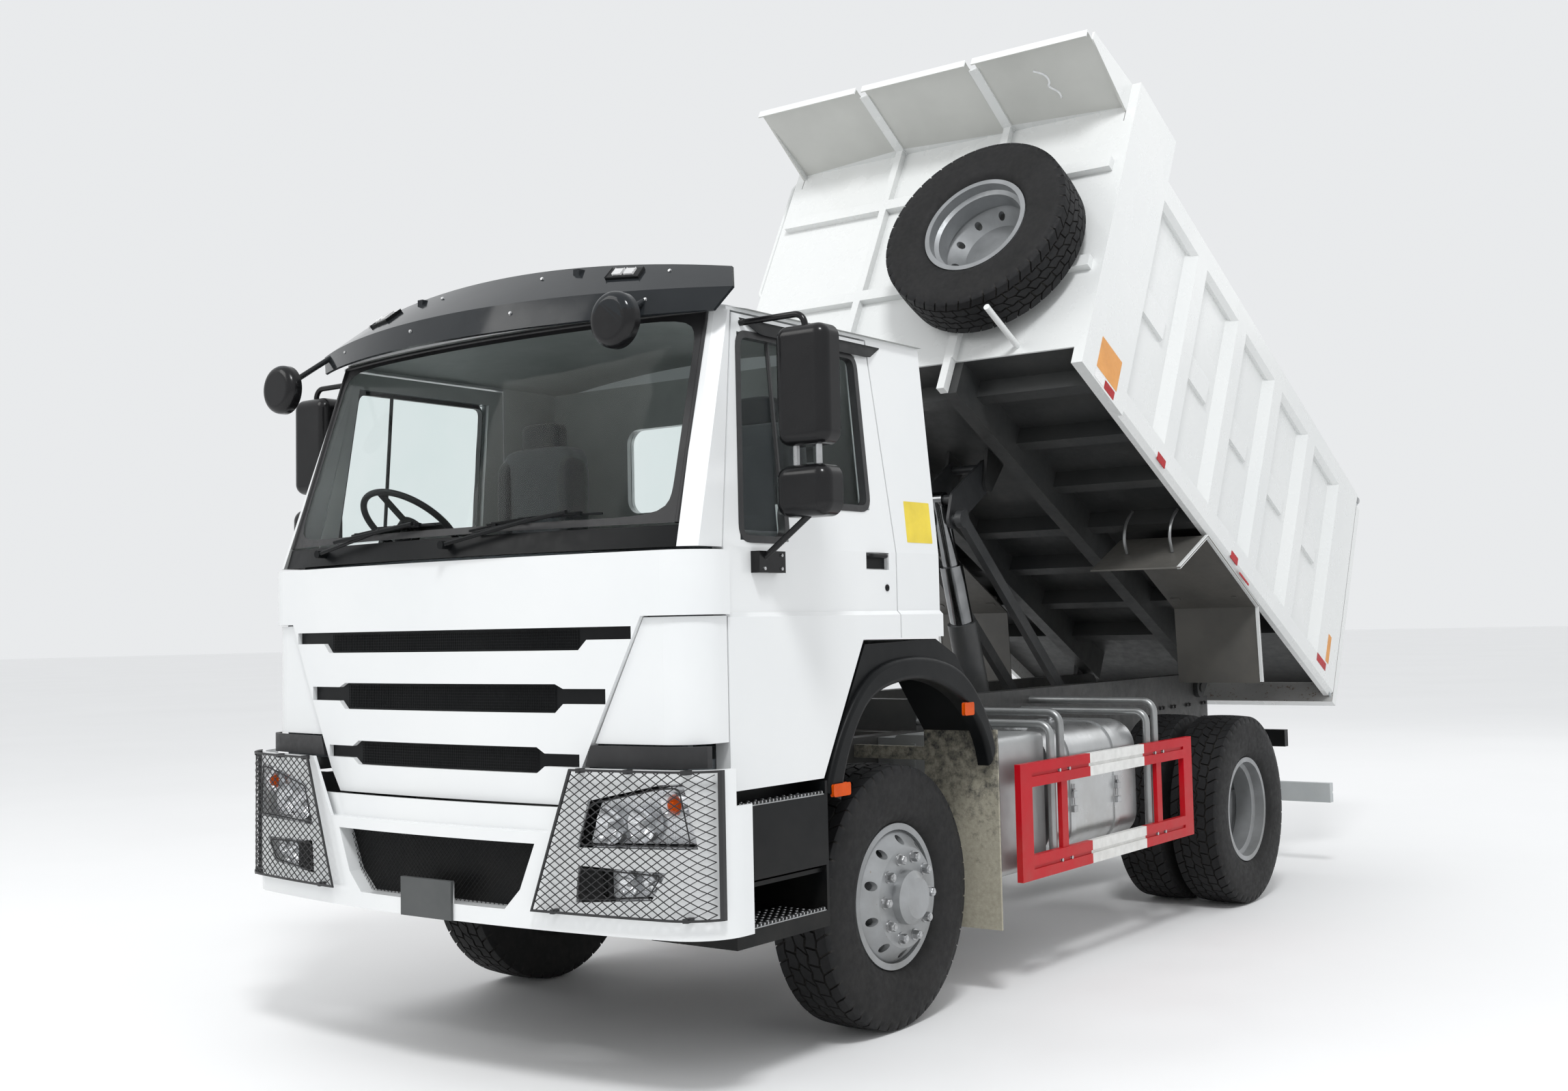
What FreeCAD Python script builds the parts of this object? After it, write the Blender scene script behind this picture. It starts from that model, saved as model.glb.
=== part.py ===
"""Two-axle tipper truck with a forward-control cab and a steel load body held half raised.

X points to the truck's own left, Y to its rear and Z up.  While the pieces are built the front axle
stands at y = 0 and the tyres on z = 0; export() then moves them all so that the origin is the middle
of the whole truck's footprint.  All lengths are in millimetres.
"""
import FreeCAD
import Part
import math
import os

V = FreeCAD.Vector

# ---------------------------------------------------------------- wheels and axles
WHEELBASE = 3600.0
TYRE_RADIUS = 542.5
TYRE_WIDTH = 296.0
RIM_RADIUS = 298.5
RIM_SEAT_RADIUS = 284.0
RIM_WALL = 12.0
STUD_CIRCLE_RADIUS = 167.5
STUD_COUNT = 10
STUD_RADIUS = 16.0
STUD_LENGTH = 30.0
HAND_HOLE_RADIUS = 19.0
FRONT_WHEEL_X = 980.0
REAR_TWIN_X = 930.0
TWIN_SPACING = 342.0
KINGPIN_X = 865.0
KINGPIN_RADIUS = 30.0
KNUCKLE_HEIGHT = 200.0
SPINDLE_RADIUS = 60.0
RUNNING_GAP = 0.08
PLAY = 6.0
STEER_ARM_LENGTH = 210.0
STEER_ARM_X = 800.0
ARM_HALF = 14.0
HUB_NOSE = 60.0
STEER_ARM_DROP = 95.0
TRACK_ROD_RADIUS = 20.0

# ---------------------------------------------------------------- chassis frame
RAIL_OUTER_X = 430.0
RAIL_HEIGHT = 300.0
RAIL_FLANGE = 85.0
RAIL_WALL = 10.0
RAIL_TOP = 1130.0
RAIL_FRONT_Y = -1240.0
RAIL_REAR_Y = 4980.0
SUBFRAME_HEIGHT = 155.0
SUBFRAME_WIDTH = RAIL_FLANGE
SUBFRAME_FRONT_Y = 1250.0
SPRING_WIDTH = 80.0
SPRING_LEAF = 16.0

# ---------------------------------------------------------------- hoist and tipping hinge
HINGE_Y = 4810.0
HINGE_Z = 1190.0
HINGE_PIN_RADIUS = 30.0
HINGE_ROUND = 90.0
BED_REST_ANGLE = 27.1
CYLINDER_BASE = (2700.0, 900.0)
CYLINDER_HEAD = (2240.0, 2360.0)
TIE_BASE = (3400.0, 1183.0)
TIE_HEAD = (2200.0, 2242.0)
ARM_PIVOT_AHEAD = 2566.0
ARM_PIVOT_ABOVE = 120.0
BARREL_RADIUS = 85.0
BARREL_LENGTH = 790.0
STAGE_RADIUS = 66.0
ROD_RADIUS = 48.0
ARM_PLATE_X = 98.0
ARM_PLATE = 18.0
TIE_X = 150.0
TIE_WIDTH = 40.0

# ---------------------------------------------------------------- load body, laid down flat
BED_HALF_WIDTH = 1150.0
BED_OVERHANG = 555.0
BED_CLEARANCE = 200.0
BED_SIDE_HEIGHT = 1600.0
BED_POST_HEIGHT = 1862.0
BED_POST_LENGTH = 513.0
BED_SIDE_DEPTH = 62.0
BED_SHEET = 10.0
BED_BOTTOM_RAIL = 170.0
BED_TOP_RAIL = 190.0
BED_PANEL_LENGTH = 445.0
BED_RIB_WIDTH = 220.0
BED_PANELS = 5
BED_BEAM_WIDTH = 86.0
BED_BEAM_DROP = 95.0
BED_FLOOR_RAISE = 100.0
CROSSMEMBER_FIRST = 330.0
CROSSMEMBER_PITCH = 485.0
CROSSMEMBER_COUNT = 7
CANOPY_REACH = 545.0
CANOPY_RISE = 50.0
CANOPY_HEIGHT = 1710.0
CANOPY_SHEET = 8.0
TAILGATE_THICKNESS = 70.0
TAILGATE_GAP = 8.0

# ---------------------------------------------------------------- cab
CAB_HALF_WIDTH = 1172.0
CUT_PAST = 113.0
CAB_REAR_Y = 280.0
CAB_WALL = 50.0
DOOR_BOTTOM = 1085.0
ARCH_TOP = 1610.0
BELT_Z = 1960.0
ROOF_SIDE_Z = 2860.0
ROOF_CROWN = 110.0
SIDE_LEAN = 80.0
CREASE_Z = 1705.0
CREASE_DEPTH = 16.0
FRONT_CENTRE_Y = -1490.0
FRONT_ARC_RADIUS = 8000.0
FRONT_CORNER_RADIUS = 170.0
NOSE_PROUD = 33.0
LID_SKIN = 12.0
LID_GAP = 5.0
DOOR_FRONT_Y = -1200.0
DOOR_REAR_Y = -60.0
DOOR_GAP = 8.0
SCREEN_RAKE = 300.0
GLASS = 6.0
LID_BOTTOM = 1040.0
LID_TOP = 1945.0
LID_BAND = 1715.0
LID_THICKNESS = 42.0
BUMPER_BOTTOM = 600.0
BUMPER_TOP = 950.0
BUMPER_HALF_WIDTH = 1285.0
BUMPER_CENTRE_Y = -1560.0
BUMPER_ARC_RADIUS = 6200.0
BUMPER_REAR_Y = -1205.0
BUMPER_CORNER_RADIUS = 210.0
STEP_REAR_Y = -627.0


# ---------------------------------------------------------------- axles, springs and brakes
KNUCKLE_FORK_INNER = 90.0
KNUCKLE_GAP = 2.0
KNUCKLE_WALL = 28.0
AXLE_DROP = 130.0
AXLE_BEAM_HEIGHT = 95.0
AXLE_BEAM_WIDTH = 110.0
AXLE_FLAT_X = 620.0
AXLE_EYE_RADIUS = 50.0
FRONT_SPRING_X = 390.0
FRONT_SPRING_SPAN = 1500.0
FRONT_SPRING_LEAVES = 6
REAR_SPRING_X = 390.0
REAR_SPRING_SPAN = 1400.0
REAR_SPRING_LEAVES = 8
LEAF_STEP = 0.1
LEAF_ARCH = 60.0
HANGER = 30.0
REAR_TUBE_RADIUS = 80.0
BANJO_WIDTH = 190.0
BANJO_RADIUS = 210.0
PINION_NOSE = 330.0
SHAFT_RADIUS = 45.0
SHAFT_FRONT_Z = 770.0
DRUM_RADIUS = 205.0
DRUM_WALL = 10.0
DRUM_LENGTH = 150.0
HUB_RADIUS = 110.0
BACK_PLATE = 8.0
RIM_HALF = 116.0
RIM_LIP = 10.0
RIM_WELL = 48.0
RIM_WELL_RADIUS = 262.0
DISC_OFFSET = 165.0
DISC_WALL = 14.0
DISC_FACE_RADIUS = 205.0
DISC_ROOT = 70.0
HAND_HOLE_CIRCLE = 232.0
BEAD_HALF = 106.0
SIDEWALL_RADIUS = 415.0
SHOULDER_RADIUS = 526.0
TREAD_HALF = 126.0
SHOULDER_RUN = 16.0

# ---------------------------------------------------------------- engine and frame fittings
CROSSMEMBER_HEIGHT = 250.0
CROSSMEMBER_FLANGE = 70.0
CROSSMEMBER_PLACES = (-1150.0, 960.0, 1620.0, 4120.0)
TOW_BEAM = 60.0
TOW_HOLE_SPACING_X = 160.0
TOW_HOLE_SPACING_Z = 100.0
TOW_HOLE_Z = 980.0
TOW_HOLE_RADIUS = 10.5
CHEEK = 20.0
CHEEK_REACH = 100.0
HOIST_PIN_RADIUS = 28.0
HINGE_LUG = 30.0
ENGINE_HALF_WIDTH = 320.0
ENGINE_FRONT_Y = -900.0
ENGINE_REAR_Y = 350.0
ENGINE_BOTTOM = 700.0
ENGINE_TOP = 1500.0
GEARBOX_HALF_WIDTH = 200.0
GEARBOX_REAR_Y = 900.0
GEARBOX_BOTTOM = 700.0
GEARBOX_TOP = 1090.0
TANK_INNER_X = 550.0
TANK_OUTER_X = 1120.0
TANK_FRONT_Y = 1320.0
TANK_REAR_Y = 2300.0
TANK_BOTTOM = 520.0
TANK_TOP = 1140.0
TANK_CORNER = 150.0
STRAP = 6.0
STRAP_WIDTH = 50.0
CAP_HEIGHT = 35.0
CAP_RADIUS = 55.0
BATTERY_FRONT_Y = 850.0
BATTERY_REAR_Y = 1280.0
BATTERY_BOTTOM = 500.0
BATTERY_CORNER = 40.0
BATTERY_RIBS = 4
RIB = 24.0
RESERVOIR_RADIUS = 125.0
RESERVOIR_FRONT_Y = 1500.0
RESERVOIR_REAR_Y = 2300.0
SILENCER_RADIUS = 230.0
SILENCER_FRONT_Y = 850.0
SILENCER_REAR_Y = 1400.0
SILENCER_Z = 760.0
TAILPIPE = 60.0
TAILPIPE_RADIUS = 50.0
GUARD_OUTER_X = 1214.0
GUARD_DEPTH = 30.0
GUARD_BOTTOM = 484.0
GUARD_TOP = 1015.0
GUARD_RAIL = 110.0
GUARD_GROOVE = 8.0
GUARD_FRONT_Y = 875.0
GUARD_REAR_Y = 2823.0
GUARD_BRACKET_PLACES = (1320.0, 2405.0)
GUARD_POST = 60.0
GUARD_TUBE_RADIUS = 20.0
GUARD_TUBE_BEND = 60.0
GUARD_TUBE_SPREAD = 100.0
GUARD_TUBE_Z = 1175.0
GUARD_TUBE_STEP = 50.0
UNDERRUN_HALF_WIDTH = 1210.0
UNDERRUN_REAR_Y = 5145.0
UNDERRUN_DEPTH = 60.0
UNDERRUN_BOTTOM = 431.0
UNDERRUN_HEIGHT = 125.0
UNDERRUN_TOP_REACH = 700.0

# ---------------------------------------------------------------- bumper, lamps and steps
BUMPER_SKIN = 14.0
BUMPER_SIDE_TOP = 1050.0
BUMPER_CORNER_BACK_Y = -1290.0
BUMPER_ARM_X = 388.0
LAMP_FIELD_INNER_X = 600.0
LAMP_FIELD_BOTTOM_X = 550.0
LAMP_FIELD_TOP_X = 730.0
LAMP_FIELD_EDGE = 0.0
LAMP_FIELD_RISE = 69.0
LAMP_FIELD_TOP = 1180.0
LAMP_FIT = 4.0
HEADLAMP = ((740.0, 905.0), (1205.0, 915.0), (1165.0, 1130.0), (1080.0, 1125.0), (790.0, 1062.0))
FOG_LAMP = ((732.0, 712.0), (1040.0, 735.0), (1100.0, 825.0), (745.0, 834.0))
LAMP_DEPTH = 90.0
INLET_TOP = 905.0
INLET_TOP_HALF = 545.0
INLET_BOTTOM = 662.0
INLET_BOTTOM_HALF = 400.0
INLET_CHAMFER = 75.0
INLET_DEPTH = 90.0
PLATE_HALF = 140.0
PLATE_THICKNESS = 10.0
PLATE_HEIGHT = 145.0
GUARD_STAND = 32.0
GUARD_WIRE = 8.0
APRON_SETBACK = 30.0
GUARD_CLIP = 16.0
GUARD_CLIPS = ((640.0, 666.0), (1180.0, 666.0), (760.0, 1166.0), (960.0, 1166.0), (1180.0, 1166.0))
SLOT_OUTER_X = 1200.0
SLOT_TOP = 1256.0
SLOT_SLANT = 24.0
SLOT_INSET = 55.0
TAIL_LAMP_X = 640.0
TAIL_LAMP_WIDTH = 330.0
TAIL_LAMP_DEPTH = 60.0
TAIL_LAMP_Y = 5010.0
TAIL_LAMP_Z = 800.0
TAIL_LAMP_HEIGHT = 110.0
STEP_INNER_X = 800.0
STEP_OUTER_X = 1200.0
STEP_BOTTOM = 530.0
STEP_SKIN = 16.0
LOWER_TREAD_Z = 590.0
MIDDLE_LIP_Z = 750.0
UPPER_TREAD_Z = 1026.0
UPPER_TREAD_DEPTH = 130.0
LIP_SETBACK = 20.0

# ---------------------------------------------------------------- cab openings and trim
CAB_FRONT_LIMIT = -1500.0
ARCH_FOOT_Y = -630.0
ARCH_HEAD_Y = -335.0
DOOR_TOP = 2840.0
DOOR_REAR_TOP_Y = -141.0
DOOR_FRONT_TOP_Y = -1028.0
WINDOW_FRONT_Y = -1096.0
WINDOW_FRONT_TOP_Y = -1008.0
WINDOW_STEP_Y = -800.0
WINDOW_REAR_Y = -225.0
WINDOW_FOOT = 1985.0
WINDOW_SILL = 2130.0
WINDOW_TOP = 2770.0
HANDLE_FRONT_Y = -279.0
HANDLE_LENGTH = 167.0
HANDLE_Z = 1888.0
HANDLE_HEIGHT = 70.0
HANDLE_DEPTH = 22.0
MIRROR_X = 1395.0
MIRROR_Y = -930.0
MIRROR_WIDTH = 230.0
MIRROR_DEPTH = 100.0
MIRROR_LOW = 2320.0
MIRROR_HIGH = 2760.0
WIDE_LOW = 2060.0
WIDE_HIGH = 2250.0
MIRROR_BAR = 12.0
MIRROR_BEND = 45.0
MIRROR_TOP_Z = 2805.0
MIRROR_TOP_ROOT_X = 1080.0
MIRROR_ROOT = 48.0
MIRROR_FOOT_Y = -1000.0
MIRROR_FOOT_Z = 1905.0
MIRROR_PAD = 40.0
CORNER_BOTTOM = 1262.0
CORNER_WALL = 20.0
NOSE_INSET = 17.0
SCREEN_GAP = 12.0
SCREEN_HALF = 1092.0
SCREEN_CENTRE_Y = -1504.0
SCREEN_ARC_RADIUS = 4570.0
SCREEN_TAPER = 58.0
PILLAR_TOP_Y = -1060.0
PILLAR_FRONT_Y = -1380.0
PILLAR_CORNER = 40.0
PILLAR_RAKE = 295.0
LID_FOOT_HALF = 625.0
LID_KNEE_HALF = 690.0
LID_KNEE_Z = 1135.0
LID_HEAD_HALF = 975.0
SLOT_LIP = 38.0
GRILLE_SETBACK = 20.0
AIR_SLOTS = ((700.0, 934.0, 1680.0, 1680.0, 1634.0, 1597.0), (590.0, 820.0, 1475.0, 1458.0, 1403.0, 1370.0),
             (500.0, 700.0, 1245.0, 1223.0, 1176.0, 1150.0))
BULKHEAD_Y = -1360.0
BULKHEAD_TOP = 1930.0
FOOTWELL_Z = 1160.0
FLOOR_THICKNESS = 40.0
TUNNEL_HALF = 420.0
TUNNEL_TOP = 1665.0
CAB_MOUNT = 90.0
REAR_WINDOW_HALF = 560.0
REAR_WINDOW_LOW = 2230.0
REAR_WINDOW_HIGH = 2640.0
WINDOW_CORNER = 70.0
GUTTER = 22.0
ROOF_FRONT_Y = -1215.0
COWL_TOP = 2035.0
COWL_DEPTH = 60.0
WIPER_PIVOTS = (-760.0, 60.0)
WIPER_Z = 2005.0
WIPER_STAND = 34.0
WIPER_BOSS = 16.0
WIPER_ROD = 8.0
WIPER_REACH = 420.0
WIPER_RISE = 75.0
WIPER_LEAN = 14.0
VISOR_LIP = ((-1420.0, 2820.0), (1109.0, -1152.0, 2830.0))
VISOR_RIDGE = ((-1370.0, 2935.0), (1168.0, -1110.0, 2915.0))
VISOR_TOP = ((-1150.0, 3100.0), (1080.0, -1000.0, 3020.0))
VISOR_SKIN = 10.0
VISOR_BRACKET_X = 450.0
KERB_MIRROR = (850.0, -1440.0, 2790.0)
FRONT_MIRROR = (-1080.0, -1440.0, 2730.0)
SMALL_MIRROR_RADIUS = 105.0
SMALL_MIRROR_DEPTH = 60.0
DASH_HALF = 1040.0
DASH_TOP = 2005.0
DASH_BOTTOM = 1700.0
DASH_REAR_Y = -960.0
STEERING_X = -620.0
STEERING_Y = -1090.0
STEERING_Z = 2120.0
STEERING_RADIUS = 225.0
STEERING_GRIP = 14.0
STEERING_TILT = 40.0
SEAT_X = 620.0
SEAT_WIDTH = 500.0
SEAT_FRONT_Y = -760.0
SEAT_REAR_Y = -230.0
SEAT_TOP = 2060.0
SEAT_CUSHION = 120.0
SEAT_BACK_TOP = 2640.0
SEAT_BACK_DEPTH = 120.0
SEAT_ROUND = 35.0

# ---------------------------------------------------------------- wheel arches
FLARE_OUTER_X = 1200.0
FLARE_INNER_X = 820.0
FLARE_FACE = 40.0
FLARE_WALL = 0.985
FLARE_OUTLINE = ((-626.0, 1035.0), (-308.0, 1588.0), (235.0, 1600.0), (395.0, 1529.0), (568.0, 1335.0),
                 (710.0, 1180.0))
FLARE_THROAT = ((660.0, 1120.0), (550.0, 1290.0), (420.0, 1400.0), (200.0, 1470.0), (-30.0, 1480.0),
                (-250.0, 1430.0), (-440.0, 1270.0), (-560.0, 1070.0))
FLARE_STEP = 26.0
LIP_DEPTH = 70.0
LIP_ROUND = 20.0
LIP_INSIDE = ((-525.0, 990.0), (-421.0, 1235.0), (-309.0, 1357.0), (-120.0, 1422.0), (135.0, 1426.0),
              (366.0, 1355.0), (530.0, 1237.0), (640.0, 1030.0))
LIP_OUTSIDE = ((-620.0, 1030.0), (-570.0, 1150.0), (-470.0, 1309.0), (-279.0, 1472.0), (-32.0, 1528.0),
               (227.0, 1515.0), (435.0, 1447.0), (577.0, 1324.0), (690.0, 1120.0))
FLAP_Y = 692.0
FLAP_THICKNESS = 12.0
FLAP_BOTTOM = 300.0
FLAP_TOP = 1185.0


# ---------------------------------------------------------------- body details
BED_FRONT = 3521.0
CROSSMEMBER_WIDTH = 80.0
HOIST_ZONE = 420.0
BRACKET_X = 120.0
BRACKET_PLATE = 20.0
BRACKET_REACH = 100.0
SHORT_RIB_LENGTH = 360.0
SHORT_RIB_LOW = 915.0
SHORT_RIB_HIGH = 1073.0
BED_RIB_SLOPE = 80.0
WALL_RIB_LEVELS = (790.0, 1450.0)
WALL_RIB = 45.0
WALL_RIB_HEIGHT = 70.0
WALL_POST_X = 367.0
CANOPY_LIP = 45.0
CANOPY_HALF = 1092.0
CANOPY_NOTCH = 60.0
LADDER_STAND = 110.0
LADDER_TOP = 1950.0
LADDER_BOTTOM = 1050.0
LADDER_RAILS = (3420.0, 3080.0)
LADDER_TUBE = 12.0
LADDER_RUNG = 10.0
LADDER_PITCH = 270.0
SPARE_POST_X = 360.0
SPARE_INSET = 630.0
SPARE_ABOVE = 950.0
SPARE_AHEAD = 3732.0
SPARE_HOOK = 230.0
SPARE_HOOK_LOW = 350.0
MUDGUARD_INNER_X = 600.0
MUDGUARD_OUTLINE = ((2033.0, -187.0), (1746.0, 171.0), (886.0, 153.0), (639.0, -247.0))
MUDGUARD_SHEET = 10.0
MUDGUARD_STAYS = (1620.0, 1000.0)
TAILGATE_BOTTOM = 160.0
TAILGATE_DROP = 110.0
TAILGATE_BAR = 90.0
TAILGATE_RIBS = 6
TAILGATE_EAR_INSET = 90.0
TAILGATE_EAR = 30.0
TAILGATE_PIVOT_BEHIND = 600.0
TAILGATE_PIVOT_ABOVE = 1750.0
TAILGATE_PIN_RADIUS = 12.0

# ---------------------------------------------------------------- hoist details
STAGE_FOOT = 394.0
STAGE_LENGTH = 750.0
ROD_FOOT = 727.0
BORE_FLOOR = 10.0
HOIST_EYE = 60.0
HEAD_EYE = 46.0
HEAD_EYE_HALF = 40.0
HEAD_PIN_HALF = 94.0
ARM_ROUND = 50.0
ARM_TUBE_UP = 90.0
ARM_TUBE_RADIUS = 25.0
ARM_BOSS_END = 148.0
TIE_HALF_HEIGHT = 35.0


# ================================================================ shape helpers
def box(x0, x1, y0, y1, z0, z1):
    """Block between two opposite corners."""
    return Part.makeBox(x1 - x0, y1 - y0, z1 - z0, V(x0, y0, z0))


def prism(points, travel):
    """Solid swept by a closed polygon along a vector."""
    return Part.Face(Part.makePolygon(points + points[:1])).extrude(travel)


def side_prism(outline, x0, x1):
    """Solid whose (y, z) outline runs across the truck from x0 to x1."""
    return prism([V(x0, y, z) for y, z in outline], V(x1 - x0, 0, 0))


def front_prism(outline, y0, y1):
    """Solid whose (x, z) outline runs along the truck from y0 to y1."""
    return prism([V(x, y0, z) for x, z in outline], V(0, y1 - y0, 0))


def plan_prism(outline, z0, z1):
    """Solid whose (x, y) outline runs up from z0 to z1."""
    return prism([V(x, y, z0) for x, y in outline], V(0, 0, z1 - z0))


def bar(start, end, radius):
    """Round bar between two points."""
    along = V(*end).sub(V(*start))
    return Part.makeCylinder(radius, along.Length, V(*start), along)


def disc(x0, x1, y, z, radius):
    """Round bar that lies along X."""
    return bar((x0, y, z), (x1, y, z), radius)


def turned(profile, y, z):
    """Solid of revolution about the X line through (y, z); the profile holds (x, radius) pairs."""
    face = Part.Face(Part.makePolygon([V(x, y, z + r) for x, r in profile + profile[:1]]))
    return face.revolve(V(0, y, z), V(1, 0, 0), 360.0)


def joined(shapes):
    """One solid made of pieces that touch or cross."""
    return shapes[0].multiFuse(shapes[1:]).removeSplitter()


def mirrored(shape):
    """The same piece on the other side of the truck."""
    return shape.mirror(V(0, 0, 0), V(1, 0, 0))


def both_sides(shape):
    """A left piece and its mirror image."""
    return Part.makeCompound([shape, mirrored(shape)])


def swung(shape, y, z, degrees):
    """Copy turned about the X line through (y, z), front end upwards."""
    copy = shape.copy()
    copy.rotate(V(0, y, z), V(1, 0, 0), -degrees)
    return copy


def rounded(shape, radius, along):
    """Fillet every straight edge that runs along one direction."""
    edges = []
    for edge in shape.Edges:
        if edge.Curve.TypeId == "Part::GeomLine":
            slant = edge.tangentAt(edge.FirstParameter).dot(along)
            if abs(abs(slant) - 1.0) < 1e-6:
                edges.append(edge)
    return shape.makeFillet(radius, edges)


def bent_tube(points, radius, bend):
    """Tube along straight runs joined by tangent arcs."""
    knots = [V(*p) for p in points]
    edges = []
    start = knots[0]
    for before, corner, after in zip(knots, knots[1:], knots[2:]):
        to_back = before.sub(corner).normalize()
        to_front = after.sub(corner).normalize()
        half = to_back.getAngle(to_front) / 2.0
        reach = bend / math.tan(half)
        enter = corner.add(to_back * reach)
        leave = corner.add(to_front * reach)
        middle_line = to_back.add(to_front).normalize()
        middle = corner.add(middle_line * (bend / math.sin(half) - bend))
        edges.append(Part.makeLine(start, enter))
        edges.append(Part.Arc(enter, middle, leave).toShape())
        start = leave
    edges.append(Part.makeLine(start, knots[-1]))
    first = knots[1].sub(knots[0])
    ring = Part.Wire(Part.makeCircle(radius, knots[0], first))
    return Part.Wire(edges).makePipeShell([ring], True, False)


def arc_y(x, centre_y, arc_radius):
    """Y of a nose arc whose foremost point is centre_y at x = 0."""
    return centre_y + arc_radius - math.sqrt(arc_radius ** 2 - x ** 2)


def nose(half_width, centre_y, arc_radius, corner_radius, rear_y, z0, z1, inset=0.0):
    """Block with a bowed front and rounded front corners, shrunk evenly by an inset."""
    w = half_width - inset
    r = arc_radius - inset
    side_y = arc_y(w, centre_y + inset, r)
    arc = Part.Arc(V(-w, side_y, z0), V(0, centre_y + inset, z0), V(w, side_y, z0)).toShape()
    right = Part.makeLine(V(w, side_y, z0), V(w, rear_y, z0))
    back = Part.makeLine(V(w, rear_y, z0), V(-w, rear_y, z0))
    left = Part.makeLine(V(-w, rear_y, z0), V(-w, side_y, z0))
    block = Part.Face(Part.Wire([arc, right, back, left])).extrude(V(0, 0, z1 - z0))
    corners = []
    for edge in block.Edges:
        upright = abs(edge.tangentAt(edge.FirstParameter).z) > 0.999
        if upright and abs(edge.CenterOfMass.y - side_y) < 1.0:
            corners.append(edge)
    return block.makeFillet(corner_radius - inset, corners)


def cab_nose(z0, z1, inset=0.0, rear_y=DOOR_FRONT_Y - DOOR_GAP):
    """Block with the plan shape of the cab's front."""
    return nose(CAB_HALF_WIDTH + NOSE_PROUD, FRONT_CENTRE_Y, FRONT_ARC_RADIUS,
                FRONT_CORNER_RADIUS, rear_y, z0, z1, inset)


def bumper_nose(z0, z1, inset=0.0, rear_y=BUMPER_REAR_Y):
    """Block with the plan shape of the bumper."""
    return nose(BUMPER_HALF_WIDTH, BUMPER_CENTRE_Y, BUMPER_ARC_RADIUS,
                BUMPER_CORNER_RADIUS, rear_y, z0, z1, inset)


# ================================================================ chassis
def frame_rail():
    """Left C rail with its web outside and its flanges pointing inwards."""
    x = RAIL_OUTER_X
    bottom = RAIL_TOP - RAIL_HEIGHT
    outline = [(x, bottom), (x, RAIL_TOP), (x - RAIL_FLANGE, RAIL_TOP),
               (x - RAIL_FLANGE, RAIL_TOP - RAIL_WALL),
               (x - RAIL_WALL, RAIL_TOP - RAIL_WALL), (x - RAIL_WALL, bottom + RAIL_WALL),
               (x - RAIL_FLANGE, bottom + RAIL_WALL), (x - RAIL_FLANGE, bottom)]
    return front_prism(outline, RAIL_FRONT_Y, RAIL_REAR_Y)


def frame_crossmember(y):
    """Channel between the two rails."""
    inner = RAIL_OUTER_X - RAIL_WALL
    bottom = RAIL_TOP - RAIL_HEIGHT + RAIL_WALL
    top = bottom + CROSSMEMBER_HEIGHT
    outline = [(y, bottom), (y + CROSSMEMBER_FLANGE, bottom), (y + CROSSMEMBER_FLANGE, bottom + RAIL_WALL),
               (y + RAIL_WALL, bottom + RAIL_WALL), (y + RAIL_WALL, top - RAIL_WALL),
               (y + CROSSMEMBER_FLANGE, top - RAIL_WALL), (y + CROSSMEMBER_FLANGE, top), (y, top)]
    return side_prism(outline, -inner, inner)


def chassis_frame():
    """Ladder frame: two rails, crossmembers, front tow pin plate and rear tow beam."""
    pieces = [frame_rail(), mirrored(frame_rail())]
    pieces += [frame_crossmember(y) for y in CROSSMEMBER_PLACES]
    inner = RAIL_OUTER_X - RAIL_WALL
    tow_beam = box(-inner, inner, RAIL_REAR_Y - TOW_BEAM, RAIL_REAR_Y, RAIL_TOP - RAIL_HEIGHT + RAIL_WALL,
                   RAIL_TOP - RAIL_WALL)
    pieces.append(tow_beam)
    frame = joined(pieces)
    holes = []
    for x in (-TOW_HOLE_SPACING_X / 2.0, TOW_HOLE_SPACING_X / 2.0):
        for z in (TOW_HOLE_Z - TOW_HOLE_SPACING_Z / 2.0, TOW_HOLE_Z + TOW_HOLE_SPACING_Z / 2.0):
            holes.append(bar((x, RAIL_REAR_Y - TOW_BEAM - PLAY, z), (x, RAIL_REAR_Y + PLAY, z),
                             TOW_HOLE_RADIUS))
    return frame.cut(holes)


def tipper_subframe():
    """Hoist subframe: box rails with rounded rear ends, cross tubes, hoist and hinge pins."""
    outer = RAIL_OUTER_X
    inner = outer - SUBFRAME_WIDTH
    top = RAIL_TOP + SUBFRAME_HEIGHT
    rail = box(inner, outer, SUBFRAME_FRONT_Y, HINGE_Y, RAIL_TOP, top)
    end = disc(inner, outer, HINGE_Y, HINGE_Z, HINGE_ROUND)
    end = end.cut(box(inner - PLAY, outer + PLAY, HINGE_Y - HINGE_ROUND, HINGE_Y + HINGE_ROUND * 2.0,
                      HINGE_Z - HINGE_ROUND * 2.0, RAIL_TOP))
    end = end.common(box(inner, outer, HINGE_Y - HINGE_ROUND * 2.0, HINGE_Y + HINGE_ROUND * 2.0, RAIL_TOP,
                         top))
    cheek_y, cheek_z = CYLINDER_BASE
    cheek = box(inner - CHEEK, inner, cheek_y - CHEEK_REACH, cheek_y + CHEEK_REACH,
                cheek_z - CHEEK_REACH / 2.0, top)
    left = joined([rail, end, cheek])
    pieces = [left, mirrored(left)]
    pieces.append(box(-inner, inner, SUBFRAME_FRONT_Y, SUBFRAME_FRONT_Y + SUBFRAME_WIDTH, RAIL_TOP, top))
    pieces.append(disc(-inner, inner, cheek_y, cheek_z, HOIST_PIN_RADIUS))
    pieces.append(disc(-inner, inner, TIE_BASE[0], TIE_BASE[1], HOIST_PIN_RADIUS))
    pin_end = outer + PLAY + HINGE_LUG + PLAY
    pieces.append(disc(-pin_end, pin_end, HINGE_Y, HINGE_Z, HINGE_PIN_RADIUS))
    return joined(pieces)


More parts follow.
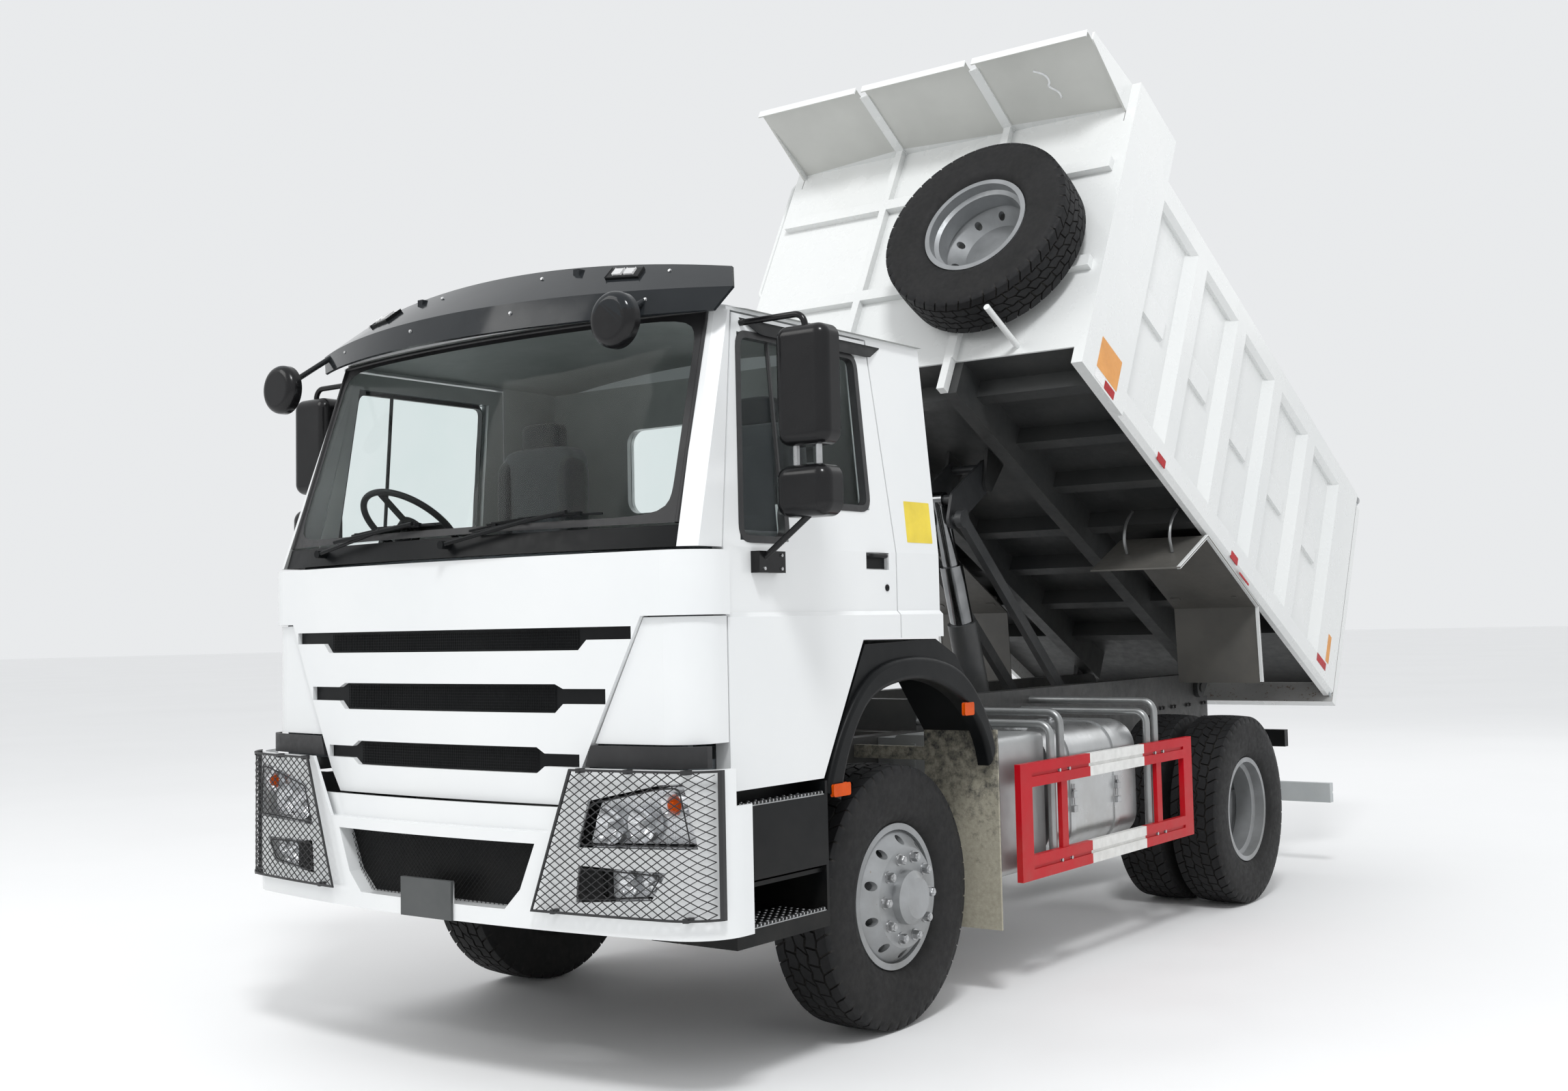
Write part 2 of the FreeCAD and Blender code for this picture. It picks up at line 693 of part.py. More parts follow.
def leaf_spring(x, y, axle_top, span, leaves):
    """Stack of arched leaves, each shorter than the one above it."""
    stack = []
    for i in range(leaves):
        reach = span / 2.0 * (1.0 - LEAF_STEP * i)
        sag = LEAF_ARCH * (reach / (span / 2.0)) ** 2
        low = axle_top + SPRING_LEAF * (leaves - 1 - i)
        start = V(x - SPRING_WIDTH / 2.0, y - reach, low + sag)
        finish = V(x - SPRING_WIDTH / 2.0, y + reach, low + sag)
        centre = V(x - SPRING_WIDTH / 2.0, y, low)
        up = V(0, 0, SPRING_LEAF)
        lower = Part.Arc(start, centre, finish).toShape()
        upper = Part.Arc(start.add(up), centre.add(up), finish.add(up)).toShape()
        ends = [Part.makeLine(start, start.add(up)), Part.makeLine(finish, finish.add(up))]
        outline = Part.Wire(Part.__sortEdges__([lower, upper] + ends))
        stack.append(Part.Face(outline).extrude(V(SPRING_WIDTH, 0, 0)))
    return joined(stack)


def front_axle():
    """Dropped I beam with kingpin ends, and the two front leaf springs."""
    x_eye = KINGPIN_X - KNUCKLE_FORK_INNER
    low = TYRE_RADIUS - AXLE_DROP
    eye_low = TYRE_RADIUS - AXLE_BEAM_HEIGHT / 2.0
    eye_top = TYRE_RADIUS + AXLE_BEAM_HEIGHT / 2.0
    beam_outline = [(-KINGPIN_X, eye_low), (-x_eye, eye_low), (-AXLE_FLAT_X, low), (AXLE_FLAT_X, low),
                    (x_eye, eye_low), (KINGPIN_X, eye_low), (KINGPIN_X, eye_top), (x_eye, eye_top),
                    (AXLE_FLAT_X, low + AXLE_BEAM_HEIGHT), (-AXLE_FLAT_X, low + AXLE_BEAM_HEIGHT),
                    (-x_eye, eye_top), (-KINGPIN_X, eye_top)]
    beam = front_prism(beam_outline, -AXLE_BEAM_WIDTH / 2.0, AXLE_BEAM_WIDTH / 2.0)
    pieces = [beam]
    for side in (-1.0, 1.0):
        x = side * KINGPIN_X
        pieces.append(bar((x, 0, eye_low), (x, 0, eye_top), AXLE_EYE_RADIUS))
    beam = joined(pieces)
    for side in (-1.0, 1.0):
        x = side * KINGPIN_X
        beam = beam.cut(bar((x, 0, eye_low - PLAY), (x, 0, eye_top + PLAY), KINGPIN_RADIUS + RUNNING_GAP))
    top = low + AXLE_BEAM_HEIGHT
    for side in (-1.0, 1.0):
        spring = leaf_spring(side * FRONT_SPRING_X, 0.0, top, FRONT_SPRING_SPAN, FRONT_SPRING_LEAVES)
        beam = beam.fuse(spring)
        beam = beam.fuse(spring_hangers(side * FRONT_SPRING_X, 0.0, top, FRONT_SPRING_SPAN,
                                        FRONT_SPRING_LEAVES))
    return beam


def spring_hangers(x, y, axle_top, span, leaves):
    """Brackets that hold the ends of one spring under the frame rail."""
    end_z = axle_top + SPRING_LEAF * (leaves - 1) + LEAF_ARCH
    half = SPRING_WIDTH / 2.0
    hangers = []
    for side in (-1.0, 1.0):
        end = y + side * (span / 2.0 - SPRING_LEAF)
        hangers.append(box(x - half, x + half, end - HANGER / 2.0, end + HANGER / 2.0, end_z - HANGER / 2.0,
                           RAIL_TOP - RAIL_HEIGHT))
    return Part.makeCompound(hangers)


def rear_axle():
    """Banjo axle with its differential, propeller shaft, brake drums and leaf springs."""
    y = WHEELBASE
    z = TYRE_RADIUS
    half = REAR_TWIN_X - TWIN_SPACING / 2.0 - TYRE_WIDTH / 2.0
    tube = disc(-half, half, y, z, REAR_TUBE_RADIUS)
    spindle = disc(-REAR_TWIN_X, REAR_TWIN_X, y, z, SPINDLE_RADIUS)
    banjo = turned([(-BANJO_WIDTH, 0), (-BANJO_WIDTH, REAR_TUBE_RADIUS), (-BANJO_WIDTH / 2.0, BANJO_RADIUS),
                    (BANJO_WIDTH / 2.0, BANJO_RADIUS), (BANJO_WIDTH, REAR_TUBE_RADIUS), (BANJO_WIDTH, 0)],
                    y, z)
    nose_cone = Part.makeCone(BANJO_RADIUS * 0.7, SHAFT_RADIUS * 1.6, PINION_NOSE,
                              V(0, y - BANJO_RADIUS * 0.6, z),
                              V(0, -1, 0))
    shaft = bar((0, y - PINION_NOSE, z), (0, GEARBOX_REAR_Y, SHAFT_FRONT_Z), SHAFT_RADIUS)
    pieces = [tube, spindle, banjo, nose_cone, shaft]
    top = z + REAR_TUBE_RADIUS
    for side in (-1.0, 1.0):
        x = side * REAR_SPRING_X
        pieces.append(leaf_spring(x, y, top, REAR_SPRING_SPAN, REAR_SPRING_LEAVES))
        pieces.append(spring_hangers(x, y, top, REAR_SPRING_SPAN, REAR_SPRING_LEAVES))
    return joined(pieces).cut(engine_block())


def engine_block():
    """Engine and gearbox as one plain block between the rails, under the cab."""
    engine = box(-ENGINE_HALF_WIDTH, ENGINE_HALF_WIDTH, ENGINE_FRONT_Y, ENGINE_REAR_Y, ENGINE_BOTTOM,
                 ENGINE_TOP)
    gearbox = box(-GEARBOX_HALF_WIDTH, GEARBOX_HALF_WIDTH, ENGINE_REAR_Y, GEARBOX_REAR_Y, GEARBOX_BOTTOM,
                  GEARBOX_TOP)
    return joined([engine, gearbox])


def fuel_tank():
    """Rounded aluminium tank on the left rail with two straps and a filler cap."""
    x0 = TANK_INNER_X
    x1 = TANK_OUTER_X
    tank = rounded(box(x0, x1, TANK_FRONT_Y, TANK_REAR_Y, TANK_BOTTOM, TANK_TOP), TANK_CORNER, V(0, 1, 0))
    pieces = [tank]
    length = TANK_REAR_Y - TANK_FRONT_Y
    for share in (0.25, 0.75):
        y = TANK_FRONT_Y + length * share
        strap = rounded(box(x0 - STRAP, x1 + STRAP, y - STRAP_WIDTH / 2.0, y + STRAP_WIDTH / 2.0,
                            TANK_BOTTOM - STRAP, TANK_TOP + STRAP), TANK_CORNER, V(0, 1, 0))
        pieces.append(strap)
        pieces.append(box(RAIL_OUTER_X, x0 + TANK_CORNER, y - STRAP_WIDTH / 2.0, y + STRAP_WIDTH / 2.0,
                          TANK_BOTTOM + TANK_CORNER, RAIL_TOP - RAIL_WALL))
    cap_x = x0 + (x1 - x0) * 0.6
    cap_y = TANK_FRONT_Y + length * 0.12
    pieces.append(bar((cap_x, cap_y, TANK_TOP - STRAP), (cap_x, cap_y, TANK_TOP + CAP_HEIGHT), CAP_RADIUS))
    return joined(pieces)


def battery_box():
    """Ribbed metal box ahead of the tank."""
    body = rounded(box(TANK_INNER_X, TANK_OUTER_X, BATTERY_FRONT_Y, BATTERY_REAR_Y, BATTERY_BOTTOM,
                       TANK_TOP),
                   BATTERY_CORNER, V(0, 1, 0))
    arm = box(RAIL_OUTER_X, TANK_INNER_X + BATTERY_CORNER, BATTERY_FRONT_Y + STRAP_WIDTH,
              BATTERY_REAR_Y - STRAP_WIDTH, BATTERY_BOTTOM + TANK_CORNER, RAIL_TOP - RAIL_WALL)
    ribs = []
    pitch = (TANK_OUTER_X - TANK_INNER_X) / (BATTERY_RIBS + 1.0)
    for i in range(BATTERY_RIBS):
        x = TANK_INNER_X + pitch * (i + 1)
        ribs.append(box(x - RIB / 2.0, x + RIB / 2.0, BATTERY_FRONT_Y - RIB / 2.0, BATTERY_FRONT_Y + RIB,
                        BATTERY_BOTTOM + BATTERY_CORNER, TANK_TOP - BATTERY_CORNER))
    return joined([body, arm] + ribs)


def air_tanks():
    """Two air reservoirs and the silencer drum on the right rail."""
    pieces = []
    x = -(TANK_INNER_X + RESERVOIR_RADIUS)
    for z in (TANK_BOTTOM + RESERVOIR_RADIUS, TANK_BOTTOM + RESERVOIR_RADIUS * 3.2):
        pieces.append(bar((x, RESERVOIR_FRONT_Y, z), (x, RESERVOIR_REAR_Y, z), RESERVOIR_RADIUS))
    for y in (RESERVOIR_FRONT_Y + STRAP_WIDTH * 2.0, RESERVOIR_REAR_Y - STRAP_WIDTH * 2.0):
        pieces.append(box(x - RIB, -RAIL_OUTER_X, y, y + STRAP_WIDTH, TANK_BOTTOM + RIB,
                          RAIL_TOP - RAIL_WALL))
    drum_x = -(TANK_INNER_X + SILENCER_RADIUS)
    pieces.append(bar((drum_x, SILENCER_FRONT_Y, SILENCER_Z), (drum_x, SILENCER_REAR_Y, SILENCER_Z),
                      SILENCER_RADIUS))
    for y in (SILENCER_FRONT_Y + STRAP_WIDTH, SILENCER_REAR_Y - STRAP_WIDTH * 2.0):
        pieces.append(box(drum_x, -RAIL_OUTER_X, y, y + STRAP_WIDTH, SILENCER_Z, RAIL_TOP - RAIL_WALL))
    pieces.append(bar((drum_x, SILENCER_REAR_Y - PLAY, SILENCER_Z),
                      (drum_x, SILENCER_REAR_Y + TAILPIPE, SILENCER_Z),
                      TAILPIPE_RADIUS))
    return pieces[0].multiFuse(pieces[1:])


def side_guard():
    """Left side guard: ribbed rails, end posts and two inner posts in one frame."""
    x0 = GUARD_OUTER_X - GUARD_DEPTH
    x1 = GUARD_OUTER_X
    pieces = []
    for z in (GUARD_BOTTOM, GUARD_TOP - GUARD_RAIL):
        rail = box(x0, x1, GUARD_FRONT_Y, GUARD_REAR_Y, z, z + GUARD_RAIL)
        groove_z = z + GUARD_RAIL / 2.0
        rail = rail.cut(box(x1 - GUARD_GROOVE, x1 + PLAY, GUARD_FRONT_Y - PLAY, GUARD_REAR_Y + PLAY,
                            groove_z - GUARD_GROOVE, groove_z + GUARD_GROOVE))
        pieces.append(rail)
    for y in (GUARD_FRONT_Y, GUARD_REAR_Y - GUARD_RAIL):
        pieces.append(box(x0, x1, y, y + GUARD_RAIL, GUARD_BOTTOM, GUARD_TOP))
    for y in GUARD_BRACKET_PLACES:
        pieces.append(box(x0, x1 - GUARD_GROOVE, y - GUARD_POST / 2.0, y + GUARD_POST / 2.0, GUARD_BOTTOM,
                          GUARD_TOP))
    return joined(pieces)


def guard_bracket(y, z):
    """Bent tube from the frame rail over the tank and down behind the side guard."""
    x = GUARD_OUTER_X - GUARD_DEPTH - GUARD_TUBE_RADIUS
    return bent_tube([(RAIL_OUTER_X, y, z), (x, y, z), (x, y, GUARD_BOTTOM)], GUARD_TUBE_RADIUS,
                     GUARD_TUBE_BEND)


def guard_brackets():
    """Tube brackets of both side guards."""
    tubes = []
    for y in GUARD_BRACKET_PLACES:
        tubes.append(guard_bracket(y - GUARD_TUBE_SPREAD / 2.0, GUARD_TUBE_Z))
        tubes.append(guard_bracket(y + GUARD_TUBE_SPREAD / 2.0, GUARD_TUBE_Z + GUARD_TUBE_STEP))
    return both_sides(Part.makeCompound(tubes))


def underrun_bar():
    """Rear underrun beam on two hangers below the frame ends."""
    y = RAIL_REAR_Y
    beam = box(-UNDERRUN_HALF_WIDTH, UNDERRUN_HALF_WIDTH, UNDERRUN_REAR_Y - UNDERRUN_DEPTH, UNDERRUN_REAR_Y,
               UNDERRUN_BOTTOM, UNDERRUN_BOTTOM + UNDERRUN_HEIGHT)
    groove_z = UNDERRUN_BOTTOM + UNDERRUN_HEIGHT / 2.0
    beam = beam.cut(box(-UNDERRUN_HALF_WIDTH - PLAY, UNDERRUN_HALF_WIDTH + PLAY,
                        UNDERRUN_REAR_Y - GUARD_GROOVE,
                        UNDERRUN_REAR_Y + PLAY, groove_z - GUARD_GROOVE, groove_z + GUARD_GROOVE))
    outline = [(y - HANGER, RAIL_TOP - RAIL_HEIGHT), (y - HANGER, UNDERRUN_TOP_REACH),
               (UNDERRUN_REAR_Y - UNDERRUN_DEPTH - HANGER / 2.0, UNDERRUN_BOTTOM),
               (UNDERRUN_REAR_Y - UNDERRUN_DEPTH, UNDERRUN_BOTTOM),
               (UNDERRUN_REAR_Y - UNDERRUN_DEPTH, UNDERRUN_TOP_REACH), (y, RAIL_TOP - RAIL_HEIGHT)]
    hanger = side_prism(outline, RAIL_OUTER_X - RAIL_FLANGE, RAIL_OUTER_X)
    return joined([beam, hanger, mirrored(hanger)])


def bumper_shell(z0, z1):
    """Bumper skin between two heights."""
    rear = BUMPER_REAR_Y + PLAY
    return bumper_nose(z0, z1).cut(bumper_nose(z0 - PLAY, z1 + PLAY, BUMPER_SKIN, rear))


def lamp_field(grow=0.0):
    """Front outline of the left corner field that holds the lamps."""
    return [(LAMP_FIELD_BOTTOM_X - grow, BUMPER_BOTTOM + LAMP_FIELD_RISE - grow),
            (BUMPER_HALF_WIDTH + grow, BUMPER_BOTTOM + LAMP_FIELD_RISE - grow),
            (BUMPER_HALF_WIDTH + grow, LAMP_FIELD_TOP + grow),
            (LAMP_FIELD_TOP_X - grow, LAMP_FIELD_TOP + grow)]


def grown(outline, grow):
    """The outline with each corner moved away from its middle, both across and up."""
    middle_x = sum(x for x, _ in outline) / len(outline)
    middle_z = sum(z for _, z in outline) / len(outline)
    return [(x + math.copysign(grow, x - middle_x), z + math.copysign(grow, z - middle_z)) for x,
            z in outline]


def air_inlet_outline(grow=0.0):
    """Front outline of the lower opening in the bumper."""
    return [(-INLET_TOP_HALF - grow, INLET_TOP + grow), (INLET_TOP_HALF + grow, INLET_TOP + grow),
            (INLET_BOTTOM_HALF + INLET_CHAMFER + grow, INLET_BOTTOM + INLET_CHAMFER),
            (INLET_BOTTOM_HALF + grow, INLET_BOTTOM - grow),
            (-INLET_BOTTOM_HALF - grow, INLET_BOTTOM - grow),
            (-INLET_BOTTOM_HALF - INLET_CHAMFER - grow, INLET_BOTTOM + INLET_CHAMFER)]


def front_bumper():
    """Bowed bumper with raised corners, lamp recesses and a lower air inlet."""
    low = bumper_shell(BUMPER_BOTTOM, BUMPER_TOP)
    corner_outline = [(LAMP_FIELD_INNER_X, BUMPER_TOP - PLAY), (BUMPER_HALF_WIDTH + PLAY, BUMPER_TOP - PLAY),
                      (BUMPER_HALF_WIDTH + PLAY, LAMP_FIELD_TOP),
                      (LAMP_FIELD_TOP_X - LAMP_FIELD_EDGE, LAMP_FIELD_TOP)]
    corner = front_prism(corner_outline, BUMPER_CENTRE_Y - PLAY, BUMPER_REAR_Y + PLAY)
    corner = bumper_shell(BUMPER_TOP - PLAY, LAMP_FIELD_TOP).common(corner)
    corner = corner.cut(box(0, BUMPER_HALF_WIDTH + PLAY, BUMPER_CORNER_BACK_Y, BUMPER_REAR_Y + PLAY,
                            BUMPER_SIDE_TOP, LAMP_FIELD_TOP + PLAY))
    holes = [front_prism(grown(HEADLAMP, LAMP_FIT), BUMPER_CENTRE_Y - PLAY, BUMPER_REAR_Y),
             front_prism(grown(FOG_LAMP, LAMP_FIT), BUMPER_CENTRE_Y - PLAY, BUMPER_REAR_Y)]
    holes += [mirrored(hole) for hole in holes]
    holes.append(front_prism(air_inlet_outline(), BUMPER_CENTRE_Y - PLAY, BUMPER_REAR_Y))
    skin = joined([low, corner, mirrored(corner), bumper_apron()]).cut(holes)
    back_y = BUMPER_CENTRE_Y + BUMPER_SKIN + INLET_DEPTH
    tray = front_prism(air_inlet_outline(BUMPER_SKIN), BUMPER_CENTRE_Y + BUMPER_SKIN, back_y)
    tray = tray.common(bumper_nose(BUMPER_BOTTOM, BUMPER_TOP, BUMPER_SKIN - 1.0))
    tray = tray.cut(front_prism(air_inlet_outline(), BUMPER_CENTRE_Y, back_y - BUMPER_SKIN))
    plate = box(-PLATE_HALF, PLATE_HALF, BUMPER_CENTRE_Y - PLATE_THICKNESS,
                BUMPER_CENTRE_Y + BUMPER_SKIN / 2.0,
                BUMPER_BOTTOM, BUMPER_BOTTOM + PLATE_HEIGHT)
    arms = box(BUMPER_ARM_X - HANGER, BUMPER_ARM_X + HANGER, BUMPER_CENTRE_Y + BUMPER_SKIN * 2.0,
               RAIL_FRONT_Y,
               INLET_TOP + BUMPER_SKIN, BUMPER_TOP - BUMPER_SKIN)
    return joined([skin, tray, plate, arms, mirrored(arms)])


def bumper_apron():
    """Ledge on the bumper's middle and the panel that rises from it to the lid's lower edge."""
    top = LID_BOTTOM - LID_GAP
    reach = box(-LAMP_FIELD_TOP_X, LAMP_FIELD_TOP_X, BUMPER_CENTRE_Y, BUMPER_REAR_Y,
                BUMPER_TOP - BUMPER_SKIN, top)
    ledge = bumper_nose(BUMPER_TOP - BUMPER_SKIN, BUMPER_TOP)
    room = bumper_nose(BUMPER_TOP - BUMPER_SKIN * 2.0, top + PLAY, APRON_SETBACK + BUMPER_SKIN,
                       BUMPER_REAR_Y + PLAY)
    panel = bumper_nose(BUMPER_TOP - BUMPER_SKIN, top, APRON_SETBACK)
    return ledge.fuse(panel).common(reach).cut(room)


def lamps():
    """Headlamps and fog lamps in the bumper, tail lamps behind the rear wheels."""
    depth = bumper_nose(BUMPER_BOTTOM, LAMP_FIELD_TOP).cut(
        bumper_nose(BUMPER_BOTTOM - PLAY, LAMP_FIELD_TOP + PLAY, LAMP_DEPTH, BUMPER_REAR_Y + PLAY))
    front = BUMPER_CENTRE_Y - PLAY
    headlamp = front_prism(HEADLAMP, front, BUMPER_CORNER_BACK_Y).common(depth)
    fog_lamp = front_prism(FOG_LAMP, front, BUMPER_CORNER_BACK_Y).common(depth)
    tail = box(TAIL_LAMP_X, TAIL_LAMP_X + TAIL_LAMP_WIDTH, TAIL_LAMP_Y - TAIL_LAMP_DEPTH, TAIL_LAMP_Y,
               TAIL_LAMP_Z, TAIL_LAMP_Z + TAIL_LAMP_HEIGHT)
    tail_arm = box(RAIL_OUTER_X, TAIL_LAMP_X + TAIL_LAMP_WIDTH / 2.0,
                   TAIL_LAMP_Y - TAIL_LAMP_DEPTH - HANGER / 2.0,
                   TAIL_LAMP_Y - TAIL_LAMP_DEPTH, TAIL_LAMP_Z, TAIL_LAMP_Z + TAIL_LAMP_HEIGHT)
    tail = joined([tail, tail_arm])
    return both_sides(Part.makeCompound([headlamp, fog_lamp, tail]))


def lamp_guards():
    """Frames of the wire guards over the lamps and the slotted panels above them."""
    outer = front_prism(lamp_field(), BUMPER_CENTRE_Y - GUARD_STAND * 2.0, BUMPER_CORNER_BACK_Y)
    inner = front_prism(lamp_field(-GUARD_WIRE), BUMPER_CENTRE_Y - GUARD_STAND * 2.0, BUMPER_CORNER_BACK_Y)
    shell = bumper_nose(BUMPER_BOTTOM, LAMP_FIELD_TOP, -GUARD_STAND).cut(
        bumper_nose(BUMPER_BOTTOM - PLAY, LAMP_FIELD_TOP + PLAY, -GUARD_STAND + GUARD_WIRE,
                    BUMPER_REAR_Y + PLAY))
    frame = shell.common(outer).cut(inner)
    clips = []
    for x, z in GUARD_CLIPS:
        clip = box(x, x + GUARD_CLIP, BUMPER_CENTRE_Y - GUARD_STAND * 2.0, BUMPER_CORNER_BACK_Y, z,
                   z + GUARD_CLIP)
        ring = bumper_nose(z - PLAY, z + GUARD_CLIP + PLAY, -GUARD_STAND).cut(
            bumper_nose(z - PLAY * 2.0, z + GUARD_CLIP + PLAY * 2.0, 0.0, BUMPER_REAR_Y + PLAY))
        clips.append(clip.common(ring))
    frame = joined([frame] + clips)
    slot_shape = [(LAMP_FIELD_TOP_X, LAMP_FIELD_TOP), (SLOT_OUTER_X, LAMP_FIELD_TOP),
                  (SLOT_OUTER_X, SLOT_TOP), (LAMP_FIELD_TOP_X + SLOT_SLANT, SLOT_TOP)]
    slot = front_prism(slot_shape, BUMPER_CENTRE_Y, BUMPER_CORNER_BACK_Y)
    band = bumper_nose(LAMP_FIELD_TOP, SLOT_TOP, SLOT_INSET).cut(
        bumper_nose(LAMP_FIELD_TOP - PLAY, SLOT_TOP + PLAY, SLOT_INSET + BUMPER_SKIN, BUMPER_REAR_Y + PLAY))
    return both_sides(joined([frame, slot.common(band)]))


def step_box():
    """Left step box: two treads with toe space above each, open to the outside."""
    x0 = STEP_INNER_X
    x1 = STEP_OUTER_X
    y0 = BUMPER_REAR_Y + DOOR_GAP
    y1 = STEP_REAR_Y
    block = box(x0, x1, y0, y1, STEP_BOTTOM, DOOR_BOTTOM - DOOR_GAP)
    outline = [(x1 + PLAY, LOWER_TREAD_Z), (x0 + STEP_SKIN, LOWER_TREAD_Z),
               (x0 + STEP_SKIN, UPPER_TREAD_Z - STEP_SKIN),
               (x1 - UPPER_TREAD_DEPTH, UPPER_TREAD_Z - STEP_SKIN), (x1 + PLAY, MIDDLE_LIP_Z)]
    hollow = front_prism(outline, y0 + STEP_SKIN, y1 - STEP_SKIN)
    toe_space = box(x1 - UPPER_TREAD_DEPTH, x1 + PLAY, y0 + STEP_SKIN, y1 - STEP_SKIN, UPPER_TREAD_Z,
                    DOOR_BOTTOM)
    bracket = box(RAIL_OUTER_X, x0 + STEP_SKIN / 2.0, y0 + STEP_SKIN, y0 + STEP_SKIN + HANGER,
                  LOWER_TREAD_Z + RIB,
                  RAIL_TOP - RAIL_WALL)
    lip = box(x1 - UPPER_TREAD_DEPTH - STEP_SKIN, x1 - LIP_SETBACK, y0 + STEP_SKIN / 2.0,
              y1 - STEP_SKIN / 2.0,
              MIDDLE_LIP_Z - STEP_SKIN, MIDDLE_LIP_Z)
    riser = box(x1 - UPPER_TREAD_DEPTH - STEP_SKIN, x1 - UPPER_TREAD_DEPTH, y0 + STEP_SKIN / 2.0,
                y1 - STEP_SKIN / 2.0, MIDDLE_LIP_Z - STEP_SKIN, UPPER_TREAD_Z - STEP_SKIN / 2.0)
    return joined([block.cut([hollow, toe_space]), bracket, lip, riser])


# ================================================================ cab
def side_wall(z0, z1):
    """Left cab wall, one panel thick: upright below the belt line and leaning in above it."""
    w = CAB_HALF_WIDTH
    proud = w + CREASE_DEPTH
    lean_top = w - SIDE_LEAN * (z1 - BELT_Z) / (ROOF_SIDE_Z - BELT_Z)
    outer = [(proud, z0), (proud, CREASE_Z), (w, CREASE_Z + CREASE_DEPTH), (w, BELT_Z), (lean_top, z1)]
    inner = [(lean_top - CAB_WALL, z1), (w - CAB_WALL, BELT_Z), (w - CAB_WALL, z0)]
    return front_prism(outer + inner, CAB_FRONT_LIMIT, CAB_REAR_Y)


def door_outline(grow=0.0):
    """Side outline of the door, with its rear lower corner cut for the wheel arch."""
    return [(DOOR_FRONT_Y - grow, DOOR_BOTTOM - grow), (ARCH_FOOT_Y + grow, DOOR_BOTTOM - grow),
            (ARCH_HEAD_Y + grow, ARCH_TOP - grow), (DOOR_REAR_Y + grow, ARCH_TOP - grow),
            (DOOR_REAR_Y + grow, BELT_Z), (DOOR_REAR_TOP_Y + grow, DOOR_TOP + grow),
            (DOOR_FRONT_TOP_Y - grow, DOOR_TOP + grow), (DOOR_FRONT_Y - grow, BELT_Z)]


def window_outline(grow=0.0):
    """Side outline of the door window, which steps down at its front."""
    return [(WINDOW_FRONT_Y - grow, WINDOW_FOOT - grow), (WINDOW_STEP_Y + grow, WINDOW_FOOT - grow),
            (WINDOW_STEP_Y + grow, WINDOW_SILL - grow), (WINDOW_REAR_Y + grow, WINDOW_SILL - grow),
            (WINDOW_REAR_Y + grow, WINDOW_TOP + grow), (WINDOW_FRONT_TOP_Y - grow, WINDOW_TOP + grow)]


def door():
    """Left door with its window cut and a recess for the handle."""
    panel = side_wall(DOOR_BOTTOM, DOOR_TOP).common(side_prism(door_outline(), 0, CAB_HALF_WIDTH + CUT_PAST))
    window = side_prism(window_outline(), 0, CAB_HALF_WIDTH + CUT_PAST)
    recess = box(CAB_HALF_WIDTH - HANDLE_DEPTH, CAB_HALF_WIDTH + CUT_PAST, HANDLE_FRONT_Y,
                 HANDLE_FRONT_Y + HANDLE_LENGTH,
                 HANDLE_Z, HANDLE_Z + HANDLE_HEIGHT)
    return panel.cut([window, recess])


def leaning_glass(outline, x_at_belt):
    """Thin pane in the leaning part of the left wall."""
    rise = ROOF_SIDE_Z - BELT_Z
    low = BELT_Z - rise
    strip = [(x_at_belt, low), (x_at_belt, BELT_Z), (x_at_belt - SIDE_LEAN, ROOF_SIDE_Z),
             (x_at_belt - SIDE_LEAN - GLASS, ROOF_SIDE_Z), (x_at_belt - GLASS, BELT_Z),
             (x_at_belt - GLASS, low)]
    strip_length = front_prism(strip, CAB_FRONT_LIMIT, CAB_REAR_Y)
    return strip_length.common(side_prism(outline, 0, CAB_HALF_WIDTH + CUT_PAST))


def door_glass():
    """Left door pane."""
    return leaning_glass(window_outline(), CAB_HALF_WIDTH - CAB_WALL / 2.0)


def mirror_housing(half, depth, low, high):
    """Mirror housing with rounded corners and a domed front."""
    block = box(MIRROR_X - half, MIRROR_X + half, MIRROR_Y - depth, MIRROR_Y, low, high)
    block = rounded(block, depth * 0.5, V(0, 1, 0))
    rim = [edge for edge in block.Edges if edge.BoundBox.YMax < MIRROR_Y - depth + PLAY]
    return block.makeFillet(depth * 0.42, rim)


def mirror():
    """Left main mirror and wide-angle mirror on their arms, with the door brackets."""
    x = MIRROR_X
    y = MIRROR_Y
    main = mirror_housing(MIRROR_WIDTH / 2.0, MIRROR_DEPTH, MIRROR_LOW, MIRROR_HIGH)
    wide = mirror_housing(MIRROR_WIDTH * 0.52, MIRROR_DEPTH * 1.1, WIDE_LOW, WIDE_HIGH)
    arm_y = y - MIRROR_DEPTH / 2.0
    bars = []
    for shift in (-MIRROR_WIDTH * 0.22, MIRROR_WIDTH * 0.22):
        bars.append(bar((x + shift, arm_y, WIDE_HIGH - PLAY), (x + shift, arm_y, MIRROR_LOW + PLAY),
                        MIRROR_BAR))
    top = bent_tube([(MIRROR_TOP_ROOT_X, DOOR_FRONT_TOP_Y + MIRROR_ROOT, MIRROR_TOP_Z),
                     (x, arm_y, MIRROR_TOP_Z), (x, arm_y, MIRROR_HIGH - PLAY)], MIRROR_BAR, MIRROR_BEND)
    foot = bar((x, arm_y, WIDE_LOW + PLAY), (CAB_HALF_WIDTH + MIRROR_BAR, MIRROR_FOOT_Y, MIRROR_FOOT_Z),
               MIRROR_BAR)
    foot_pad = box(CAB_HALF_WIDTH, CAB_HALF_WIDTH + MIRROR_PAD, MIRROR_FOOT_Y - MIRROR_PAD,
                   MIRROR_FOOT_Y + MIRROR_PAD * 3,
                   MIRROR_FOOT_Z - MIRROR_PAD, MIRROR_FOOT_Z + MIRROR_PAD)
    return joined([main, wide, top, foot, foot_pad] + bars).cut(door())


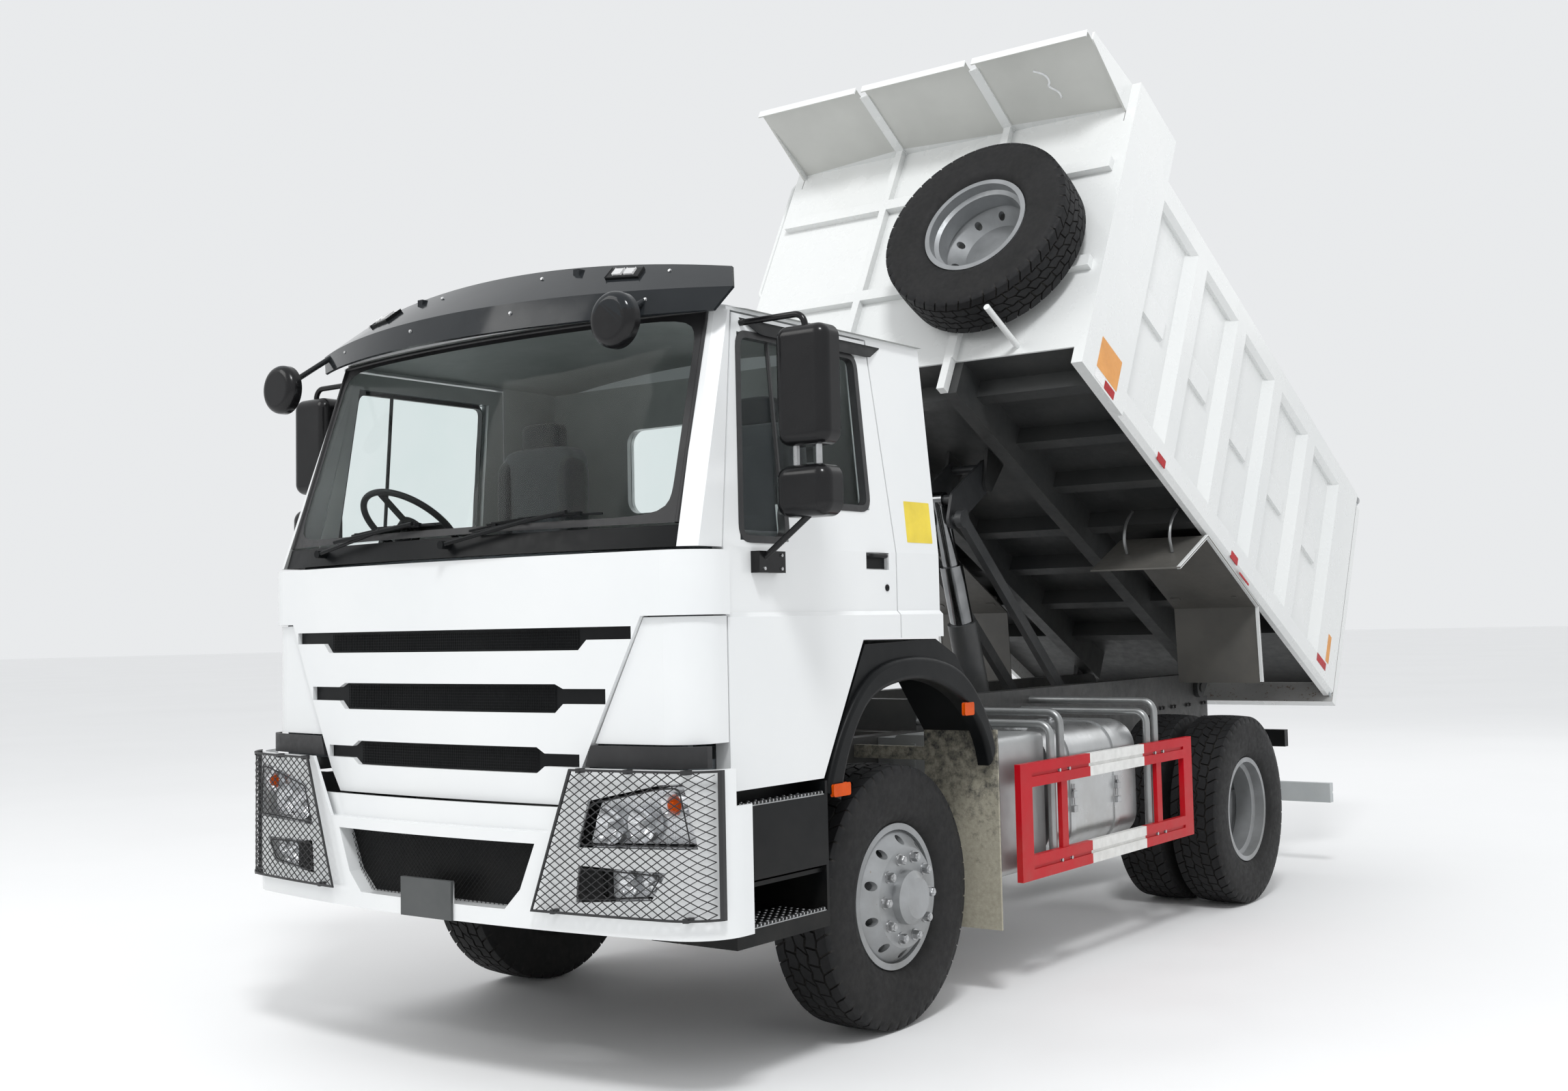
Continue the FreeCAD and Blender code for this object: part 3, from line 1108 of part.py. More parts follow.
def cab_sides():
    """Pillars and rear side panels around both doors, and the corner panels beside the front lid."""
    header_z = DOOR_TOP + DOOR_GAP
    outline = [(PILLAR_TOP_Y, header_z), (PILLAR_TOP_Y, ROOF_SIDE_Z), (CAB_REAR_Y, ROOF_SIDE_Z),
               (CAB_REAR_Y, ARCH_TOP), (DOOR_REAR_Y, ARCH_TOP), (DOOR_REAR_TOP_Y, header_z)]
    wall = side_wall(ARCH_TOP, ROOF_SIDE_Z).common(side_prism(outline, 0, CAB_HALF_WIDTH + CUT_PAST))
    opening = side_prism(door_outline(DOOR_GAP), 0, CAB_HALF_WIDTH + CUT_PAST)
    panel = joined([wall, screen_pillar()]).cut(opening)
    corner = cab_nose(CORNER_BOTTOM, LID_BAND - LID_GAP, NOSE_INSET).cut(
        cab_nose(CORNER_BOTTOM - PLAY, LID_BAND, NOSE_INSET + CORNER_WALL, DOOR_FRONT_Y))
    corner = corner.cut(front_prism(lid_centre_outline(LID_GAP), FRONT_CENTRE_Y - PLAY, DOOR_FRONT_Y))
    corner = corner.common(box(0, CAB_HALF_WIDTH + CUT_PAST, FRONT_CENTRE_Y, DOOR_FRONT_Y, 0, ROOF_SIDE_Z))
    stay = box(LID_HEAD_HALF + CORNER_WALL, LID_HEAD_HALF + CORNER_WALL * 4.0, FRONT_CENTRE_Y, BULKHEAD_Y,
               CORNER_BOTTOM + CORNER_WALL, LID_BAND - CORNER_WALL)
    corner = joined([corner, stay.common(cab_nose(CORNER_BOTTOM, LID_BAND, NOSE_INSET))])
    return both_sides(Part.makeCompound([panel, corner]))


def screen_pillar():
    """Left windscreen pillar, leaning back and in with the screen."""
    w = CAB_HALF_WIDTH
    base_z = LID_TOP + SCREEN_GAP
    front = PILLAR_FRONT_Y
    plan = [(SCREEN_HALF + SCREEN_GAP, front), (w - PILLAR_CORNER, front + PILLAR_CORNER * 0.25),
            (w, front + PILLAR_CORNER), (w, DOOR_FRONT_Y - DOOR_GAP),
            (w - CAB_WALL, DOOR_FRONT_Y - DOOR_GAP),
            (SCREEN_HALF + SCREEN_GAP, front + CAB_WALL)]
    base = [V(x, y, base_z) for x, y in plan]
    rise = ROOF_SIDE_Z - base_z
    return prism(base, V(-SIDE_LEAN, PILLAR_RAKE, rise))


def lid_centre_outline(grow=0.0):
    """Front outline of the lid below its full-width band."""
    right = [(LID_FOOT_HALF + grow, LID_BOTTOM - grow), (LID_KNEE_HALF + grow, LID_KNEE_Z - grow),
             (LID_HEAD_HALF + grow, LID_BAND + grow)]
    return right + [(-x, z) for x, z in reversed(right)]


def slot_outline(deep_half, wide_half, top, shoulder, step, bottom):
    """Front outline of one air slot: deep in the middle, with lower ends between shoulder and step."""
    run = deep_half + SLOT_LIP
    right = [(deep_half, bottom), (run, step), (wide_half, step), (wide_half, shoulder), (run, shoulder)]
    if shoulder < top:
        right.append((deep_half, top))
    return right + [(-x, z) for x, z in reversed(right)]


def front_lid():
    """Front service lid: a full-width band that wraps the corners and a slotted centre."""
    band = cab_nose(LID_BAND, LID_TOP).cut(cab_nose(LID_BAND - PLAY, LID_TOP + PLAY, LID_SKIN, DOOR_FRONT_Y))
    slab = cab_nose(LID_BOTTOM, LID_TOP).cut(cab_nose(LID_BOTTOM - PLAY, LID_TOP + PLAY, LID_THICKNESS,
                                                      DOOR_FRONT_Y))
    head = box(-LID_HEAD_HALF, LID_HEAD_HALF, FRONT_CENTRE_Y - PLAY, DOOR_FRONT_Y, LID_BAND, LID_TOP)
    foot = front_prism(lid_centre_outline(), FRONT_CENTRE_Y - PLAY, DOOR_FRONT_Y)
    lid = joined([band, slab.common(head), slab.common(foot)])
    slots = [front_prism(slot_outline(*slot), FRONT_CENTRE_Y - PLAY, DOOR_FRONT_Y) for slot in AIR_SLOTS]
    return lid.cut(slots)


def grille():
    """Dark inserts that fill the lid's air slots, each with level bars."""
    inserts = []
    seat = cab_nose(LID_BOTTOM, LID_TOP, GRILLE_SETBACK).cut(
        cab_nose(LID_BOTTOM - PLAY, LID_TOP + PLAY, LID_THICKNESS, DOOR_FRONT_Y))
    for slot in AIR_SLOTS:
        insert = seat.common(front_prism(slot_outline(*slot), FRONT_CENTRE_Y - PLAY, DOOR_FRONT_Y))
        inserts.append(insert)
    return Part.makeCompound(inserts)


def cab_floor():
    """Floor that rises over the wheels, with the bulkhead behind the front lid."""
    t = FLOOR_THICKNESS
    outline = [(BULKHEAD_Y, BULKHEAD_TOP), (BULKHEAD_Y, FOOTWELL_Z), (ARCH_FOOT_Y - t, FOOTWELL_Z),
               (ARCH_HEAD_Y - t, ARCH_TOP + PLAY), (CAB_REAR_Y - CAB_WALL, ARCH_TOP + PLAY),
               (CAB_REAR_Y - CAB_WALL, ARCH_TOP + t), (ARCH_HEAD_Y - t * 1.6, ARCH_TOP + t),
               (ARCH_FOOT_Y - t * 1.6, FOOTWELL_Z + t), (BULKHEAD_Y + t, FOOTWELL_Z + t),
               (BULKHEAD_Y + t, BULKHEAD_TOP)]
    half = CAB_HALF_WIDTH - CAB_WALL - PLAY
    floor = side_prism(outline, -half, half)
    tunnel_outline = [(BULKHEAD_Y + t, FOOTWELL_Z), (BULKHEAD_Y + t, TUNNEL_TOP),
                      (CAB_REAR_Y - CAB_WALL, TUNNEL_TOP),
                      (CAB_REAR_Y - CAB_WALL, ARCH_TOP + t / 2.0), (ARCH_HEAD_Y - t, ARCH_TOP + t / 2.0),
                      (ARCH_FOOT_Y - t, FOOTWELL_Z)]
    tunnel = side_prism(tunnel_outline, -TUNNEL_HALF, TUNNEL_HALF)
    hollow = side_prism([(BULKHEAD_Y - PLAY, FOOTWELL_Z - PLAY), (BULKHEAD_Y - PLAY, TUNNEL_TOP - t),
                         (CAB_REAR_Y - CAB_WALL - t, TUNNEL_TOP - t),
                         (CAB_REAR_Y - CAB_WALL - t, ARCH_TOP - PLAY),
                         (ARCH_HEAD_Y, ARCH_TOP - PLAY), (ARCH_FOOT_Y, FOOTWELL_Z - PLAY)],
                        -TUNNEL_HALF + t, TUNNEL_HALF - t)
    floor = joined([floor, tunnel]).cut(hollow)
    mounts = []
    for side in (-1.0, 1.0):
        for y in (BULKHEAD_Y + t, CAB_REAR_Y - CAB_WALL - CAB_MOUNT):
            x0 = side * (RAIL_OUTER_X - CAB_MOUNT / 2.0) - CAB_MOUNT / 2.0
            top = FOOTWELL_Z + t / 2.0 if y < ARCH_FOOT_Y else ARCH_TOP + t / 2.0
            mounts.append(box(x0, x0 + CAB_MOUNT, y, y + CAB_MOUNT, RAIL_TOP, top))
    room = cab_nose(RAIL_TOP, BULKHEAD_TOP, NOSE_INSET + CORNER_WALL + PLAY, CAB_REAR_Y)
    return joined([floor] + mounts).common(room)


def cab_rear_wall():
    """Rear wall with its window cut."""
    outline = [(-CAB_HALF_WIDTH + CAB_WALL, ARCH_TOP), (CAB_HALF_WIDTH - CAB_WALL, ARCH_TOP),
               (CAB_HALF_WIDTH - CAB_WALL, BELT_Z), (CAB_HALF_WIDTH - CAB_WALL - SIDE_LEAN, ROOF_SIDE_Z),
               (-CAB_HALF_WIDTH + CAB_WALL + SIDE_LEAN, ROOF_SIDE_Z), (-CAB_HALF_WIDTH + CAB_WALL, BELT_Z)]
    wall = front_prism(outline, CAB_REAR_Y - CAB_WALL, CAB_REAR_Y)
    return wall.cut(rounded(box(-REAR_WINDOW_HALF, REAR_WINDOW_HALF, CAB_REAR_Y - CAB_WALL - PLAY,
                                CAB_REAR_Y + PLAY,
                                REAR_WINDOW_LOW, REAR_WINDOW_HIGH), WINDOW_CORNER, V(0, 1, 0)))


def roof_dome(half, low, crown, inset):
    """Crowned block under one roof surface, bowed in plan like the windscreen."""
    start, finish = V(-half, 0, low), V(half, 0, low)
    arch = Part.Wire([Part.Arc(start, V(0, 0, crown), finish).toShape(), Part.makeLine(finish, start)])
    dome = Part.Face(arch).extrude(V(0, CAB_REAR_Y - ROOF_FRONT_Y + CAB_WALL, 0))
    dome.translate(V(0, ROOF_FRONT_Y - CAB_WALL, 0))
    plan = nose(half, ROOF_FRONT_Y + inset, SCREEN_ARC_RADIUS, FRONT_CORNER_RADIUS, CAB_REAR_Y - inset,
                low - PLAY, crown + PLAY)
    return dome.common(plan)


def roof_block():
    """Solid form of the roof's outside, which overhangs the side walls as a gutter."""
    return roof_dome(CAB_HALF_WIDTH - SIDE_LEAN + GUTTER, ROOF_SIDE_Z, ROOF_SIDE_Z + ROOF_CROWN, 0.0)


def cab_roof():
    """Crowned roof skin with its gutter."""
    half = CAB_HALF_WIDTH - SIDE_LEAN + GUTTER - CAB_WALL
    hollow = roof_dome(half, ROOF_SIDE_Z - CAB_WALL / 2.0, ROOF_SIDE_Z + ROOF_CROWN - CAB_WALL, CAB_WALL)
    return roof_block().cut(hollow)


def screen_face(half, y, z, thickness):
    """Plan face of the bowed windscreen."""
    radius = SCREEN_ARC_RADIUS
    side = arc_y(half, y, radius)
    outer = Part.Arc(V(-half, side, z), V(0, y, z), V(half, side, z)).toShape()
    inner = Part.Arc(V(-half, side + thickness, z), V(0, y + thickness, z),
                     V(half, side + thickness, z)).toShape()
    ends = [Part.makeLine(V(-half, side, z), V(-half, side + thickness, z)),
            Part.makeLine(V(half, side, z), V(half, side + thickness, z))]
    return Part.Face(Part.Wire(Part.__sortEdges__([outer, inner] + ends)))


def cab_glass():
    """Windscreen and rear window pane."""
    z = COWL_TOP + PLAY
    share = (z - LID_TOP - SCREEN_GAP) / (ROOF_SIDE_Z - LID_TOP - SCREEN_GAP)
    face = screen_face(SCREEN_HALF, SCREEN_CENTRE_Y + SCREEN_RAKE * share, z, GLASS)
    screen = face.extrude(V(0, SCREEN_RAKE * (1.0 - share), ROOF_SIDE_Z - PLAY - z))
    trim = front_prism([(SCREEN_HALF + PLAY, z), (SCREEN_HALF - SCREEN_TAPER * share, z),
                        (SCREEN_HALF - SCREEN_TAPER, ROOF_SIDE_Z), (SCREEN_HALF + PLAY, ROOF_SIDE_Z)],
                       SCREEN_CENTRE_Y, CAB_REAR_Y)
    pillar = screen_pillar()
    screen = screen.cut([trim, mirrored(trim), pillar, mirrored(pillar)])
    y = CAB_REAR_Y - CAB_WALL / 2.0
    pane = rounded(box(-REAR_WINDOW_HALF, REAR_WINDOW_HALF, y, y + GLASS, REAR_WINDOW_LOW, REAR_WINDOW_HIGH),
                   WINDOW_CORNER, V(0, 1, 0))
    return Part.makeCompound([screen, pane])


def cowl():
    """Dark cowl under the windscreen with two parked wipers."""
    z = LID_TOP + SCREEN_GAP
    face = screen_face(SCREEN_HALF, SCREEN_CENTRE_Y, z, COWL_DEPTH)
    rise = COWL_TOP - z
    body = face.extrude(V(0, SCREEN_RAKE * rise / (ROOF_SIDE_Z - z), rise))
    pieces = [body]
    for x in WIPER_PIVOTS:
        pivot_y = arc_y(x, SCREEN_CENTRE_Y, SCREEN_ARC_RADIUS)
        pieces.append(bar((x, pivot_y + COWL_DEPTH / 2.0, WIPER_Z), (x, pivot_y - WIPER_STAND, WIPER_Z),
                          WIPER_BOSS))
        tip_x = x + WIPER_REACH
        tip_y = arc_y(tip_x, SCREEN_CENTRE_Y, SCREEN_ARC_RADIUS) - WIPER_STAND / 2.0 + WIPER_LEAN
        pieces.append(bar((x, pivot_y - WIPER_STAND * 0.7, WIPER_Z), (tip_x, tip_y, WIPER_Z + WIPER_RISE),
                          WIPER_ROD))
        blade_a = (x + WIPER_REACH * 0.35, tip_y - WIPER_LEAN * 0.4, WIPER_Z + WIPER_RISE * 0.55)
        blade_b = (x + WIPER_REACH * 1.45, tip_y + WIPER_LEAN * 0.2, WIPER_Z + WIPER_RISE * 1.25)
        pieces.append(bar(blade_a, blade_b, WIPER_ROD))
    return pieces[0].multiFuse(pieces[1:])


def visor_edge(row):
    """Bowed edge of the visor through its middle and both ends."""
    (mid_y, mid_z), (half, end_y, end_z) = row
    return Part.Arc(V(-half, end_y, end_z), V(0, mid_y, mid_z), V(half, end_y, end_z)).toShape()


def visor_panel(low, high):
    """One bowed strip of the visor, a little thicker than sheet."""
    strip = Part.makeRuledSurface(visor_edge(low), visor_edge(high))
    return strip.extrude(V(0, VISOR_SKIN, -VISOR_SKIN * 0.4))


def small_mirror(place, root):
    """Round mirror with its arm from the visor."""
    x, y, z = place
    bowl = bar((x, y, z), (x, y + SMALL_MIRROR_DEPTH, z), SMALL_MIRROR_RADIUS)
    rims = [edge for edge in bowl.Edges if abs(edge.CenterOfMass.y - y) < 1.0]
    bowl = bowl.makeFillet(SMALL_MIRROR_DEPTH * 0.6, rims)
    return bowl.fuse(bar((x, y + SMALL_MIRROR_DEPTH / 2.0, z), root, MIRROR_BAR))


def sun_visor():
    """Bowed visor over the windscreen on two brackets, with both front mirrors on arms."""
    pieces = [visor_panel(VISOR_LIP, VISOR_RIDGE), visor_panel(VISOR_RIDGE, VISOR_TOP)]
    roof = roof_block()
    for x in (-VISOR_BRACKET_X, VISOR_BRACKET_X):
        top_z = VISOR_TOP[0][1] - HANGER
        outline = [(VISOR_TOP[0][0] - HANGER, top_z), (VISOR_TOP[0][0] + HANGER * 2.0, top_z),
                   (VISOR_TOP[0][0] + HANGER * 4.0, ROOF_SIDE_Z + ROOF_CROWN * 0.8),
                   (VISOR_TOP[0][0] - HANGER, ROOF_SIDE_Z + ROOF_CROWN * 0.7)]
        pieces.append(side_prism(outline, x - HANGER / 2.0, x + HANGER / 2.0).cut(roof))
    kerb = small_mirror(KERB_MIRROR, (KERB_MIRROR[0], VISOR_LIP[1][1] - HANGER, VISOR_RIDGE[1][2]))
    front = small_mirror(FRONT_MIRROR, (FRONT_MIRROR[0], VISOR_LIP[1][1] + HANGER, VISOR_RIDGE[1][2]))
    return Part.makeCompound(pieces + [kerb, front])


def dashboard():
    """Dashboard across the cab, below the windscreen."""
    y = BULKHEAD_Y + FLOOR_THICKNESS
    outline = [(y, DASH_BOTTOM), (y, DASH_TOP - FLOOR_THICKNESS), (y + FLOOR_THICKNESS, DASH_TOP),
               (DASH_REAR_Y - FLOOR_THICKNESS * 3.0, DASH_TOP),
               (DASH_REAR_Y, DASH_TOP - FLOOR_THICKNESS * 2.5),
               (DASH_REAR_Y - FLOOR_THICKNESS, DASH_BOTTOM + FLOOR_THICKNESS * 2.0),
               (DASH_REAR_Y - FLOOR_THICKNESS * 4.0, DASH_BOTTOM)]
    return side_prism(outline, -DASH_HALF, DASH_HALF)


def steering_wheel():
    """Steering wheel with three spokes and its column, on the driver's side."""
    centre = V(STEERING_X, STEERING_Y, STEERING_Z)
    ring = Part.makeTorus(STEERING_RADIUS, STEERING_GRIP)
    pieces = [ring, Part.makeCylinder(STEERING_GRIP * 4.0, STEERING_GRIP * 3.0,
                                      V(0, 0, -STEERING_GRIP * 2.0))]
    for angle in (0.0, 180.0, 270.0):
        spoke = box(0, STEERING_RADIUS, -STEERING_GRIP, STEERING_GRIP, -STEERING_GRIP / 2.0,
                    STEERING_GRIP / 2.0)
        spoke.rotate(V(0, 0, 0), V(0, 0, 1), angle)
        pieces.append(spoke)
    pieces.append(Part.makeCylinder(STEERING_GRIP * 2.0, STEERING_RADIUS, V(0, 0, -STEERING_RADIUS)))
    wheel = joined(pieces)
    wheel.rotate(V(0, 0, 0), V(1, 0, 0), -STEERING_TILT)
    wheel.translate(centre)
    return wheel.cut(dashboard())


def seat(x):
    """One seat: base, cushion, back and head rest."""
    half = SEAT_WIDTH / 2.0
    low = SEAT_TOP - SEAT_CUSHION
    base = box(x - half * 0.7, x + half * 0.7, ARCH_HEAD_Y - FLOOR_THICKNESS, SEAT_REAR_Y,
               ARCH_TOP + FLOOR_THICKNESS, low + SEAT_ROUND)
    cushion = rounded(box(x - half, x + half, SEAT_FRONT_Y, SEAT_REAR_Y, low, SEAT_TOP), SEAT_ROUND,
                      V(1, 0, 0))
    back = rounded(box(x - half * 0.95, x + half * 0.95, SEAT_REAR_Y - SEAT_BACK_DEPTH,
                       SEAT_REAR_Y + SEAT_ROUND,
                       SEAT_TOP - SEAT_ROUND, SEAT_BACK_TOP - SEAT_BACK_DEPTH), SEAT_ROUND, V(1, 0, 0))
    head = rounded(box(x - half * 0.5, x + half * 0.5, SEAT_REAR_Y - SEAT_BACK_DEPTH * 0.8, SEAT_REAR_Y,
                       SEAT_BACK_TOP - SEAT_BACK_DEPTH * 1.3, SEAT_BACK_TOP), SEAT_ROUND, V(1, 0, 0))
    return joined([base, cushion, back, head])


def seats():
    """Both cab seats."""
    return both_sides(seat(SEAT_X))


def towards_hub(points, share):
    """Side outline drawn in towards the front wheel's centre."""
    return [(y * share, TYRE_RADIUS + (z - TYRE_RADIUS) * share) for y, z in points]


def arch_lip():
    """Rounded lip that bows over the wheel opening."""
    edges = []
    ends = []
    for points in (LIP_INSIDE, LIP_OUTSIDE):
        places = [V(FLARE_OUTER_X - LIP_DEPTH, y, z) for y, z in points]
        curve = Part.BSplineCurve()
        curve.interpolate(places)
        edges.append(curve.toShape())
        ends.append((places[0], places[-1]))
    edges += [Part.makeLine(inner, outer) for inner, outer in zip(*ends)]
    lip = Part.Face(Part.Wire(Part.__sortEdges__(edges))).extrude(V(LIP_DEPTH, 0, 0))
    outer = [edge for edge in lip.Edges if edge.BoundBox.XMin > FLARE_OUTER_X - PLAY]
    bows = [edge for edge in outer if edge.Length > LIP_DEPTH * 4.0]
    return lip.makeFillet(LIP_ROUND, bows)


def front_mudguard():
    """Left arch flare with its liner and the mud flap behind the wheel."""
    face = side_prism(list(FLARE_OUTLINE) + list(FLARE_THROAT), FLARE_OUTER_X - FLARE_FACE - FLARE_STEP,
                      FLARE_OUTER_X - FLARE_STEP)
    liner_inner = towards_hub(FLARE_OUTLINE, FLARE_WALL)
    liner = side_prism(list(FLARE_OUTLINE) + liner_inner[::-1], FLARE_INNER_X, FLARE_OUTER_X - FLARE_FACE)
    flap = box(FLARE_INNER_X, FLARE_OUTER_X, FLAP_Y, FLAP_Y + FLAP_THICKNESS, FLAP_BOTTOM, FLAP_TOP)
    arm = box(RAIL_OUTER_X, FLARE_INNER_X + HANGER, FLAP_Y, FLAP_Y + HANGER, RAIL_TOP - HANGER * 3.0,
              RAIL_TOP - HANGER)
    return joined([face, liner, flap, arm]).fuse(arch_lip())


# ================================================================ steering and wheels
def knuckle():
    """Left steering knuckle: fork with kingpin, back plate, spindle and track rod arm."""
    x = KINGPIN_X
    z = TYRE_RADIUS
    eye = AXLE_BEAM_HEIGHT / 2.0 + KNUCKLE_GAP
    tall = KNUCKLE_HEIGHT / 2.0
    reach = AXLE_EYE_RADIUS + PLAY
    wall = box(x + reach, x + reach + KNUCKLE_WALL, -reach, reach, z - tall, z + tall)
    pieces = [wall]
    for low, high in ((z - tall, z - eye), (z + eye, z + tall)):
        pieces.append(box(x, x + reach + PLAY, -AXLE_EYE_RADIUS, AXLE_EYE_RADIUS, low, high))
        pieces.append(bar((x, 0, low), (x, 0, high), AXLE_EYE_RADIUS))
    pieces.append(bar((x, 0, z - tall), (x, 0, z + tall), KINGPIN_RADIUS))
    plate_x = x + reach + KNUCKLE_WALL - BACK_PLATE
    pieces.append(disc(plate_x, plate_x + BACK_PLATE, 0, z, DRUM_RADIUS - DRUM_WALL * 2.0))
    pieces.append(disc(plate_x, FRONT_WHEEL_X + DISC_OFFSET - DISC_WALL, 0, z, SPINDLE_RADIUS))
    arm_z = z - STEER_ARM_DROP
    arm = plan_prism([(x - AXLE_EYE_RADIUS * 0.6, 0), (x + AXLE_EYE_RADIUS * 0.6, 0),
                      (STEER_ARM_X + TRACK_ROD_RADIUS, STEER_ARM_LENGTH),
                      (STEER_ARM_X - TRACK_ROD_RADIUS, STEER_ARM_LENGTH)], arm_z - ARM_HALF,
                      arm_z + ARM_HALF)
    pieces.append(arm)
    pieces.append(bar((STEER_ARM_X, STEER_ARM_LENGTH, arm_z - ARM_HALF),
                      (STEER_ARM_X, STEER_ARM_LENGTH, arm_z + ARM_HALF),
                      TRACK_ROD_RADIUS * 1.5))
    return joined(pieces)


def track_rod():
    """Rod between both steering arms, with a ball end under each."""
    z = TYRE_RADIUS - STEER_ARM_DROP - ARM_HALF - TRACK_ROD_RADIUS - KNUCKLE_GAP
    y = STEER_ARM_LENGTH
    rod = disc(-STEER_ARM_X, STEER_ARM_X, y, z, TRACK_ROD_RADIUS * 0.8)
    ends = [bar((x, y, z - TRACK_ROD_RADIUS), (x, y, z + TRACK_ROD_RADIUS), TRACK_ROD_RADIUS * 1.4)
            for x in (-STEER_ARM_X, STEER_ARM_X)]
    return joined([rod] + ends)


def tyre(x, y, z, outer=TYRE_RADIUS):
    """Tyre whose middle plane is at x."""
    half = TYRE_WIDTH / 2.0
    left = [(-BEAD_HALF, RIM_SEAT_RADIUS), (-BEAD_HALF, RIM_RADIUS),
            (-half + RIM_LIP, RIM_RADIUS + RIM_WELL),
            (-half, SIDEWALL_RADIUS), (-TREAD_HALF - RIM_LIP, SHOULDER_RADIUS - RIM_WELL / 2.0),
            (-TREAD_HALF, SHOULDER_RADIUS), (-TREAD_HALF + SHOULDER_RUN, outer)]
    profile = left + [(-a, r) for a, r in reversed(left)]
    return turned([(x + a, r) for a, r in profile], y, z)


def rim_and_disc(x, y, z, side):
    """Drop-centre rim whose middle plane is at x, with its disc dished towards one side."""
    w = RIM_WALL
    outer = [(-RIM_HALF, RIM_RADIUS), (-BEAD_HALF, RIM_RADIUS), (-BEAD_HALF, RIM_SEAT_RADIUS),
             (-RIM_WELL, RIM_SEAT_RADIUS), (-RIM_WELL * 0.7, RIM_WELL_RADIUS),
             (RIM_WELL * 0.7, RIM_WELL_RADIUS),
             (RIM_WELL, RIM_SEAT_RADIUS), (BEAD_HALF, RIM_SEAT_RADIUS), (BEAD_HALF, RIM_RADIUS),
             (RIM_HALF, RIM_RADIUS)]
    inner = [(RIM_HALF, RIM_SEAT_RADIUS - w), (RIM_WELL + w, RIM_SEAT_RADIUS - w),
             (RIM_WELL, RIM_WELL_RADIUS - w),
             (-RIM_WELL, RIM_WELL_RADIUS - w), (-RIM_WELL - w, RIM_SEAT_RADIUS - w),
             (-RIM_HALF, RIM_SEAT_RADIUS - w)]
    rim = turned([(x + a, r) for a, r in outer + inner], y, z)
    root = RIM_SEAT_RADIUS - w / 2.0
    dish = [(DISC_ROOT, root), (DISC_ROOT + DISC_WALL * 1.5, root), (DISC_OFFSET, DISC_FACE_RADIUS),
            (DISC_OFFSET, 0),
            (DISC_OFFSET - DISC_WALL, 0), (DISC_OFFSET - DISC_WALL, DISC_FACE_RADIUS - DISC_WALL)]
    plate = turned([(x + a * side, r) for a, r in dish], y, z)
    holes = []
    for i in range(STUD_COUNT):
        angle = 2.0 * math.pi * (i + 0.5) / STUD_COUNT
        hy = y + HAND_HOLE_CIRCLE * math.cos(angle)
        hz = z + HAND_HOLE_CIRCLE * math.sin(angle)
        holes.append(disc(x, x + side * DISC_OFFSET * 1.2, hy, hz, HAND_HOLE_RADIUS))
    return rim.fuse(plate.cut(holes))


def stud_ring(x, y, z, side):
    """Ring of wheel nuts standing on a disc face at x."""
    studs = []
    for i in range(STUD_COUNT):
        angle = 2.0 * math.pi * i / STUD_COUNT
        sy = y + STUD_CIRCLE_RADIUS * math.cos(angle)
        sz = z + STUD_CIRCLE_RADIUS * math.sin(angle)
        studs.append(disc(x - side * DISC_WALL / 2.0, x + side * STUD_LENGTH, sy, sz, STUD_RADIUS))
    return studs


def front_rim():
    """Left front rim with its hub, drum and wheel nuts."""
    x = FRONT_WHEEL_X
    z = TYRE_RADIUS
    face = x + DISC_OFFSET
    back = KINGPIN_X + AXLE_EYE_RADIUS + PLAY + KNUCKLE_WALL + KNUCKLE_GAP
    hub = turned([(back, SPINDLE_RADIUS), (back, HUB_RADIUS * 0.8), (face - DISC_WALL, HUB_RADIUS * 0.8),
                  (face, HUB_RADIUS), (face + HUB_NOSE * 0.6, HUB_RADIUS),
                  (face + HUB_NOSE, HUB_RADIUS * 0.75),
                  (face + HUB_NOSE, 0), (face - DISC_WALL, 0), (face - DISC_WALL, SPINDLE_RADIUS)], 0, z)
    drum = turned([(back, DRUM_RADIUS), (back + DRUM_LENGTH, DRUM_RADIUS),
                   (face - DISC_WALL, DRUM_RADIUS - DRUM_WALL),
                   (face - DISC_WALL, DRUM_RADIUS - DRUM_WALL * 3.0),
                   (back + DRUM_LENGTH, DRUM_RADIUS - DRUM_WALL),
                   (back, DRUM_RADIUS - DRUM_WALL)], 0, z)
    wheel = rim_and_disc(x, 0, z, 1.0).multiFuse([hub, drum] + stud_ring(face, 0, z, 1.0))
    bore = disc(back - PLAY, face - DISC_WALL + KNUCKLE_GAP, 0, z, SPINDLE_RADIUS + RUNNING_GAP)
    return wheel.cut(bore)


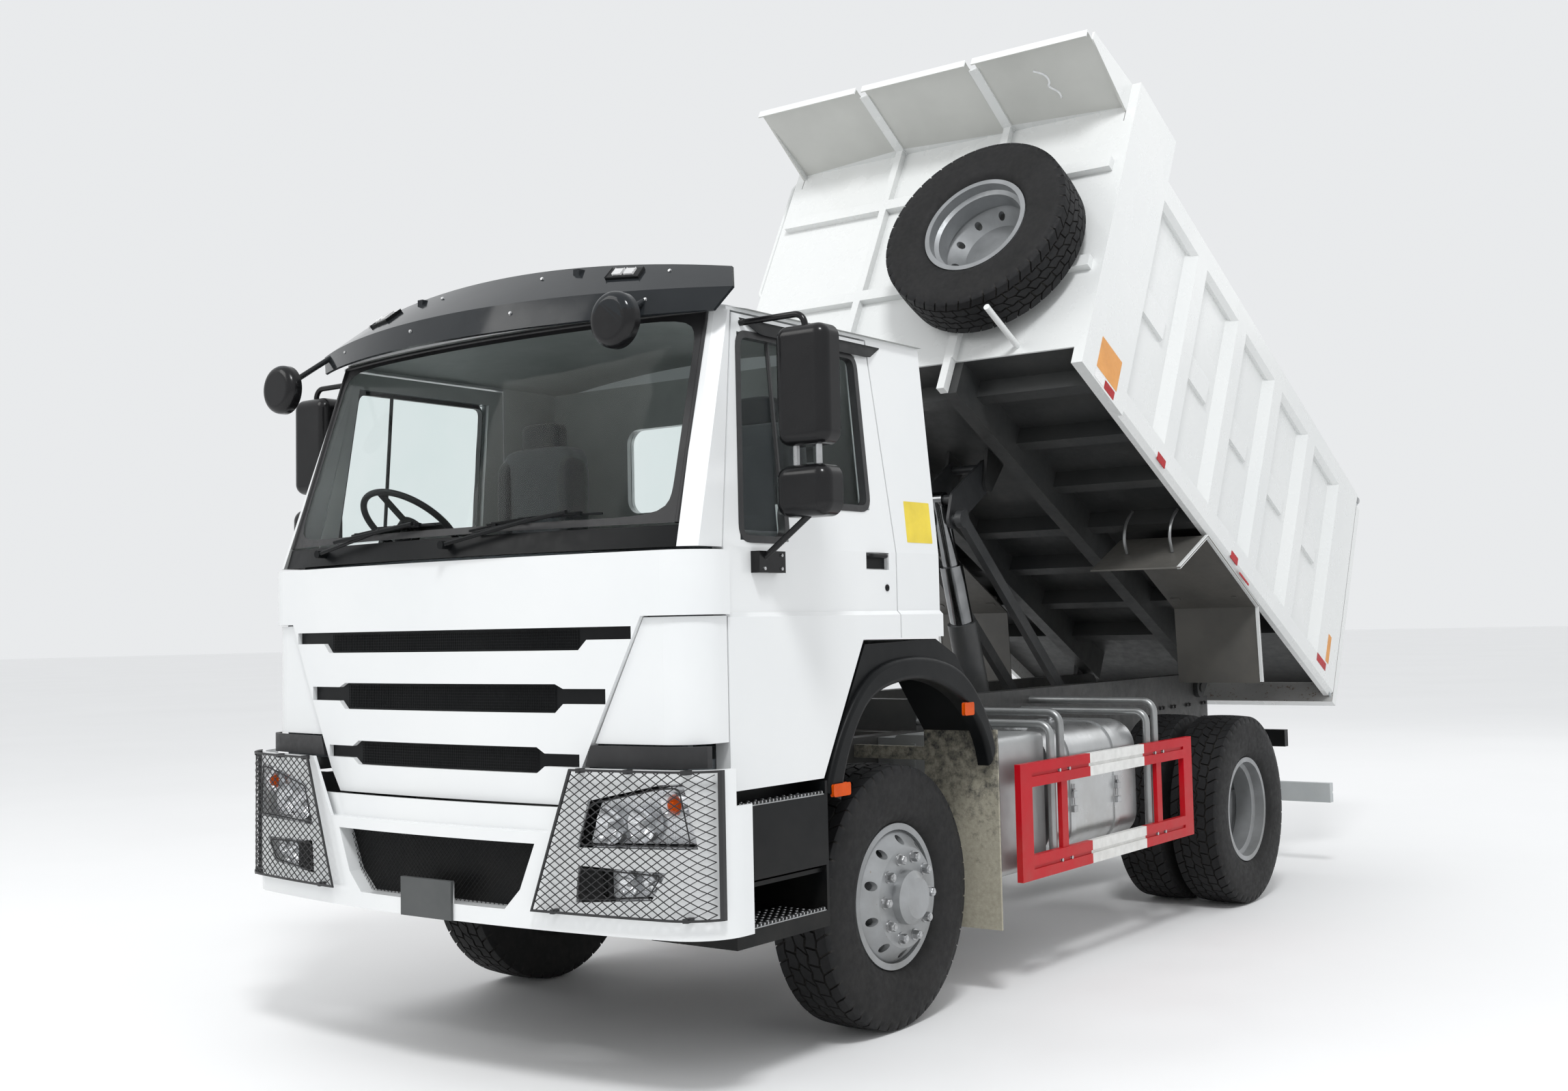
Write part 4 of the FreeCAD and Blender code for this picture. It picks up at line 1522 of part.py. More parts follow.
def rear_rims():
    """Left pair of rear rims on one hub, discs face to face, with drum and wheel nuts."""
    x = REAR_TWIN_X
    y = WHEELBASE
    z = TYRE_RADIUS
    offset = TWIN_SPACING / 2.0
    outer = rim_and_disc(x + offset, y, z, -1.0)
    inner = rim_and_disc(x - offset, y, z, 1.0)
    face = x + offset - DISC_OFFSET + DISC_WALL
    hub = turned([(x - HUB_NOSE * 2.0, 0), (x - HUB_NOSE * 2.0, HUB_RADIUS),
                  (x + HUB_NOSE * 1.5, HUB_RADIUS),
                  (x + HUB_NOSE * 2.2, HUB_RADIUS * 0.8), (x + HUB_NOSE * 2.2, 0)], y, z)
    back = x - offset - TYRE_WIDTH / 2.0 + KNUCKLE_GAP
    drum = turned([(back, DRUM_RADIUS), (x - DISC_WALL, DRUM_RADIUS),
                   (x - DISC_WALL, DRUM_RADIUS - DRUM_WALL),
                   (back, DRUM_RADIUS - DRUM_WALL)], y, z)
    spacer = disc(x - DISC_WALL, x + DISC_WALL, y, z, DISC_FACE_RADIUS - DISC_WALL)
    wheel = outer.multiFuse([inner, hub, drum, spacer] + stud_ring(face, y, z, 1.0))
    bore = disc(0, x + KNUCKLE_GAP, y, z, SPINDLE_RADIUS + RUNNING_GAP)
    return wheel.cut(bore)


# ================================================================ load body, drawn lying flat
def flat(ahead):
    """Y of a point that lies a given length ahead of the hinge on the lowered body."""
    return HINGE_Y - ahead


def height(above):
    """Z of a point that lies a given length above the hinge on the lowered body."""
    return HINGE_Z + above


def raised(shape):
    """Body piece swung from lying flat to its place in the resting pose."""
    return swung(shape, HINGE_Y, HINGE_Z, BED_REST_ANGLE)


def body_box(x0, x1, ahead0, ahead1, above0, above1):
    """Block on the lowered body, given by lengths ahead of and above the hinge."""
    return box(x0, x1, flat(ahead1), flat(ahead0), height(above0), height(above1))


def body_side_prism(outline, x0, x1):
    """Solid across the lowered body whose outline holds (ahead, above) pairs."""
    return side_prism([(flat(u), height(v)) for u, v in outline], x0, x1)


def bed_floor():
    """Floor sheet on crossmembers and two long beams, with hinge lugs and hoist brackets."""
    inner = BED_HALF_WIDTH - BED_SIDE_DEPTH
    front = BED_FRONT - BED_SHEET
    floor_low = BED_CLEARANCE + BED_FLOOR_RAISE
    pieces = [body_box(-inner, inner, -BED_OVERHANG, front, floor_low, floor_low + BED_SHEET)]
    beam_inner = RAIL_OUTER_X - SUBFRAME_WIDTH
    beam_outer = beam_inner + BED_BEAM_WIDTH
    for i in range(CROSSMEMBER_COUNT):
        ahead = CROSSMEMBER_FIRST + CROSSMEMBER_PITCH * i
        member = body_box(-inner, inner, ahead, ahead + CROSSMEMBER_WIDTH, BED_CLEARANCE, floor_low)
        if abs(ahead + CROSSMEMBER_WIDTH / 2.0 - ARM_PIVOT_AHEAD) < HOIST_ZONE:
            member = member.cut(body_box(-beam_inner, beam_inner, ahead - PLAY,
                                         ahead + CROSSMEMBER_WIDTH + PLAY,
                                         BED_CLEARANCE - PLAY, floor_low))
        pieces.append(member)
    for side in (-1.0, 1.0):
        x0, x1 = sorted((side * beam_inner, side * beam_outer))
        pieces.append(body_box(x0, x1, -HINGE_ROUND, front, BED_CLEARANCE - BED_BEAM_DROP, floor_low))
        x0, x1 = sorted((side * beam_outer, side * (beam_outer + HINGE_LUG)))
        lug = body_side_prism([(-HINGE_ROUND * 0.7, 0), (HINGE_ROUND * 0.7, 0),
                               (HINGE_ROUND * 1.6, floor_low),
                               (-HINGE_ROUND * 1.6, floor_low)], x0, x1)
        pieces.append(lug)
        pieces.append(disc(x0, x1, HINGE_Y, HINGE_Z, HINGE_ROUND * 0.7))
        x0, x1 = sorted((side * BRACKET_X, side * (BRACKET_X + BRACKET_PLATE)))
        pieces.append(body_side_prism([(ARM_PIVOT_AHEAD - BRACKET_REACH / 2.0, ARM_PIVOT_ABOVE),
                                       (ARM_PIVOT_AHEAD + BRACKET_REACH / 2.0, ARM_PIVOT_ABOVE),
                                       (ARM_PIVOT_AHEAD + BRACKET_REACH, floor_low),
                                       (ARM_PIVOT_AHEAD - BRACKET_REACH, floor_low)], x0, x1))
        pieces.append(disc(x0, x1, flat(ARM_PIVOT_AHEAD), height(ARM_PIVOT_ABOVE), BRACKET_REACH / 2.0))
        x0, x1 = sorted((side * ARM_PLATE_X, side * (BRACKET_X + BRACKET_PLATE)))
        pieces.append(disc(x0, x1, flat(ARM_PIVOT_AHEAD), height(ARM_PIVOT_ABOVE), HOIST_PIN_RADIUS))
    floor = joined(pieces)
    reach = beam_outer + HINGE_LUG + PLAY
    floor = floor.cut(disc(-reach, reach, HINGE_Y, HINGE_Z, HINGE_PIN_RADIUS + RUNNING_GAP))
    return raised(floor)


def bed_side():
    """Left side of the body: sheet, top and bottom rails, ribs with one sloped flank and the front post."""
    outer = BED_HALF_WIDTH
    sheet = outer - BED_SIDE_DEPTH
    top = BED_CLEARANCE + BED_SIDE_HEIGHT
    post_rear = BED_FRONT - BED_POST_LENGTH
    pieces = [body_box(sheet, sheet + BED_SHEET, -BED_OVERHANG, BED_FRONT, BED_CLEARANCE, top)]
    face = sheet + BED_SHEET / 2.0
    slope = BED_SIDE_DEPTH * 0.45
    for low, high in ((BED_CLEARANCE, BED_CLEARANCE + BED_BOTTOM_RAIL), (top - BED_TOP_RAIL, top)):
        section = [(face, low), (outer - slope, low), (outer, low + slope), (outer, high - slope),
                   (outer - slope, high), (face, high)]
        rail = front_prism([(x, height(v)) for x, v in section], flat(BED_FRONT), flat(-BED_OVERHANG))
        pieces.append(rail)
    pieces.append(body_box(face, outer, post_rear, BED_FRONT, BED_CLEARANCE,
                           BED_CLEARANCE + BED_POST_HEIGHT))
    ahead = post_rear
    for i in range(BED_PANELS):
        stub_end = ahead - SHORT_RIB_LENGTH
        short = plan_prism([(face, flat(ahead)), (outer - slope, flat(ahead)),
                            (outer - slope, flat(stub_end + slope)),
                            (face, flat(stub_end))], height(SHORT_RIB_LOW), height(SHORT_RIB_HIGH))
        pieces.append(short)
        ahead -= BED_PANEL_LENGTH
        rear = ahead - BED_RIB_WIDTH
        if i == BED_PANELS - 1:
            rear = -BED_OVERHANG
        rib = plan_prism([(face, flat(ahead)), (outer, flat(ahead - BED_RIB_SLOPE)), (outer, flat(rear)),
                          (face, flat(rear))], height(BED_CLEARANCE + slope), height(top - slope))
        pieces.append(rib)
        ahead = rear
    pin_y = flat(-TAILGATE_PIVOT_BEHIND)
    pin_z = height(TAILGATE_PIVOT_ABOVE)
    pieces.append(body_box(sheet, sheet + BED_SHEET, -TAILGATE_PIVOT_BEHIND, -BED_OVERHANG + PLAY,
                           TAILGATE_PIVOT_ABOVE - TAILGATE_EAR * 0.7,
                           TAILGATE_PIVOT_ABOVE + TAILGATE_EAR * 0.7))
    pieces.append(disc(sheet, sheet + BED_SHEET, pin_y, pin_z, TAILGATE_EAR * 0.7))
    ear_inside = BED_HALF_WIDTH - TAILGATE_EAR_INSET - TAILGATE_EAR
    pieces.append(disc(ear_inside, sheet + BED_SHEET, pin_y, pin_z, TAILGATE_PIN_RADIUS))
    return joined(pieces)


def bed_sides():
    """Both sides of the body."""
    return raised(both_sides(bed_side()))


def bed_front_wall():
    """Front wall with ribs, the canopy over it and the ladder beside it."""
    inner = BED_HALF_WIDTH - BED_SIDE_DEPTH
    floor_low = BED_CLEARANCE + BED_FLOOR_RAISE
    root = BED_CLEARANCE + CANOPY_HEIGHT
    pieces = [body_box(-inner, inner, BED_FRONT - BED_SHEET, BED_FRONT, floor_low, root)]
    for low in WALL_RIB_LEVELS:
        pieces.append(body_box(-inner, inner, BED_FRONT - PLAY, BED_FRONT + WALL_RIB, low,
                               low + WALL_RIB_HEIGHT))
    for x in (-WALL_POST_X, WALL_POST_X):
        pieces.append(body_box(x - WALL_RIB / 2.0, x + WALL_RIB / 2.0, BED_FRONT - PLAY,
                               BED_FRONT + WALL_RIB,
                               floor_low, root))
    tip = BED_FRONT + CANOPY_REACH
    sheet = body_side_prism([(BED_FRONT - BED_SHEET, root - CANOPY_SHEET),
                             (tip, root + CANOPY_RISE - CANOPY_SHEET),
                             (tip, root + CANOPY_RISE - CANOPY_LIP),
                             (tip + CANOPY_SHEET, root + CANOPY_RISE - CANOPY_LIP),
                             (tip + CANOPY_SHEET, root + CANOPY_RISE), (BED_FRONT - BED_SHEET, root)],
                            -CANOPY_HALF, CANOPY_HALF)
    for x in (-WALL_POST_X, WALL_POST_X):
        sheet = sheet.cut(body_box(x - WALL_RIB / 2.0, x + WALL_RIB / 2.0, tip - CANOPY_NOTCH,
                                   tip + CANOPY_NOTCH,
                                   root - CANOPY_LIP, root + CANOPY_RISE + CANOPY_LIP))
    pieces.append(sheet)
    wing = body_side_prism([(BED_FRONT, root - CANOPY_LIP),
                            (tip - CANOPY_NOTCH, root + CANOPY_RISE - CANOPY_SHEET),
                            (tip - CANOPY_NOTCH, root + CANOPY_RISE + CANOPY_LIP),
                            (BED_FRONT, BED_CLEARANCE + BED_POST_HEIGHT)],
                           CANOPY_HALF - CANOPY_SHEET, BED_HALF_WIDTH - BED_SIDE_DEPTH + CANOPY_SHEET)
    pieces += [wing, mirrored(wing)]
    pieces.append(ladder())
    pieces.append(spare_bracket())
    return raised(pieces[0].multiFuse(pieces[1:]))


def ladder():
    """Tube ladder on the right front post, its rails hooked in at the top."""
    x = -(BED_HALF_WIDTH + LADDER_STAND)
    pieces = []
    for ahead in LADDER_RAILS:
        top = (-BED_HALF_WIDTH, flat(ahead), height(LADDER_TOP))
        foot = (-BED_HALF_WIDTH, flat(ahead), height(LADDER_BOTTOM))
        pieces.append(bent_tube([top, (x, flat(ahead), height(LADDER_TOP)),
                                 (x, flat(ahead), height(LADDER_BOTTOM)),
                                 foot], LADDER_TUBE, LADDER_STAND / 2.0))
    rung = LADDER_BOTTOM + LADDER_STAND
    while rung < LADDER_TOP - LADDER_STAND:
        pieces.append(bar((x, flat(LADDER_RAILS[0]), height(rung)), (x, flat(LADDER_RAILS[1]), height(rung)),
                          LADDER_RUNG))
        rung += LADDER_PITCH
    return pieces[0].multiFuse(pieces[1:])


def spare_bracket():
    """Channel behind the spare wheel and the tube that holds it from below."""
    channel = body_box(SPARE_POST_X - WALL_RIB / 2.0, SPARE_POST_X + WALL_RIB / 2.0, BED_FRONT - PLAY,
                       BED_FRONT + WALL_RIB, BED_CLEARANCE - BED_BEAM_DROP, SPARE_ABOVE - RIM_RADIUS)
    spare_x = BED_HALF_WIDTH - SPARE_INSET
    hub = bar((spare_x, flat(BED_FRONT - PLAY), height(SPARE_ABOVE)),
              (spare_x, flat(SPARE_AHEAD - DISC_OFFSET), height(SPARE_ABOVE)), STUD_CIRCLE_RADIUS * 0.4)
    tube = bar((spare_x + SPARE_HOOK, flat(BED_FRONT - PLAY), height(SPARE_HOOK_LOW)),
               (spare_x + SPARE_HOOK, flat(SPARE_AHEAD + TYRE_WIDTH / 2.0), height(SPARE_HOOK_LOW)),
               LADDER_TUBE * 1.4)
    return channel.multiFuse([hub, tube])


def upright_wheel(shape):
    """Wheel piece built about an axle along X, turned to lie across the body's front wall."""
    turned_shape = shape.copy()
    turned_shape.rotate(V(0, 0, 0), V(0, 0, 1), 90.0)
    turned_shape.translate(V(BED_HALF_WIDTH - SPARE_INSET, flat(SPARE_AHEAD), height(SPARE_ABOVE)))
    return raised(turned_shape)


def spare_rim():
    """Rim of the spare wheel."""
    return upright_wheel(rim_and_disc(0.0, 0.0, 0.0, 1.0))


def spare_tyre():
    """Tyre of the spare wheel."""
    return upright_wheel(tyre(0.0, 0.0, 0.0))


def bed_mudguard():
    """Left rear mudguard: three flat plates folded over the twin tyres, hung from the body."""
    outer = [(u, v) for u, v in MUDGUARD_OUTLINE]
    inner = [(u, v - MUDGUARD_SHEET) for u, v in reversed(MUDGUARD_OUTLINE)]
    guard = body_side_prism(outer + inner, MUDGUARD_INNER_X, BED_HALF_WIDTH)
    pieces = [guard]
    for ahead in MUDGUARD_STAYS:
        pieces.append(body_box(MUDGUARD_INNER_X + HANGER, MUDGUARD_INNER_X + HANGER * 3.0, ahead,
                               ahead + HANGER,
                               MUDGUARD_OUTLINE[1][1] - MUDGUARD_SHEET * 3.0, BED_CLEARANCE))
        pieces.append(body_box(BED_HALF_WIDTH - HANGER * 4.0, BED_HALF_WIDTH - HANGER * 3.0, ahead,
                               ahead + HANGER,
                               MUDGUARD_OUTLINE[1][1] - MUDGUARD_SHEET * 3.0, BED_CLEARANCE))
    return joined(pieces)


def bed_mudguards():
    """Both rear mudguards."""
    return raised(both_sides(bed_mudguard()))


def tailgate():
    """Ribbed rear gate hung from its top edge, with its hinge ears."""
    inner = BED_OVERHANG + TAILGATE_GAP
    low = TAILGATE_BOTTOM
    top = BED_CLEARANCE + BED_SIDE_HEIGHT - TAILGATE_DROP
    sheet = body_box(-BED_HALF_WIDTH, BED_HALF_WIDTH, -inner - BED_SHEET, -inner, low, top)
    pieces = [sheet]
    depth = inner + TAILGATE_THICKNESS
    for level in (low, top - TAILGATE_BAR, (low + top - TAILGATE_BAR) / 2.0):
        pieces.append(body_box(-BED_HALF_WIDTH, BED_HALF_WIDTH, -depth, -inner - BED_SHEET / 2.0, level,
                               level + TAILGATE_BAR))
    step = BED_HALF_WIDTH * 2.0 / (TAILGATE_RIBS - 1)
    for i in range(TAILGATE_RIBS):
        x = -BED_HALF_WIDTH + step * i
        x0 = max(-BED_HALF_WIDTH, x - TAILGATE_BAR / 2.0)
        x1 = min(BED_HALF_WIDTH, x + TAILGATE_BAR / 2.0)
        pieces.append(body_box(x0, x1, -depth, -inner - BED_SHEET / 2.0, low, top))
    gate = joined(pieces)
    ears = []
    pivot_y = flat(-TAILGATE_PIVOT_BEHIND)
    pivot_z = height(TAILGATE_PIVOT_ABOVE)
    for x in (TAILGATE_EAR_INSET - BED_HALF_WIDTH, BED_HALF_WIDTH - TAILGATE_EAR_INSET):
        x0, x1 = x - TAILGATE_EAR / 2.0, x + TAILGATE_EAR / 2.0
        ears.append(body_box(x0, x1, -TAILGATE_PIVOT_BEHIND - TAILGATE_EAR * 0.9,
                             -TAILGATE_PIVOT_BEHIND + TAILGATE_EAR * 0.9, top - TAILGATE_BAR,
                             TAILGATE_PIVOT_ABOVE))
        ears.append(disc(x0, x1, pivot_y, pivot_z, TAILGATE_EAR * 0.9))
    gate = joined([gate] + ears)
    reach = BED_HALF_WIDTH
    return raised(gate.cut(disc(-reach, reach, pivot_y, pivot_z, TAILGATE_PIN_RADIUS + RUNNING_GAP)))


# ================================================================ hoist, drawn in the resting pose
def along_hoist(distance):
    """Point on the cylinder's axis at a distance from its base pin."""
    (base_y, base_z), (head_y, head_z) = CYLINDER_BASE, CYLINDER_HEAD
    share = distance / math.hypot(head_y - base_y, head_z - base_z)
    return (0.0, base_y + (head_y - base_y) * share, base_z + (head_z - base_z) * share)


def arm_pivot():
    """Y and Z of the lift arm's pivot on the raised body."""
    lean = math.radians(BED_REST_ANGLE)
    ahead = ARM_PIVOT_AHEAD * math.cos(lean) - ARM_PIVOT_ABOVE * math.sin(lean)
    above = ARM_PIVOT_AHEAD * math.sin(lean) + ARM_PIVOT_ABOVE * math.cos(lean)
    return (HINGE_Y - ahead, HINGE_Z + above)


def flat_link(start, finish, half_height, x0, x1):
    """Flat bar between two (y, z) points with rounded ends."""
    dy, dz = finish[0] - start[0], finish[1] - start[1]
    length = math.hypot(dy, dz)
    ny, nz = -dz / length * half_height, dy / length * half_height
    outline = [(start[0] + ny, start[1] + nz), (finish[0] + ny, finish[1] + nz),
               (finish[0] - ny, finish[1] - nz), (start[0] - ny, start[1] - nz)]
    link = side_prism(outline, x0, x1)
    return joined([link, disc(x0, x1, start[0], start[1], half_height),
                   disc(x0, x1, finish[0], finish[1], half_height)])


def hoist_cylinder():
    """Barrel with its base eye; the bore takes the first stage with a sliding fit."""
    y, z = CYLINDER_BASE
    top = along_hoist(BARREL_LENGTH + BORE_FLOOR)
    barrel = bar(along_hoist(BORE_FLOOR), top, BARREL_RADIUS)
    barrel = barrel.fuse(disc(-BARREL_RADIUS, BARREL_RADIUS, y, z, HOIST_EYE))
    bore = bar(along_hoist(HOIST_EYE + BORE_FLOOR), along_hoist(BARREL_LENGTH + HOIST_EYE),
               STAGE_RADIUS + RUNNING_GAP)
    eye = disc(-BARREL_RADIUS - PLAY, BARREL_RADIUS + PLAY, y, z, HOIST_PIN_RADIUS + RUNNING_GAP)
    return barrel.cut([bore, eye])


def hoist_stage():
    """First stage tube; its bore takes the rod with a sliding fit."""
    tube = bar(along_hoist(STAGE_FOOT), along_hoist(STAGE_FOOT + STAGE_LENGTH), STAGE_RADIUS)
    bore = bar(along_hoist(STAGE_FOOT + BORE_FLOOR), along_hoist(STAGE_FOOT + STAGE_LENGTH + PLAY),
               ROD_RADIUS + RUNNING_GAP)
    return tube.cut(bore)


def hoist_rod():
    """Rod with its head eye and the head pin."""
    y, z = CYLINDER_HEAD
    rod = bar(along_hoist(ROD_FOOT), (0.0, y, z), ROD_RADIUS)
    eye = disc(-HEAD_EYE_HALF, HEAD_EYE_HALF, y, z, HEAD_EYE)
    pin = disc(-HEAD_PIN_HALF, HEAD_PIN_HALF, y, z, HOIST_PIN_RADIUS)
    return joined([rod, eye, pin])


def lift_arm():
    """Pair of three-cornered plates between body, tie rods and cylinder, joined by a cross tube."""
    pivot = arm_pivot()
    tube = (pivot[0], pivot[1] + ARM_TUBE_UP)
    plates = []
    for side in (-1.0, 1.0):
        x0, x1 = sorted((side * ARM_PLATE_X, side * (ARM_PLATE_X + ARM_PLATE)))
        corner = prism([V(x0, *pivot), V(x0, *TIE_HEAD), V(x0, *CYLINDER_HEAD), V(x0, *tube)],
                       V(x1 - x0, 0, 0))
        links = [flat_link(a, b, ARM_ROUND, x0, x1)
                 for a, b in ((pivot, TIE_HEAD), (TIE_HEAD, CYLINDER_HEAD), (CYLINDER_HEAD, tube),
                              (pivot, tube))]
        x0, x1 = sorted((side * ARM_PLATE_X, side * ARM_BOSS_END))
        boss = disc(x0, x1, TIE_HEAD[0], TIE_HEAD[1], HOIST_PIN_RADIUS)
        plates.append(joined([corner] + links + [boss]))
    cross = disc(-ARM_PLATE_X - ARM_PLATE / 2.0, ARM_PLATE_X + ARM_PLATE / 2.0, tube[0], tube[1],
                 ARM_TUBE_RADIUS)
    arm = joined(plates + [cross])
    reach = ARM_BOSS_END + PLAY
    return arm.cut(disc(-reach, reach, pivot[0], pivot[1], HOIST_PIN_RADIUS + RUNNING_GAP))


def tie_rods():
    """Two flat tie rods between the subframe pin and the lift arm."""
    rods = []
    reach = TIE_X + TIE_WIDTH + PLAY
    bore = disc(-reach, reach, TIE_BASE[0], TIE_BASE[1], HOIST_PIN_RADIUS + RUNNING_GAP)
    for side in (-1.0, 1.0):
        x0, x1 = sorted((side * TIE_X, side * (TIE_X + TIE_WIDTH)))
        eyes = [disc(x0, x1, TIE_BASE[0], TIE_BASE[1], ARM_ROUND),
                disc(x0, x1, TIE_HEAD[0], TIE_HEAD[1], ARM_ROUND)]
        rods.append(joined([flat_link(TIE_BASE, TIE_HEAD, TIE_HALF_HEIGHT, x0, x1)] + eyes).cut(bore))
    return Part.makeCompound(rods)


# ================================================================ the whole truck
def truck():
    """Every piece of the truck under its own name."""
    pieces = {
        "chassis_frame": chassis_frame(),
        "tipper_subframe": tipper_subframe(),
        "front_axle": front_axle(),
        "rear_axle": rear_axle(),
        "engine_block": engine_block(),
        "fuel_tank": fuel_tank(),
        "battery_box": battery_box(),
        "air_tanks": air_tanks(),
        "side_guards": both_sides(side_guard()),
        "guard_brackets": guard_brackets(),
        "underrun_bar": underrun_bar(),
        "front_bumper": front_bumper(),
        "lamps": lamps(),
        "lamp_guards": lamp_guards(),
        "step_boxes": both_sides(step_box()),
        "cab_floor": cab_floor(),
        "cab_sides": cab_sides(),
        "cab_rear_wall": cab_rear_wall(),
        "cab_roof": cab_roof(),
        "cab_glass": cab_glass(),
        "cowl": cowl(),
        "sun_visor": sun_visor(),
        "dashboard": dashboard(),
        "steering_wheel": steering_wheel(),
        "seats": seats(),
        "front_mudguards": both_sides(front_mudguard()),
        "front_lid": front_lid(),
        "grille": grille(),
        "track_rod": track_rod(),
        "bed_floor": bed_floor(),
        "bed_sides": bed_sides(),
        "bed_front_wall": bed_front_wall(),
        "spare_rim": spare_rim(),
        "spare_tyre": spare_tyre(),
        "bed_mudguards": bed_mudguards(),
        "tailgate": tailgate(),
        "hoist_cylinder": hoist_cylinder(),
        "hoist_stage": hoist_stage(),
        "hoist_rod": hoist_rod(),
        "lift_arm": lift_arm(),
        "tie_rods": tie_rods(),
    }
    half = TWIN_SPACING / 2.0
    paired = {
        "door": door(),
        "door_glass": door_glass(),
        "mirror": mirror(),
        "knuckle": knuckle(),
        "front_rim": front_rim(),
        "front_tyre": tyre(FRONT_WHEEL_X, 0.0, TYRE_RADIUS),
        "rear_rims": rear_rims(),
        "rear_tyres": Part.makeCompound([tyre(REAR_TWIN_X - half, WHEELBASE, TYRE_RADIUS),
                                         tyre(REAR_TWIN_X + half, WHEELBASE, TYRE_RADIUS)]),
    }
    for name, shape in paired.items():
        pieces[name + "_left"] = shape
        pieces[name + "_right"] = mirrored(shape)
    return pieces


def footprint_shift(shapes):
    """Vector that brings the middle of the whole footprint to the origin."""
    bounds = FreeCAD.BoundBox()
    for shape in shapes:
        bounds.add(shape.optimalBoundingBox(False))
    return V(-(bounds.XMin + bounds.XMax) / 2.0, -(bounds.YMin + bounds.YMax) / 2.0, -bounds.ZMin)


def export():
    """Write one STEP file for each named piece."""
    os.makedirs("parts", exist_ok=True)
    pieces = truck()
    shift = footprint_shift(pieces.values())
    for name, shape in pieces.items():
        shape.translate(shift)
        shape.exportStep("parts/" + name + ".step")
    print("moved by", shift.x, shift.y, shift.z)


if __name__ == "__main__":
    export()
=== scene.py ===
"""A white two-axle tipping truck with its load body raised, dressed over its fixed frame.

Each sub-assembly is a class that holds its sizes, builds its surfaces with numpy and dresses
them with a finish. Lengths are in metres, X points to the truck's left, Y rearwards and Z up,
and the sizes below count Y from the front axle.
"""

import logging
import math
from collections.abc import Callable, Iterable, Sequence
from dataclasses import dataclass
from enum import Enum

import bpy
import numpy as np
from mathutils import Matrix, Vector


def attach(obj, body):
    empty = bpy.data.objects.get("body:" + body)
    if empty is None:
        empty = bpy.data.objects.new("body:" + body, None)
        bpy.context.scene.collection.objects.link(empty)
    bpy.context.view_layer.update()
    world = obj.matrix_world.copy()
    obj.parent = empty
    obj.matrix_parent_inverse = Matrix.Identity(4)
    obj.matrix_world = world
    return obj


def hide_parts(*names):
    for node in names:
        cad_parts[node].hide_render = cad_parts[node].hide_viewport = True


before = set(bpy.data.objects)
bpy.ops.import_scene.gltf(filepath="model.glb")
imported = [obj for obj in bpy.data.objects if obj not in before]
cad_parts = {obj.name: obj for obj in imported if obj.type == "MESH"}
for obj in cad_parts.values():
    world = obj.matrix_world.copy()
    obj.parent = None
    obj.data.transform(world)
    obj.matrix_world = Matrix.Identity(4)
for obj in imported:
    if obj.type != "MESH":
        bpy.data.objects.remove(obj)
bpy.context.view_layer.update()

log = logging.getLogger("tipping_truck")

FRONT_AXLE_Y = -2.299166
WHEELBASE = 3.6
HINGE = (4.81, 1.19)
BED_ANGLE = math.radians(27.1)
SMOOTH_ANGLE = math.radians(32.0)

Colour = tuple[float, float, float]
Point = tuple[float, float, float]
Pair = tuple[float, float]
Box = tuple[Point, Point]
Extent = tuple[float, float, float, float]
Rule = Callable[[np.ndarray, np.ndarray], np.ndarray]
Socket = bpy.types.NodeSocket


class Side(Enum):
    """Which side of the truck a piece is on."""

    LEFT = 1.0
    RIGHT = -1.0


# ---------------------------------------------------------------- surfaces
@dataclass
class Surface:
    """Points of a surface and its faces, kept as one index array per face size."""

    points: np.ndarray
    faces: list[np.ndarray]

    def moved(self, shift: Sequence[float]) -> "Surface":
        """The same surface carried by a shift."""
        return Surface(self.points + np.asarray(shift, float), self.faces)

    def turned(self, rotation: np.ndarray) -> "Surface":
        """The same surface turned about the origin by a 3 by 3 matrix."""
        return Surface(self.points @ rotation.T, self.faces)

    def across(self) -> "Surface":
        """The mirror image on the truck's other side, with its faces still outwards."""
        return Surface(self.points * (-1.0, 1.0, 1.0), [face[:, ::-1] for face in self.faces])


def joined(surfaces: Iterable[Surface]) -> Surface:
    """Several surfaces as one, each face index raised by the points before it.

    Args:
        surfaces: The surfaces to join.

    Returns:
        One surface with all their points and faces.
    """
    surfaces = list(surfaces)
    starts = np.cumsum([0] + [len(s.points) for s in surfaces[:-1]])
    faces = [face + start for s, start in zip(surfaces, starts) for face in s.faces]
    return Surface(np.concatenate([s.points for s in surfaces]), faces)


def both_sides(surface: Surface) -> Surface:
    """A left surface together with its mirror image."""
    return joined([surface, surface.across()])


def grid(points: np.ndarray, round_rows: bool = False, round_columns: bool = False) -> Surface:
    """Quad surface over a grid of points.

    Args:
        points: Rows by columns by three.
        round_rows: Whether the last row joins the first.
        round_columns: Whether the last column joins the first.

    Returns:
        The surface, whose quad (i, j) joins the points i, i + 1 of columns j, j + 1.
    """
    rows, columns = points.shape[:2]
    i = np.arange(rows if round_rows else rows - 1)[:, None]
    j = np.arange(columns if round_columns else columns - 1)[None, :]
    i_next, j_next = (i + 1) % rows, (j + 1) % columns
    quads = np.stack(
        [i * columns + j, i_next * columns + j, i_next * columns + j_next, i * columns + j_next], -1)
    return Surface(points.reshape(-1, 3), [quads.reshape(-1, 4)])


